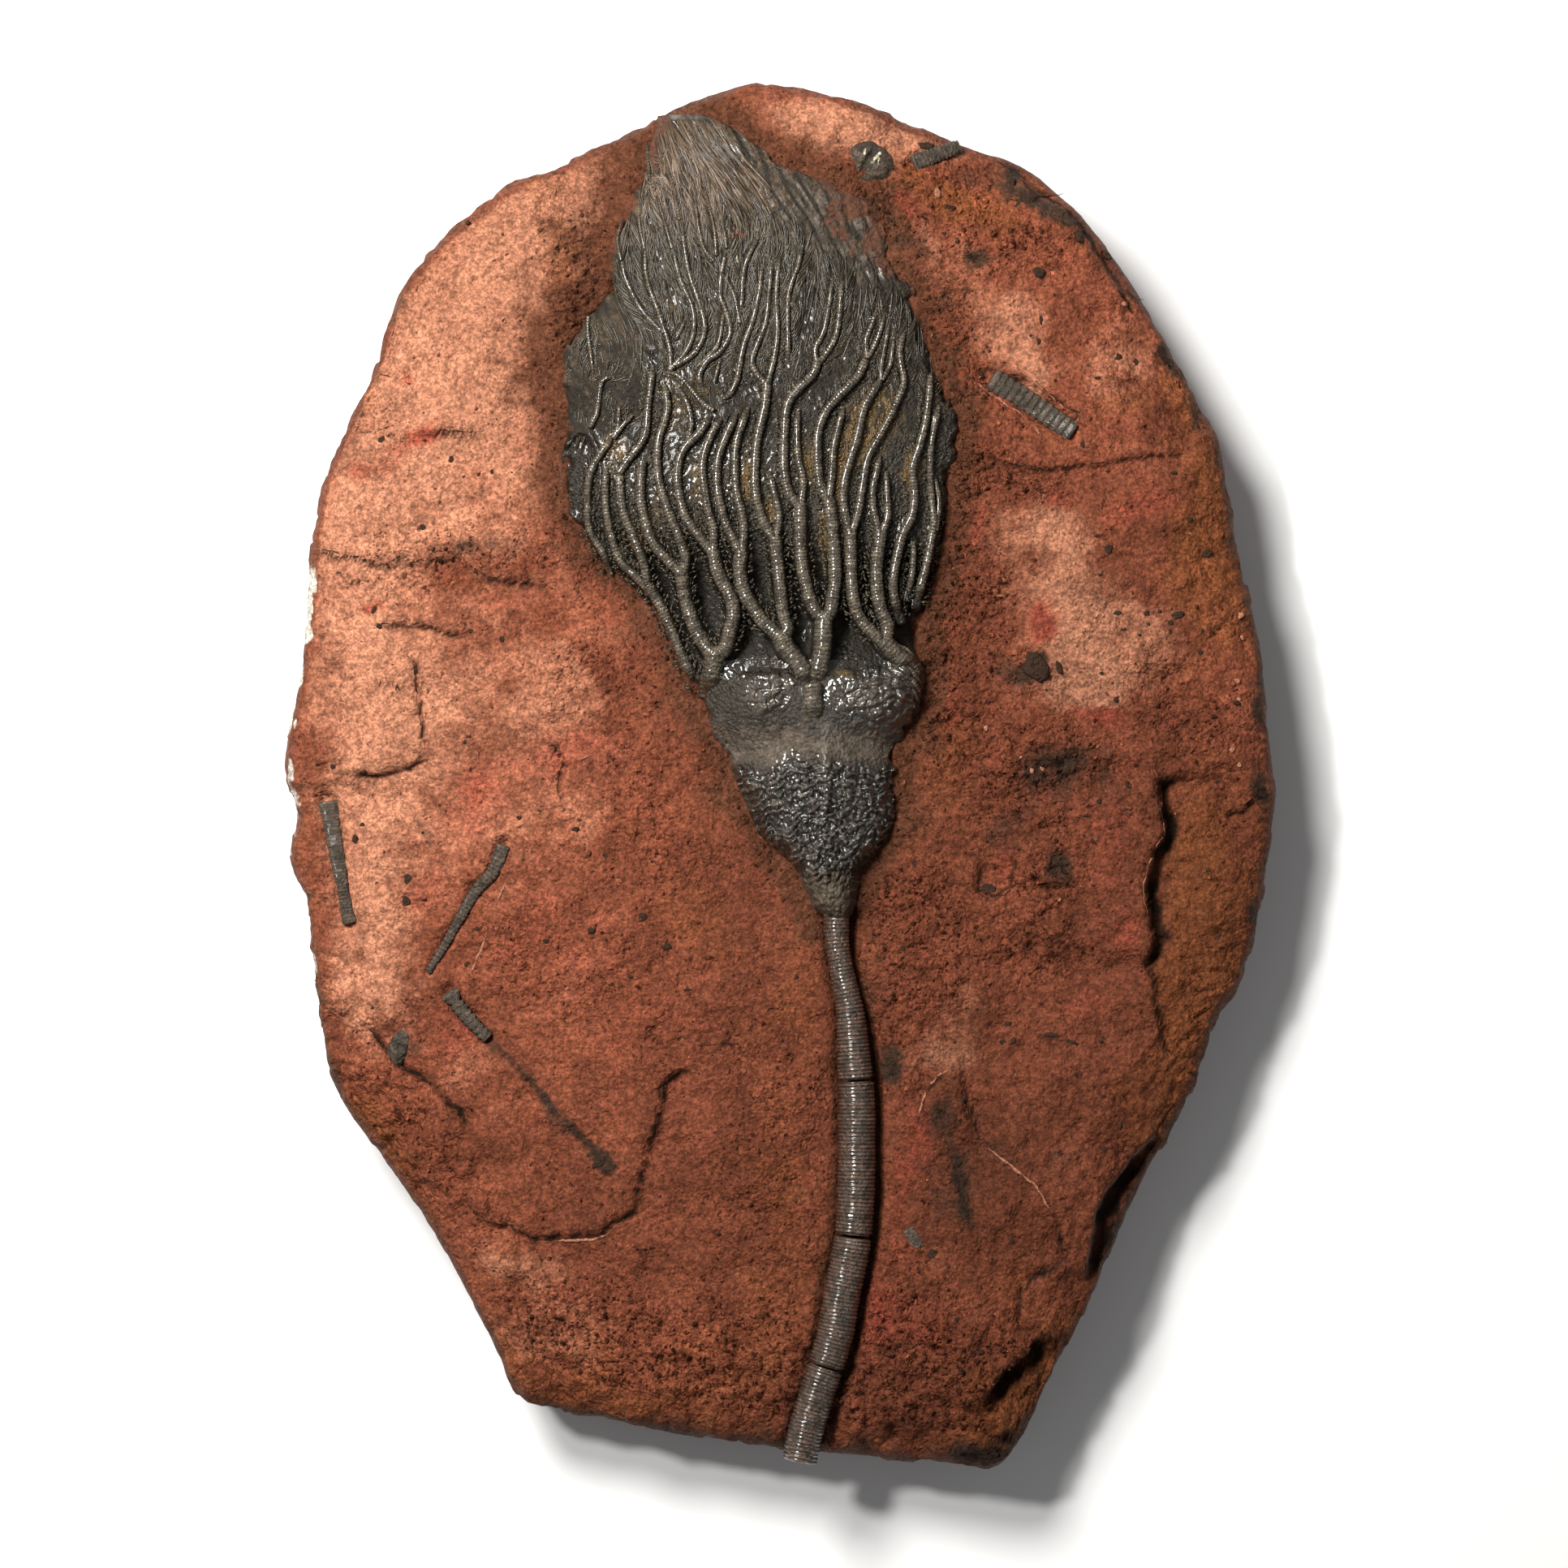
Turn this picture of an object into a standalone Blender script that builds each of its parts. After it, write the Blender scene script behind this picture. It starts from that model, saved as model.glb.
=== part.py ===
"""Crinoid fossil: the crown and stem of a sea lily in relief on a rounded slab of red sandstone.

The slab lies flat on its underside. Lengths are in millimetres until a mesh is made, +X is across
the slab, +Y points from the foot of the stem to the tips of the arms, and +Z is up.
"""
import math

import bmesh
import bpy
from mathutils import Vector, noise
from mathutils.bvhtree import BVHTree
from mathutils.geometry import intersect_point_line

MM = 0.001

# ---- driving dimensions, mm ----
GAP = 0.35                  # clearance between neighbouring pieces
SLAB_RIM_Z = 37.0           # height of the slab's face close to its rim
SLAB_DOME = 3.0             # how much higher the middle of the face stands
RIM_ROUND = 4.5             # drop of the face over the last stretch to the rim
RIM_SHARE = 0.82            # share of the radius where that drop starts
RIM_INSET = 2.6             # how far the top edge lies inside the widest outline
BED_DEPTH = 3.2             # how deep the crown is sunk in the slab
CROWN_SPLIT_Y = 31.0        # where the calyx ends and the spread arms begin
CALYX_FOOT_Y = -35.0
CROWN_TIP_Y = 181.5
ARM_STEP = 7.5              # length of one straight facet of an arm
ARM_RISE = 0.62             # height of an arm above its bed, as a share of its width
STEM_SIDES = 8
STEM_RING = 5.4             # spacing of the stem's swollen rings
FRAGMENT_SIDES = 6
FRAGMENT_STEP = 7.0
SIDE_ROUGHNESS = 5.0        # how far the broken sides bulge and sink

SLAB_CELLS_X = 23
SLAB_CELLS_Y = 31
CROWN_CELLS = 8
CROWN_ROW = 9.4             # spacing of the rows of facets up the crown
CALYX_CELLS = 9
CALYX_ROW = 5.5

# The widest outline of the slab, clockwise from the top.
SLAB_OUTLINE = [
    (-2, 190), (22, 185), (50, 173.5), (70, 166), (94, 139), (118, 97), (122, 85), (127, 57),
    (133, 28), (136, -8), (133, -30), (127, -56), (120, -68), (110, -94), (98, -116), (85, -145),
    (70, -175), (60, -189.8), (50, -189.5), (13, -186.5), (-13, -183), (-58, -175), (-72, -170),
    (-80, -154), (-92, -131), (-104, -112), (-120, -90), (-126, -70), (-129.5, -45), (-130, -34),
    (-134.5, -22), (-133, -10), (-136, 5), (-131, 35), (-128, 68), (-122, 90), (-111, 114),
    (-108, 125), (-100, 140), (-78, 160), (-60, 168), (-45, 175), (-30, 183), (-12, 189),
]

# The crown's left and right edges, from the calyx's foot to the tips of the arms.
CROWN_LEFT = [
    (8.5, -35), (4, -25), (-6, -16), (-13, 0), (-20, 14), (-23.5, 25), (-30, 37), (-36, 48), (-43, 53),
    (-51, 61), (-58, 72), (-60.5, 83), (-60, 92), (-59, 101), (-61, 108), (-59, 119), (-53, 127),
    (-47, 133), (-46, 145), (-40, 159), (-36.5, 170), (-33, 182),
]
CROWN_RIGHT = [
    (21, -35), (21.5, -26), (27, -20), (31, -14), (32.5, 8), (38, 17), (40, 28), (39.5, 40), (43, 52),
    (47, 70), (45.5, 80), (49, 88), (50.5, 98), (44, 109), (40, 122), (35, 134), (28, 145), (24, 158),
    (12, 163), (-1, 168), (-12, 178), (-20, 182),
]
# Height of the crown over the slab along its length: (y, height).
CROWN_HEIGHT = [(-35, 6.5), (-20, 8.5), (0, 10.5), (20, 11.5), (45, 10), (80, 10), (110, 7.5), (140, 4.5), (182, 1.6)]
CROWN_EDGE = 1.2            # height of the crown's own edge over the slab

# Rock ledges: (route, step, reach). Walking along the route, the ground to the left is lower.
LEDGES = [
    ([(104, 2), (106, -10), (101, -28), (104.5, -42), (101, -52), (107, -78)], 3.4, 26),
    ([(101, -91), (102, -99), (92, -112), (88, -122), (86, -137)], 4.0, 22),
    ([(-26, -81.5), (-31, -84), (-35, -102), (-41, -120), (-53, -126), (-72, -124), (-86, -116)], -2.6, 26),
    ([(-113, -69), (-104, -81), (-92, -88), (-85, -101), (-85, -112), (-95, -116)], 2.4, 20),
    ([(-104, 36), (-98, 20), (-100, 8), (-112, 0)], 2.2, 16),
    ([(76, -121), (79, -130), (70, -138), (67, -150), (72, -155)], -2.2, 16),
    ([(38, -91), (42, -83), (48, -81.5), (53, -88), (57, -102), (71, -115)], -1.4, 14),
    ([(-120, 44), (-104, 40), (-77, 38)], -1.6, 18),
    ([(-118, 94), (-100, 97), (-86, 95), (-76, 94)], 1.8, 14),
    ([(58, 170), (70, 160), (86, 145), (97, 127)], 2.6, 14),
]
# Hollows (negative) and humps: (x, y, radius, height).
LUMPS = [
    (-103, -70, 7, -2.2), (65, -163, 9, -3.0), (60, -27, 6, -1.2), (71, 29, 6, 1.6),
    (20, 180, 7, 1.6), (-95, 66, 26, 1.6), (-70, 146, 22, 1.4), (88, 60, 30, 1.5),
    (-58, -150, 24, -1.2), (100, 118, 20, -1.4), (78, 150, 12, 1.8), (-70, -40, 34, 1.0),
    (-92, 120, 16, -1.6), (40, -140, 26, 0.8), (110, -30, 10, -1.0),
]

# Arm routes seen from above: lists of strands, each (points, start width, end width).
RAYS = {
    "ray_left": [([(-20, 21), (-19, 26), (-17.7, 33)], 6.0, 5.2)],
    "ray_centre": [
        ([(9.5, 14), (9.3, 20), (8.6, 25)], 6.0, 5.4),
        ([(8.6, 23), (6, 29), (1.8, 34.5), (0.4, 37.4)], 5.2, 4.9),
        ([(8.6, 23), (10, 27), (11.5, 34.5), (11.9, 42.8)], 5.0, 4.6),
    ],
    "ray_right": [([(37, 27.5), (35, 30.5), (31, 33.8), (28.2, 36.2)], 5.4, 4.9)],
}
ARMS = {
    "arms_left_outer": [
        ([(-24.4, 28), (-27.4, 34), (-31.5, 44), (-36, 52)], 2.8, 3.1),
        ([(-35.4, 50.2), (-40, 55), (-43.5, 58.5), (-46, 65), (-47.6, 74), (-47.6, 84)], 2.3, 2.1),
        ([(-35.6, 49.2), (-37.3, 58), (-40, 65), (-43, 73), (-44, 84)], 2.5, 2.3),
        ([(-44, 82.5), (-44.8, 85), (-45.6, 87.5)], 1.8, 1.4),
        ([(-44, 82.5), (-41.5, 86), (-37, 92.5), (-36, 101), (-34.6, 112)], 2.2, 1.8),
    ],
    "arm_left_edge": [
        ([(-46, 55), (-48.5, 61), (-52, 67), (-52.7, 74.5), (-51.5, 83.5), (-45.5, 93)], 2.1, 2.0),
        ([(-45.7, 92), (-44.2, 95), (-44, 100.5)], 1.7, 1.3),
        ([(-45.7, 92), (-43, 95.5), (-40, 98.5)], 1.7, 1.3),
    ],
    "arms_left_middle": [
        ([(-20, 34.8), (-23.5, 41), (-26, 49), (-26.8, 55.5)], 3.9, 3.7),
        ([(-26.8, 54.5), (-29.5, 57.5), (-34, 62.5), (-37, 70), (-38, 77), (-37.6, 86)], 2.8, 2.5),
        ([(-26.8, 54.5), (-25.8, 59), (-27.5, 65), (-31, 73.5), (-33.2, 82), (-33.2, 91), (-30.7, 100),
          (-31.8, 107.5)], 2.7, 2.0),
    ],
    "arms_left_inner": [
        ([(-15.3, 34.3), (-13.6, 39.5), (-12.7, 44), (-13.4, 48.5), (-17, 55.5), (-18.2, 61.5)], 4.0, 3.5),
        ([(-18.2, 60.5), (-21.5, 64.5), (-26, 71), (-28, 81), (-26.5, 88.5), (-22, 93.5), (-18.7, 98.5)], 2.7, 2.2),
        ([(-18.2, 60.5), (-18.2, 67), (-20, 74), (-21.1, 85), (-18.7, 93), (-15.8, 97.5)], 2.5, 2.1),
        ([(-25.3, 90), (-24.2, 96), (-25.5, 102), (-28.4, 106.6)], 1.8, 1.4),
    ],
    "arms_centre_1": [
        ([(-2.2, 39.6), (-5.5, 43), (-9.5, 49.5), (-11, 55.5), (-10.6, 61)], 3.7, 3.7),
        ([(-10.6, 60), (-12.5, 64), (-15, 69), (-17, 78), (-17, 85.5), (-15, 92), (-11.7, 99)], 2.6, 2.2),
        ([(-10.6, 60), (-9.9, 66), (-10.3, 71), (-12, 78), (-12.2, 88), (-11, 94), (-8.5, 100.5)], 2.5, 2.1),
    ],
    "arms_centre_2": [
        ([(2.0, 39.9), (0.9, 44), (-0.4, 55), (-1.5, 65)], 3.4, 3.5),
        ([(-1.5, 64), (-4.7, 69.5), (-6.7, 77), (-6.9, 84), (-6.2, 92), (-4.3, 100), (-3.5, 107.5)], 2.8, 2.5),
        ([(-1.5, 64), (-0.3, 70), (-1.3, 76), (-3.2, 83)], 2.2, 1.8),
        ([(-3.5, 106.5), (-6.6, 110), (-7.5, 114), (-4, 123.5), (-3, 132), (-2.2, 141)], 1.8, 1.3),
        ([(-3.5, 106.5), (-1.4, 115), (-0.7, 122), (-1, 132), (-0.2, 141.5)], 1.8, 1.3),
    ],
    "arms_centre_3": [
        ([(9.8, 44.5), (8.2, 48), (6.6, 54), (5.6, 61), (5.5, 74)], 3.5, 3.4),
        ([(5.5, 73), (2.4, 77), (1.1, 84), (1.2, 93), (2, 101), (5.5, 106), (9, 109.5), (10.3, 113.5)], 2.7, 2.4),
        ([(5.5, 73), (6.3, 80), (4.9, 87), (4.7, 95), (5, 100)], 2.2, 1.8),
        ([(10.2, 112.3), (9.7, 116.5), (12, 121.5), (13.6, 130), (14.4, 136)], 1.8, 1.3),
        ([(10.2, 112.3), (13.8, 117), (15.9, 123), (16.9, 135.5)], 1.8, 1.4),
    ],
    "arm_centre_tip": [
        ([(2.0, 111), (2.2, 118), (2.3, 131), (4.8, 139), (6.2, 145)], 1.6, 1.3),
    ],
    "arms_centre_4": [
        ([(13.7, 44.5), (14.4, 49), (15, 54), (14.5, 64), (13.2, 75.5)], 3.6, 3.6),
        ([(13.2, 74.5), (11, 79), (10.2, 86), (10.5, 94), (13, 100), (18, 105.5), (21.5, 109.5),
          (24, 115)], 2.7, 2.3),
        ([(13.2, 74.5), (14.1, 82), (14.7, 90), (17.4, 100.5)], 2.3, 1.9),
        ([(23.8, 114), (23.5, 119), (25, 123), (26.6, 128)], 1.7, 1.3),
        ([(23.8, 114), (25.6, 117), (27, 120.5), (28.8, 126.5)], 1.5, 1.2),
    ],
    "arms_right_1": [
        ([(26.3, 37.9), (22, 42.5), (20, 48), (19.4, 55), (19.1, 66.5)], 3.4, 3.3),
        ([(19.1, 65.5), (17.4, 73), (17.3, 79), (18.7, 85), (21, 92), (23, 100.5), (28, 109)], 2.6, 2.2),
        ([(19.1, 65.5), (20.6, 69.5), (21.7, 74), (22.6, 80), (23.8, 86.3), (26.5, 91.5), (29.5, 97),
          (32.5, 103.5), (33.9, 107.5), (33, 113), (32.9, 117), (34.2, 122.5)], 2.3, 1.7),
        ([(27.7, 108), (27.7, 112), (28.6, 117), (29.8, 123.5)], 1.4, 1.2),
        ([(27.7, 108), (30, 112), (30.8, 117), (31.2, 121)], 1.4, 1.1),
    ],
    "arms_right_2": [
        ([(29.4, 40.6), (27.3, 46), (26.3, 53), (26.4, 58), (27.4, 66.5)], 3.5, 3.4),
        ([(27.4, 65.5), (25.8, 71), (25.2, 77), (26.3, 83), (27.4, 87.5)], 2.1, 1.9),
        ([(27.4, 65.5), (29.3, 70.5), (29.2, 77), (29, 83)], 2.1, 1.7),
    ],
    "arm_right_3": [
        ([(32.9, 42.5), (31.3, 48), (30.8, 53), (32, 60), (33.5, 66), (36, 71), (36.7, 77), (36.2, 84),
          (38, 90), (40, 98), (41.3, 110)], 2.7, 2.0),
    ],
    "arm_right_short": [
        ([(34.8, 48.5), (36.2, 56), (36.5, 64)], 1.9, 1.5),
    ],
    "arm_right_edge": [
        ([(37.2, 46.5), (38.5, 52), (40.5, 60), (42, 69), (41.5, 75), (41, 83.5), (41.6, 92), (43.6, 101)], 2.5, 1.5),
    ],
    "arm_upper_1": [
        ([(-17.4, 102), (-14, 103.8), (-11.8, 108), (-10, 117), (-7.4, 124.5), (-5.7, 132), (-4.9, 140)], 1.9, 1.3),
    ],
    "arm_upper_2": [
        ([(-20.2, 103.5), (-22, 108.5), (-20, 113), (-16.2, 115.8), (-13.6, 121), (-14.8, 127), (-16.3, 131),
          (-16, 137), (-14.6, 144)], 1.8, 1.3),
    ],
    "arm_upper_3": [
        ([(-11.2, 123.5), (-10.5, 129), (-10, 137), (-8.6, 142), (-5.6, 147.5)], 1.6, 1.3),
    ],
    "arms_upper_left": [
        ([(-30.2, 110.6), (-26, 115.2), (-23.6, 121), (-24, 128), (-27.4, 136), (-29.2, 144)], 1.7, 1.2),
        ([(-28.6, 111.8), (-23.3, 115.4), (-20.6, 121.5), (-22, 129), (-25, 138), (-26.8, 150)], 1.7, 1.2),
        ([(-29.8, 110.8), (-30.2, 117), (-33, 126), (-36.3, 135.5), (-37, 144)], 1.5, 1.2),
        ([(-31.6, 121), (-34.2, 123.2), (-38.3, 128), (-42, 135.5), (-43.4, 141)], 1.5, 1.1),
    ],
}

# The stem's route, and where its natural breaks part it.
STEM_ROUTE = [
    (15.5, -35.6), (15.6, -45), (17, -54), (19, -63.5), (20.2, -76), (21, -88), (21, -106), (20.7, -117),
    (19.6, -129), (17, -142), (15, -153.5), (10.6, -168), (7.5, -178), (5.4, -188),
]
STEM_RADII = [(-35, 3.6), (-50, 3.2), (-60, 3.5), (-75, 4.4), (-90, 5.0), (-150, 5.05), (-188, 4.7)]
STEM_SWELL = 0.16           # how far every other ring stands out, and the rings between sink in
STEM_BREAKS = [-83.4, -126.0, -162.0]
STEM_LIFT = 1.0             # height of the stem's axis over the face of the slab
STEM_LEVEL_Y = -168.0       # below this the stem runs level, over the slab's rounded rim
STEM_GROOVE = 1.3           # extra room on the stem's right side

# Loose pieces of other stems, each (points, start radius, end radius, height of the axis over the slab).
FRAGMENTS = [
    ([(-124, -7), (-122.6, -16), (-120.4, -28), (-119, -36), (-118, -40.5)], 2.4, 1.9, 0.0),
    ([(-75.3, -20), (-78.7, -26.5), (-83.6, -32), (-91, -45), (-96.5, -54)], 2.1, 1.0, -0.1),
    ([(-91, -59), (-87.5, -64), (-84, -68), (-80, -72)], 2.4, 1.9, -0.4),
    ([(58, 109), (69, 102), (80.5, 94)], 3.1, 2.7, -1.8),
    ([(36.5, 168), (43, 170.5), (49.5, 173)], 2.4, 2.0, -0.6),
]
# Small fossils and chips set in the face: (name, x, y, length, width, turn in degrees, rise).
STUDS = [
    ("shell_cup", 25, 168, 13.5, 11.5, -20, 1.6),
    ("stem_disc", -40.5, -15, 4.6, 4.4, 0, 0.7),
    ("grey_chip", 37, -126.5, 7.2, 4.2, -62, 1.0),
    ("dark_nodule", -104, -73, 8.5, 6.0, 40, 1.0),
]
STUD_SIDES = 8

COLOURS = {
    "slab": ((0.40, 0.105, 0.055), 0.9),
    "crown": ((0.085, 0.070, 0.060), 0.5),
    "arm": ((0.080, 0.068, 0.060), 0.35),
    "stem": ((0.115, 0.075, 0.062), 0.4),
    "fragment": ((0.130, 0.085, 0.072), 0.6),
}


def clamp(value, low=0.0, high=1.0):
    """Hold a value between two limits."""
    return max(low, min(high, value))


def ease(value):
    """A smooth step from 0 to 1."""
    t = clamp(value)
    return t * t * (3 - 2 * t)


def interpolate(table, y):
    """Read a smooth value from (y, value) rows whose y rises or falls steadily."""
    rows = sorted(table)
    if y <= rows[0][0]:
        return rows[0][1]
    for (y0, v0), (y1, v1) in zip(rows, rows[1:]):
        if y <= y1:
            return v0 + (v1 - v0) * (y - y0) / (y1 - y0)
    return rows[-1][1]


def catmull(p0, p1, p2, p3, t):
    """A point on the smooth curve from p1 to p2."""
    return 0.5 * (2 * p1 + (p2 - p0) * t + (2 * p0 - 5 * p1 + 4 * p2 - p3) * t * t
                  + (3 * p1 - p0 - 3 * p2 + p3) * t ** 3)


def smooth_line(points, step, closed=False):
    """A smooth curve through the points, read at even steps of about the given length."""
    pts = [Vector(p) for p in points]
    count = len(pts)
    spans = count if closed else count - 1
    dense = []
    for i in range(spans):
        if closed:
            four = [pts[(i + k - 1) % count] for k in range(4)]
        else:
            four = [pts[clamp(i + k - 1, 0, count - 1)] for k in range(4)]
        for k in range(12):
            dense.append(catmull(*four, k / 12))
    dense.append(pts[0].copy() if closed else pts[-1].copy())
    lengths = [0.0]
    for a, b in zip(dense, dense[1:]):
        lengths.append(lengths[-1] + (b - a).length)
    parts = max(1, round(lengths[-1] / step))
    line = []
    k = 0
    for i in range(parts + 1):
        goal = lengths[-1] * i / parts
        while k < len(dense) - 2 and lengths[k + 1] < goal:
            k += 1
        share = (goal - lengths[k]) / max(lengths[k + 1] - lengths[k], 1e-9)
        line.append(dense[k].lerp(dense[k + 1], clamp(share)))
    return line


OUTLINE_FINE = smooth_line(SLAB_OUTLINE, 4.0, closed=True)
OUTLINE_POLAR = sorted((math.atan2(p.y, p.x), p.length) for p in OUTLINE_FINE[:-1])


def outline_radius(angle):
    """Distance from the slab's middle to its widest outline in one direction."""
    rows = OUTLINE_POLAR
    wrapped = [(rows[-1][0] - math.tau, rows[-1][1])] + rows + [(rows[0][0] + math.tau, rows[0][1])]
    return interpolate(wrapped, angle)


def ledge_height(x, y):
    """The steps that broken layers of rock make in the slab's face."""
    total = 0.0
    point = Vector((x, y))
    for route, step, reach in LEDGES:
        pts = [Vector(p) for p in route]
        lengths = [(b - a).length for a, b in zip(pts, pts[1:])]
        whole = sum(lengths)
        best = None
        walked = 0.0
        for a, b, length in zip(pts, pts[1:], lengths):
            share = clamp(intersect_point_line(point, a, b)[1])
            foot = a.lerp(b, share)
            distance = (point - foot).length
            if best is None or distance < best[0]:
                side = (b - a).cross(point - a)
                best = (distance, side, walked + share * length)
            walked += length
        distance, side, place = best
        ends = ease(place / 12) * ease((whole - place) / 12)
        fade = math.exp(-(distance / reach) ** 2)
        sharp = clamp(distance / 1.5)
        total -= math.copysign(0.5, side) * step * ends * fade * sharp
    return total


def slab_form(x, y):
    """The slab's face without its roughness: a low dome that rounds over at the rim."""
    share = math.hypot(x, y) / outline_radius(math.atan2(y, x))
    return SLAB_RIM_Z + SLAB_DOME * (1 - share * share) - RIM_ROUND * clamp((share - RIM_SHARE) / (1 - RIM_SHARE)) ** 2


def slab_height(x, y):
    """The slab's face with its ledges, lumps and swells."""
    z = slab_form(x, y) + ledge_height(x, y)
    for cx, cy, radius, height in LUMPS:
        z += height * math.exp(-((x - cx) ** 2 + (y - cy) ** 2) / radius ** 2)
    z += 1.1 * noise.noise(Vector((x, y, 3)) / 38) + 0.5 * noise.noise(Vector((x, y, 9)) / 15)
    return z


def crown_edges(y):
    """The crown's left and right x at one y."""
    left = interpolate([(row[1], row[0]) for row in CROWN_LEFT], y)
    right = interpolate([(row[1], row[0]) for row in CROWN_RIGHT], y)
    return left, right


def crown_form(x, y):
    """The smooth swell of the crown over the slab, on which the arms lie."""
    left, right = crown_edges(y)
    across = clamp(abs(2 * (x - left) / (right - left) - 1))
    height = interpolate(CROWN_HEIGHT, y)
    return slab_form(x, y) + CROWN_EDGE + height * (1 - across ** 2.6)


def mat_height(x, y):
    """The carpet of pinnules between the arms, hollow behind the first forks."""
    hollow = 2.6 * ease((y - 31) / 8) * ease((72 - y) / 14)
    left, right = crown_edges(y)
    across = abs(2 * (x - left) / (right - left) - 1)
    return crown_form(x, y) - hollow * (1 - clamp(across) ** 4)


def calyx_height(x, y):
    """The cup, with a bulge on each side of the middle ray and a keel down its front."""
    z = crown_form(x, y)
    z += 2.6 * math.exp(-((x + 3.5) ** 2 + (y - 22) ** 2) / 49)
    z += 3.2 * math.exp(-((x - 26.5) ** 2 + (y - 22) ** 2) / 72)
    z += 1.3 * math.exp(-((x - 12) / 3.2) ** 2) * ease((y + 14) / 6) * ease((12 - y) / 10)
    z -= 1.8 * math.exp(-((y - 11) / 5.5) ** 2) * ease((abs(x - 10) - 4) / 6)
    return z


def make_material(name):
    """A plain surface for one kind of piece."""
    colour, roughness = COLOURS[name]
    material = bpy.data.materials.new(name)
    material.use_nodes = True
    shader = material.node_tree.nodes["Principled BSDF"]
    shader.inputs["Base Color"].default_value = (*colour, 1.0)
    shader.inputs["Roughness"].default_value = roughness
    shader.inputs["Metallic"].default_value = 0.0
    return material


def make_object(name, verts, faces, kind, smooth=False):
    """A named object from vertices in millimetres, its faces pointing out."""
    mesh = bpy.data.meshes.new(name)
    mesh.from_pydata([Vector(v) * MM for v in verts], [], faces)
    bm = bmesh.new()
    bm.from_mesh(mesh)
    bmesh.ops.recalc_face_normals(bm, faces=bm.faces)
    bm.to_mesh(mesh)
    bm.free()
    if smooth:
        mesh.shade_smooth()
        mesh.set_sharp_from_angle(angle=math.radians(50))
    mesh.materials.append(bpy.data.materials.get(kind) or make_material(kind))
    obj = bpy.data.objects.new(name, mesh)
    bpy.context.scene.collection.objects.link(obj)
    return obj


def combine(target, tools, operation):
    """Join the tools to the target or cut them from it, and remove them."""
    for tool in tools:
        tool.hide_render = True
        tool.display_type = "WIRE"
        modifier = target.modifiers.new(tool.name, "BOOLEAN")
        modifier.operation = operation
        modifier.solver = "EXACT"
        modifier.object = tool
    bpy.context.view_layer.update()
    graph = bpy.context.evaluated_depsgraph_get()
    mesh = bpy.data.meshes.new_from_object(target.evaluated_get(graph))
    target.modifiers.clear()
    old = target.data
    target.data = mesh
    bpy.data.meshes.remove(old)
    for tool in tools:
        bpy.data.objects.remove(tool)
    bm = bmesh.new()
    bm.from_mesh(mesh)
    bmesh.ops.remove_doubles(bm, verts=bm.verts, dist=0.004 * MM)
    bmesh.ops.dissolve_degenerate(bm, edges=bm.edges, dist=0.004 * MM)
    bm.to_mesh(mesh)
    bm.free()


def grid_faces(columns, rows, start=0):
    """Quads of a sheet of points stored row by row."""
    faces = []
    for j in range(rows):
        for i in range(columns):
            a = start + j * (columns + 1) + i
            faces.append((a, a + 1, a + columns + 2, a + columns + 1))
    return faces


def grid_rim(columns, rows):
    """Indices round the edge of such a sheet, in order."""
    row = columns + 1
    bottom = list(range(columns))
    right = [row * j + columns for j in range(rows)]
    top = [row * rows + i for i in range(columns, 0, -1)]
    left = [row * j for j in range(rows, 0, -1)]
    return bottom + right + top + left


def side_ring(angle, depth):
    """Inset and height of the slab's broken side: depth 0 is the top edge, 1 the underside."""
    rim_z = slab_height(math.cos(angle) * (outline_radius(angle) - RIM_INSET),
                        math.sin(angle) * (outline_radius(angle) - RIM_INSET))
    place = Vector((math.cos(angle), math.sin(angle), depth)) * 5.0
    rough = noise.noise(place) * SIDE_ROUGHNESS * ease((depth - 0.14) * 4)
    inset = interpolate([(0.0, RIM_INSET), (0.14, 0.0), (0.5, 2.0), (0.8, 5.0), (1.0, 11.0)], depth)
    return inset + max(rough, -inset * 0.6), rim_z * (1 - depth)


def build_slab():
    """The rock: a face of ledges and swells, broken sides and a flat underside."""
    verts = []
    for j in range(SLAB_CELLS_Y + 1):
        for i in range(SLAB_CELLS_X + 1):
            u = 2 * i / SLAB_CELLS_X - 1
            v = 2 * j / SLAB_CELLS_Y - 1
            dx = u * math.sqrt(1 - v * v / 2)
            dy = v * math.sqrt(1 - u * u / 2)
            angle = math.atan2(dy, dx)
            radius = math.hypot(dx, dy) * (outline_radius(angle) - RIM_INSET)
            x = radius * math.cos(angle)
            y = radius * math.sin(angle)
            verts.append((x, y, slab_height(x, y)))
    faces = grid_faces(SLAB_CELLS_X, SLAB_CELLS_Y)
    previous = grid_rim(SLAB_CELLS_X, SLAB_CELLS_Y)
    angles = [math.atan2(verts[k][1], verts[k][0]) for k in previous]
    for depth in (0.14, 0.5, 0.8, 1.0):
        ring = []
        for angle in angles:
            inset, z = side_ring(angle, depth)
            radius = outline_radius(angle) - inset
            ring.append(len(verts))
            verts.append((radius * math.cos(angle), radius * math.sin(angle), z))
        count = len(ring)
        for k in range(count):
            n = (k + 1) % count
            faces.append((previous[k], previous[n], ring[n], ring[k]))
        previous = ring
    faces.append(tuple(previous))
    return make_object("slab", verts, faces, "slab")


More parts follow.
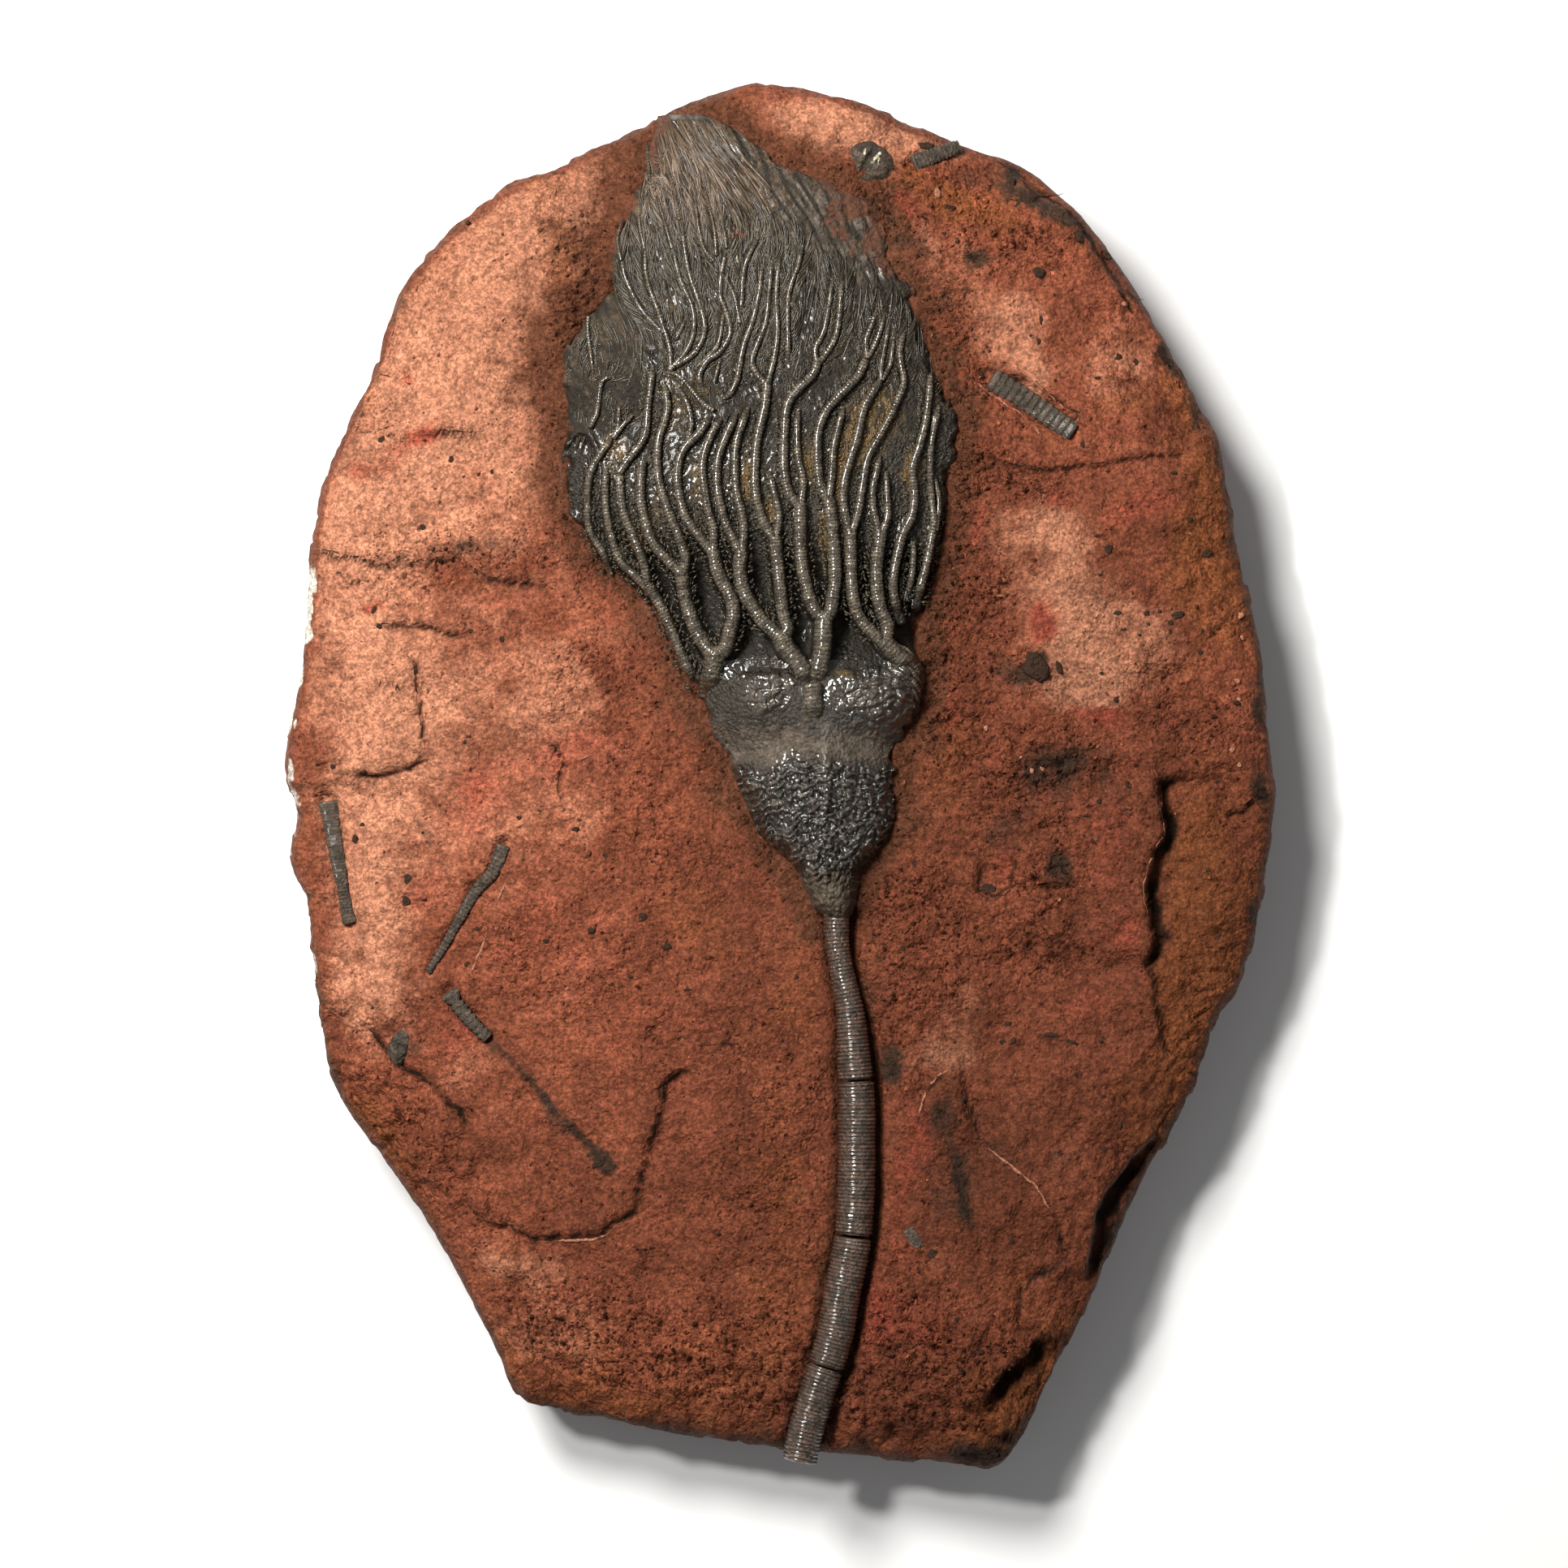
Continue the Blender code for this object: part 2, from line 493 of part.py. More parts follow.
def crown_block(name, y0, y1, cells, step, top, grow=0.0, kind="crown"):
    """A closed block between the crown's edges, from the bed in the slab up to the given top."""
    rows = max(2, round((y1 - y0) / step))
    verts = []
    for level in ("top", "bed"):
        for j in range(rows + 1):
            y = y0 + (y1 - y0) * j / rows
            left, right = crown_edges(clamp(y, CALYX_FOOT_Y, CROWN_TIP_Y))
            for i in range(cells + 1):
                x = left - grow + (right - left + 2 * grow) * i / cells
                bed = slab_form(clamp(x, left, right), y) - BED_DEPTH - grow
                verts.append((x, y, top(x, y) if level == "top" else bed))
    half = (rows + 1) * (cells + 1)
    faces = grid_faces(cells, rows)
    faces += [tuple(reversed(face)) for face in grid_faces(cells, rows, half)]
    rim = grid_rim(cells, rows)
    for k, a in enumerate(rim):
        b = rim[(k + 1) % len(rim)]
        faces.append((a, b, b + half, a + half))
    return make_object(name, verts, faces, kind, smooth=kind == "crown")


def tube(name, line, radii, heights, sides, kind, squash=1.0):
    """A closed tube of flat facets along a line seen from above."""
    verts = []
    faces = []
    for i, point in enumerate(line):
        ahead = line[min(i + 1, len(line) - 1)] - line[max(i - 1, 0)]
        ahead.normalize()
        normal = Vector((-ahead.y, ahead.x))
        for k in range(sides):
            turn = math.tau * (k + 0.5) / sides
            across = normal * (radii[i] * math.cos(turn))
            verts.append((point.x + across.x, point.y + across.y, heights[i] + radii[i] * squash * math.sin(turn)))
    for i in range(len(line) - 1):
        for k in range(sides):
            n = (k + 1) % sides
            a = i * sides
            faces.append((a + k, a + n, a + sides + n, a + sides + k))
    faces.append(tuple(range(sides)))
    faces.append(tuple(range(len(verts) - sides, len(verts))))
    return make_object(name, verts, faces, kind, smooth=True)


def stem_lines():
    """The stem's fine route, its radius and its height at each point."""
    line = smooth_line(STEM_ROUTE, STEM_RING / 2)
    radii = []
    heights = []
    for k, point in enumerate(line):
        swell = STEM_SWELL if k % 2 else -STEM_SWELL
        radii.append(interpolate(STEM_RADII, point.y) + swell)
        heights.append(slab_form(point.x, max(point.y, STEM_LEVEL_Y)) + STEM_LIFT)
    return line, radii, heights


def build_stem():
    """The stem in the four lengths that its natural breaks leave."""
    rings = list(zip(*stem_lines()))
    highs = [rings[0][0].y] + [y - GAP / 2 for y in STEM_BREAKS]
    lows = [y + GAP / 2 for y in STEM_BREAKS] + [rings[-1][0].y]
    for number, (high, low) in enumerate(zip(highs, lows), start=1):
        near = STEM_RING / 5
        inner = [ring for ring in rings if low + near < ring[0].y < high - near]
        ends = []
        for y in (high, low):
            above = [ring for ring in rings if ring[0].y >= y][-1]
            below = [ring for ring in rings if ring[0].y <= y][0]
            share = (above[0].y - y) / max(above[0].y - below[0].y, 1e-9)
            middle = above[0].lerp(below[0], share)
            ends.append((middle, min(above[1], below[1]), above[2] + (below[2] - above[2]) * share))
        line, radii, heights = zip(ends[0], *inner, ends[1])
        tube(f"stem_{number}", line, radii, heights, STEM_SIDES, "stem")


def stem_groove():
    """The room in the slab for the stem, wider on the stem's right side."""
    line, radii, heights = stem_lines()
    wide = [p + Vector((STEM_GROOVE / 2, 0)) for p in line]
    wide[0].y += 2
    wide[-1].y -= 6
    grown = [r + GAP + 2 * STEM_SWELL + STEM_GROOVE / 2 for r in radii]
    return tube("stem_groove", wide[::2] + wide[-1:], grown[::2] + grown[-1:], heights[::2] + heights[-1:],
                STEM_SIDES, "stem")


def fragment_parts():
    """Each loose stem piece with the cutter for its socket."""
    pairs = []
    for number, (route, start, end, lift) in enumerate(FRAGMENTS, start=1):
        line = smooth_line(route, FRAGMENT_STEP)
        last = len(line) - 1
        radii = [start + (end - start) * i / last for i in range(last + 1)]
        heights = [slab_form(p.x, p.y) + lift for p in line]
        piece = tube(f"stem_fragment_{number}", line, radii, heights, FRAGMENT_SIDES, "fragment")
        first = line[0] + (line[0] - line[1]).normalized() * GAP
        final = line[-1] + (line[-1] - line[-2]).normalized() * GAP
        cutter = tube(f"socket_{number}", [first] + line[1:-1] + [final], [r + GAP for r in radii], heights,
                      FRAGMENT_SIDES, "fragment")
        pairs.append((piece, cutter))
    return pairs


def stud(name, x, y, length, width, turn, rise, grow):
    """A low oval boss set in the slab's face, or its socket when grown."""
    verts = []
    faces = []
    spin = math.radians(turn)
    face_z = slab_height(x, y)
    levels = [(-2.4 - grow, 0.86), (0.0, 1.0), (rise * 0.7, 0.9), (rise, 0.55)]
    if grow:
        levels = [(-2.4 - grow, 0.86), (0.0, 1.0), (6.0, 1.0)]
    for z, scale in levels:
        for k in range(STUD_SIDES):
            a = math.tau * k / STUD_SIDES
            px = (length / 2 * scale + grow) * math.cos(a)
            py = (width / 2 * scale + grow) * math.sin(a)
            verts.append((x + px * math.cos(spin) - py * math.sin(spin),
                          y + px * math.sin(spin) + py * math.cos(spin), face_z + z))
    for level in range(len(levels) - 1):
        for k in range(STUD_SIDES):
            n = (k + 1) % STUD_SIDES
            a = level * STUD_SIDES
            faces.append((a + k, a + n, a + STUD_SIDES + n, a + STUD_SIDES + k))
    faces.append(tuple(range(STUD_SIDES)))
    faces.append(tuple(range(len(verts) - STUD_SIDES, len(verts))))
    return make_object(name, verts, faces, "fragment", smooth=True)


def ground_finder(objects):
    """A function that gives the highest point, in mm, of some finished pieces under a place."""
    trees = []
    for obj in objects:
        verts = [v.co / MM for v in obj.data.vertices]
        polygons = [tuple(p.vertices) for p in obj.data.polygons]
        trees.append(BVHTree.FromPolygons(verts, polygons))

    def ground(x, y):
        highest = 0.0
        for tree in trees:
            hit = tree.ray_cast(Vector((x, y, 200.0)), Vector((0, 0, -1)))[0]
            if hit is not None:
                highest = max(highest, hit.z)
        return highest

    return ground


def strand(name, points, start, end, ground):
    """One arm: a ridge of five-sided facets that lies just over the ground."""
    line = smooth_line(points, ARM_STEP)
    last = len(line) - 1
    verts = []
    faces = []
    for i, point in enumerate(line):
        ahead = line[min(i + 1, last)] - line[max(i - 1, 0)]
        ahead.normalize()
        normal = Vector((-ahead.y, ahead.x))
        width = start + (end - start) * i / last
        under = 0.0
        for along in (-0.5, -0.25, 0.0, 0.25, 0.5):
            for side in (-0.5, 0.0, 0.5):
                spot = point + ahead * (along * ARM_STEP) + normal * (side * width)
                under = max(under, ground(spot.x, spot.y))
        under += GAP
        top = max(crown_form(point.x, point.y) + ARM_RISE * width, under + 0.45 * width)
        shoulder = under + (top - under) * 0.6
        for side, z in ((0.44, under), (-0.44, under), (-0.5, shoulder), (0.0, top), (0.5, shoulder)):
            spot = point + normal * (side * width)
            verts.append((spot.x, spot.y, z))
    for i in range(last):
        for k in range(5):
            n = (k + 1) % 5
            faces.append((i * 5 + k, i * 5 + n, i * 5 + 5 + n, i * 5 + 5 + k))
    faces.append((0, 1, 2, 3, 4))
    faces.append(tuple(last * 5 + k for k in range(5)))
    return make_object(name, verts, faces, "arm", smooth=True)


def build_arms(ground):
    """Every ray and arm, its forks grown together."""
    for name, strands in list(RAYS.items()) + list(ARMS.items()):
        objects = []
        for number, (points, start, end) in enumerate(strands):
            label = name if number == 0 else f"{name}_fork_{number}"
            objects.append(strand(label, points, start, end, ground))
        if len(objects) > 1:
            combine(objects[0], objects[1:], "UNION")


def build():
    """The whole fossil."""
    for obj in list(bpy.data.objects):
        bpy.data.objects.remove(obj)
    slab = build_slab()
    mat = crown_block("pinnule_mat", CROWN_SPLIT_Y + GAP, CROWN_TIP_Y, CROWN_CELLS, CROWN_ROW, mat_height)
    calyx = crown_block("calyx", CALYX_FOOT_Y, CROWN_SPLIT_Y, CALYX_CELLS, CALYX_ROW, calyx_height)
    cutters = [
        crown_block("mat_bed", CROWN_SPLIT_Y, CROWN_TIP_Y + GAP, CROWN_CELLS, CROWN_ROW,
                    lambda x, y: slab_form(x, y) + 12, GAP, "slab"),
        crown_block("calyx_bed", CALYX_FOOT_Y - GAP, CROWN_SPLIT_Y + 1.0, CALYX_CELLS, CALYX_ROW,
                    lambda x, y: slab_form(x, y) + 12, GAP, "slab"),
        stem_groove(),
    ]
    cutters += [cutter for piece, cutter in fragment_parts()]
    for name, x, y, length, width, turn, rise in STUDS:
        stud(name, x, y, length, width, turn, rise, 0.0)
        cutters.append(stud(name + "_socket", x, y, length, width, turn, rise, GAP))
    combine(slab, cutters, "DIFFERENCE")
    build_stem()
    build_arms(ground_finder([slab, mat, calyx]))


build()
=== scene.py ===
"""The looks of a crinoid fossil: a sea lily's crown and stem in relief on a slab of red sandstone.

Lengths are in millimetres until a mesh is made. +X is across the slab, +Y points from the foot of
the stem to the tips of the arms, and +Z is up.
"""
import math

import bpy
import numpy as np
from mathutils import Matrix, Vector, noise


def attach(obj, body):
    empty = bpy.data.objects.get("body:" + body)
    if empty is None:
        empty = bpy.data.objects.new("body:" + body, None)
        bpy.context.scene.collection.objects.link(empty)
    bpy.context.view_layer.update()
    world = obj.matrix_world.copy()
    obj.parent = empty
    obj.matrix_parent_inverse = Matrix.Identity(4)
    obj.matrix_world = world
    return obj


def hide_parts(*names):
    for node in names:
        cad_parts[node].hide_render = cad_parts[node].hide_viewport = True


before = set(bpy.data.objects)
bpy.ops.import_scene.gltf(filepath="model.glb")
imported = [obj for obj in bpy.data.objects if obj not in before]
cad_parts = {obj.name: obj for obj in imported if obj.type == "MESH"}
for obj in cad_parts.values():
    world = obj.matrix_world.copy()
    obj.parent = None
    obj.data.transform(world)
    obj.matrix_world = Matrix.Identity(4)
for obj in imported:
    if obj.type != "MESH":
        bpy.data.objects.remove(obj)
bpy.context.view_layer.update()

bl_info = {
    "name": "Crinoid fossil",
    "version": (1, 0, 0),
    "blender": (4, 5, 0),
    "location": "View3D > Sidebar > Fossil",
    "description": "Builds a sea lily fossil on its slab of sandstone, piece by piece",
    "category": "Add Mesh",
}

MM = 0.001
TAU = math.tau

# ---- the slab, mm ----
SLAB_RIM_Z = 37.0
SLAB_DOME = 3.0
RIM_ROUND = 4.5
RIM_SHARE = 0.82
RIM_INSET = 2.6
SIDE_PROFILE = [(0.0, 2.6), (0.05, 0.7), (0.14, 0.0), (0.5, 2.0), (0.8, 5.0), (0.93, 8.0), (1.0, 11.0)]
SLAB_OUTLINE = [
    (-2, 190), (22, 185), (50, 173.5), (70, 166), (94, 139), (118, 97), (122, 85), (127, 57),
    (133, 28), (136, -8), (133, -30), (127, -56), (120, -68), (110, -94), (98, -116), (85, -145),
    (70, -175), (60, -189.8), (50, -189.5), (13, -186.5), (-13, -183), (-58, -175), (-72, -170),
    (-80, -154), (-92, -131), (-104, -112), (-120, -90), (-126, -70), (-129.5, -45), (-130, -34),
    (-134.5, -22), (-133, -10), (-136, 5), (-131, 35), (-128, 68), (-122, 90), (-111, 114),
    (-108, 125), (-100, 140), (-78, 160), (-60, 168), (-45, 175), (-30, 183), (-12, 189),
]
# Steps between broken layers: (route, step, reach, width of the foot, which is painted with shade and, where
# wider than 1, carved into a trough). Walking the route, the ground to the left is lower.
LEDGES = [
    ([(103, 2), (104.5, -9), (106, -15), (103.5, -20), (101, -27), (100.3, -33), (101.5, -38), (102.5, -44),
      (100.5, -50), (99.5, -54)], 3.8, 24, 3.2),
    ([(99.5, -50), (102, -57), (102.5, -63), (104.5, -71), (107, -78)], 1.6, 12, 0.9),
    ([(104, -97), (96, -106), (90.5, -113), (87, -121), (85, -129), (84.5, -140)], 3.8, 18, 4.6),
    ([(71, -152), (69, -158), (61, -164), (55, -173)], 3.6, 14, 5.2),
    ([(-87, -114), (-84, -119), (-80, -122), (-73, -124), (-68, -126.5), (-60, -126), (-50, -125.5),
      (-44, -121),
      (-40, -119), (-38.5, -112), (-35, -98), (-31, -84), (-28, -81), (-22, -79.5)], -1.7, 22, 0.8),
    ([(-113, -69), (-108, -76), (-103, -81), (-97, -84), (-92, -88), (-90, -92), (-84, -98)], 2.0, 18, 1.6),
    ([(-104, 36), (-101, 32), (-100, 27), (-99.5, 20), (-97.5, 9), (-99, 5), (-102, 2), (-112, 0.5),
      (-120, -0.5)], 2.0, 14, 0.8),
    ([(76, -121), (78, -128), (79, -133), (76, -136), (70, -138), (67, -142), (66, -148), (68, -152),
      (71, -154)],
     -2.0, 14, 1.3),
    ([(38, -95), (40, -87.5), (44, -82.5), (48.5, -81), (50.5, -85), (52.5, -94), (55, -100.5)], 1.3, 12,
     0.6),
    ([(-111, 41), (-104, 42), (-98, 41.5), (-90, 39), (-84, 40)], -1.4, 16, 0.8),
    ([(-100, 93), (-92, 94.5), (-80, 94)], -1.4, 14, 0.7),
    ([(58, 170), (64, 166), (70, 160), (78, 156), (86, 145), (97, 127)], 2.2, 12, 1.0),
    ([(52, 88), (62, 86), (70, 84), (83, 85), (95, 87), (108, 88), (113, 90)], -1.2, 14, 0.5),
    ([(70, 131), (71.5, 124), (72, 118), (70, 113)], -0.9, 10, 0.0),
    ([(-70, 9), (-66, 10), (-62, 8), (-60, 3), (-61, -3), (-59, -9)], 1.1, 10, 0.6),
    ([(-128, 62), (-124, 62), (-113, 59), (-106, 57), (-90, 60), (-78, 54), (-62, 52)], -1.0, 12, 0.8),
    ([(113, 0), (108, -1.5), (104, -3), (101, -6)], 1.8, 8, 1.8),
    ([(120, -10), (127, -9.5), (130, -6), (132, -9)], -1.2, 8, 0.9),
    ([(-35, -75), (-36, -70), (-30, -69)], -1.0, 7, 0.6),
    ([(-26, -72), (-22, -74), (-10, -73)], 0.9, 8, 0.6),
    ([(54.5, -20), (54, -27), (54.5, -32), (59, -34), (64, -30), (64.5, -24), (62, -19)], 1.2, 6, 0.7),
    ([(63, -122), (61, -130), (61.5, -138)], -0.9, 8, 0.0),
    ([(57, 110), (68, 109), (74, 104), (78, 101), (82, 99), (80, 94), (77, 90)], -1.0, 7, 0.4),
]
# Thin open cracks: (route, depth).
CRACKS = [
    ([(47, -101), (49, -107), (51, -114), (53, -121), (55, -127), (56, -131)], 0.8),
    ([(-97, 128), (-94, 126), (-90, 120.5), (-90, 118.5)], 0.4),
    ([(-111, 111), (-104, 109), (-101, 110.5)], 0.5),
    ([(-116, 94.5), (-111, 94.5), (-107, 96), (-104, 97.5), (-103, 101)], 0.4),
    ([(-81, 140), (-73, 143.5)], 0.35),
    ([(-83, -113), (-75, -118), (-71, -124)], 0.4), ([(-98, -110), (-95, -115), (-91, -115), (-84, -110)],
                                                     0.5),
    ([(-41, -142), (-40, -146), (-41, -150), (-46, -153), (-51, -155)], 0.5),
    ([(49, -83), (52.5, -95), (55, -100)], 0.4),
    ([(-64.5, -147), (-63, -151), (-60, -153)], 0.45), ([(-76, -153), (-73.5, -157.5), (-69, -157.5)], 0.5),
    ([(100, -90), (102, -96), (104, -100)], 0.45), ([(66, -60), (65.8, -64), (63, -66.5), (60, -66)], 0.45),
    ([(77, -142), (72, -148), (70, -153)], 0.6), ([(52, 112), (58, 112)], 0.4), ([(80, -37), (78, -41)], 0.9),
    ([(63, 75), (67, 76), (73, 79)], 0.5), ([(101, 118), (104, 115.5), (107, 116)], 0.35),
    ([(85, 122), (86, 127), (89, 128), (92, 126), (93, 122)], 0.4),
    ([(68, 26), (69, 23), (71, 21.5), (74, 23)], 1.5),
    ([(-25, -64), (-20, -58)], 0.5), ([(58, 87), (66, 82), (75, 80)], 0.35),
    ([(100, -79.5), (104, -79), (105, -78)], 0.4),
    ([(-113, -69), (-108, -76), (-103, -81), (-97, -84)], 0.9), ([(-72, 133), (-67, 136)], 0.3),
    ([(30, 178), (27, 174), (21, 173)], 0.35), ([(60, 160), (65, 158), (72, 159), (78, 160)], 0.7),
    ([(95, 133), (98, 131), (100, 131)], 0.8), ([(70, 74), (73, 76)], 0.5),
    ([(-64, 90), (-62, 83), (-61, 77)], 0.5),
]
# Thin pale ridges: (route, half width).
RIDGES = [
    ([(-72.5, -24), (-75, -29), (-78, -36), (-82, -48), (-86, -56)], 0.45),
    ([(69, 108.5), (74, 104), (78, 101), (82, 98.5)], 0.45),
    ([(82, 98.5), (80, 94), (78, 91)], 0.4), ([(54, 107.5), (60, 103), (66, 99), (72, 93)], 0.3),
    ([(104, -9), (105.3, -15), (102.8, -20), (100.2, -27), (99.6, -33), (100.6, -38)], 0.2),
    ([(38, -93), (40, -86.5), (44, -81.8), (48.5, -80)], 0.4),
    ([(57, -102), (62, -106), (69.5, -112), (74, -119)], 0.5),
    ([(-60, 7), (-55, 4.5), (-51, 6)], 0.6), ([(-68, -127.8), (-60, -127.6), (-50, -127), (-43, -122)], 0.5),
    ([(57, 13.5), (56, 12)], 0.3), ([(-38, -20), (-37, -18.5)], 0.4),
]
# Dark crusts and chips: (x, y, half width, half length, turn in degrees).
DARK_BITS = [
    (-109, 92, 1.2, 1.1, 0), (-90, 86.5, 1, 1, 0), (-86.5, 81.7, 0.6, 0.6, 0), (-82.5, 82.7, 0.8, 0.6, 0),
    (-98.3, 68, 1.3, 1.1, 0), (-85.8, 152, 0.8, 0.7, 0), (-84.5, 39.5, 1, 0.8, 0), (-76, 37.5, 1, 0.8, 0),
    (-110, 41, 1, 0.8, 0), (-101.7, -28.7, 1.5, 1.8, 20), (-102.5, -34.3, 1.9, 1.7, 40),
    (-116.5, -17.5, 1, 1.3, 0),
    (-114.5, -13.5, 0.8, 0.6, 0), (-56, -14.7, 1, 0.8, 0), (-71.5, -11.5, 0.7, 0.6, 0),
    (-64, -45.3, 1.1, 0.8, 0),
    (-51.5, -42.3, 1.4, 1, 30), (-37.7, -38.7, 1.3, 1.3, 45), (-85.5, -51.7, 1, 0.8, 0),
    (-31, -47, 1.5, 1, 20),
    (-46, -57, 0.7, 0.6, 0), (-41, -55, 0.8, 0.5, 0), (-42, -58, 0.6, 0.6, 0), (-48, -22, 1, 0.7, 0),
    (-83, -42, 0.7, 0.6, 0), (-122.5, 2.5, 0.8, 0.8, 0), (88.5, -88, 1, 0.8, 0), (93, -96, 0.9, 1.7, -20),
    (76.5, -103, 0.7, 0.6, 0), (63.5, -127.5, 1, 0.8, 0), (81, -82, 0.8, 0.6, 0), (88, -73, 0.6, 0.5, 0),
    (54, -158, 2.2, 1, 0), (48.5, -149, 0.8, 0.8, 0), (37, -145, 1.6, 0.4, 15), (62.5, -68, 1.2, 0.6, 0),
    (61, -73, 1, 0.8, 0), (64, -72.5, 0.9, 0.8, 30), (74, -71, 3, 0.6, -5), (80, -73, 2.5, 0.6, -20),
    (109, 44, 2.0, 1.1, 10), (100.5, 44.5, 1.0, 0.8, 0), (104, 45, 0.7, 0.6, 0), (107, 42, 0.8, 0.7, 0),
    (101, 41.5, 0.6, 0.5, 0), (87.8, 55, 0.7, 0.5, 0), (90, 62, 1.1, 1.4, 0), (90.5, 51, 1.0, 0.7, 0),
    (92.5, 44.5, 1.1, 0.7, 0), (94, 40, 0.9, 0.5, 0), (98.5, 38.5, 0.6, 0.5, 0), (120, 40.5, 0.9, 0.6, 0),
    (115, 33.5, 1.1, 0.7, 0), (125, 20, 1.2, 0.8, 0), (88, 28, 0.8, 0.5, 0), (95.5, -3, 0.7, 1.7, 25),
    (87.5, -7, 0.9, 0.8, 0), (84, -11, 1.4, 0.5, 0), (95, -9.5, 1.4, 0.8, 0), (120.5, -44, 0.8, 1.2, 0),
    (117.5, -26, 0.9, 0.7, 0), (80, -39, 1.7, 2.6, -30), (45, -43, 0.8, 0.6, 0), (92, 21, 0.8, 1.1, 30),
    (117, 61, 2.0, 1.0, 0), (63.5, 163, 1.4, 1.2, 0), (71, 138, 1.9, 1.6, 0), (49, 146, 1.3, 0.9, 0),
    (45, 149, 0.8, 0.7, 0), (51.5, 125, 1.5, 1.8, 0), (90, 143, 0.9, 1.6, 30), (96, 120, 1.1, 0.9, 0),
    (92.5, 115, 1.2, 0.9, 0), (97.5, 113.5, 1.1, 1.5, 0), (87, 109, 0.9, 0.6, 0), (71.5, 125, 0.6, 1.6, 0),
    (71, 119, 0.6, 1.1, 0), (112, 70, 1.1, 0.9, 20), (87, 65.5, 0.8, 0.6, 0), (40, 173, 2.4, 1.0, -6),
    (76, 30, 1.1, 2.3, 25), (57.5, -31.3, 2.3, 1.7, -12), (108, 83, 0.9, 0.5, 0), (42, -131, 1.6, 1.8, 30),
    (-49.5, -106, 2.2, 1.4, 30), (-52, -104, 1.2, 0.8, 0), (38, 154, 0.8, 0.8, 0), (30, 152, 1.0, 0.8, 0),
    (82, 148, 1.4, 2.0, 20), (67, 157, 3.0, 1.6, 20), (70, 30, 3.6, 4.2, 40), (46, 156, 2.6, 0.9, -15),
]
LUMPS = [
    (75.5, -38, 6, 0.8), (-128, 10, 8, 0.6), (-104, 112, 7, 1.2), (-90, 97, 9, 0.9), (-133, -30, 6, 1.0),
    (-103, -70, 7, -1.2), (60, -27, 4.5, -1.0), (70, 30, 5, 2.0),
    (20, 180, 7, 1.6), (-95, 66, 26, 1.6), (-70, 146, 22, 1.4), (88, 60, 30, 1.5),
    (-58, -150, 24, -1.2), (100, 118, 20, -1.4), (78, 150, 12, 1.8), (-70, -40, 34, 1.0),
    (-92, 120, 16, -1.6), (40, -140, 26, 0.8), (110, -30, 10, -1.0),
]

# ---- the crown, mm ----
CROWN_SPLIT_Y = 31.0
CALYX_FOOT_Y = -38.6
CROWN_TIP_Y = 181.5
CROWN_EDGE = 1.2
CROWN_LEFT = [
    (12.2, -38.8), (8.5, -35), (4, -25), (-6, -16), (-13, 0), (-20, 14), (-23.5, 25), (-30, 37), (-36, 48),
    (-43, 53),
    (-51, 61), (-58, 72), (-60.5, 83), (-60, 92), (-59, 101), (-61, 108), (-59, 119), (-53, 127),
    (-47, 133), (-46, 145), (-40, 159), (-36.5, 170), (-33, 182),
]
CROWN_RIGHT = [
    (19.4, -38.8), (21, -35), (21.5, -26), (27, -20), (31, -14), (32.5, 8), (38, 17), (40, 28), (39.5, 40),
    (43, 52),
    (47, 70), (45.5, 80), (49, 88), (50.5, 98), (44, 109), (40, 122), (35.5, 134), (30, 141), (28.5, 150),
    (25.5, 156.5),
    (12, 163), (-1, 168), (-12, 178), (-20, 182),
]
CROWN_HEIGHT = [(-39, 5.0), (-35, 6.5), (-20, 8.5), (0, 10.5), (20, 11.5), (45, 10), (80, 10), (110, 7.5),
                (140, 4.5), (182, 1.6)]

# ---- the stem, mm ----
STEM_ROUTE = [
    (15.5, -35.6), (15.6, -45), (17, -54), (19, -63.5), (20.2, -76), (21, -88), (21, -106), (20.7, -117),
    (19.6, -129), (17, -142), (15, -153.5), (10.6, -168), (7.5, -178), (5.4, -188),
]
STEM_RADII = [(-35, 3.6), (-50, 3.2), (-60, 3.5), (-75, 4.4), (-90, 5.0), (-150, 5.05), (-188, 4.7)]
STEM_STOPS = [-35.6, -83.4, -126.0, -162.0, -188.6]
STEM_LIFT = 1.0
STEM_LEVEL_Y = -168.0
COLUMNAL = 1.06             # thickness of one disc of the stem
BRACHIAL = 0.92             # length of one joint of an arm
# ---- the view, mm ----
FRAME_WIDTH = 429.3         # width of what the camera sees at the height of the face
FACE_Z = 40.0
CAMERA_X = 1.1
CAMERA_Y = -2.3
LENS = 168.0
SENSOR = 36.0
FLOOR_HALF = 4.0            # metres

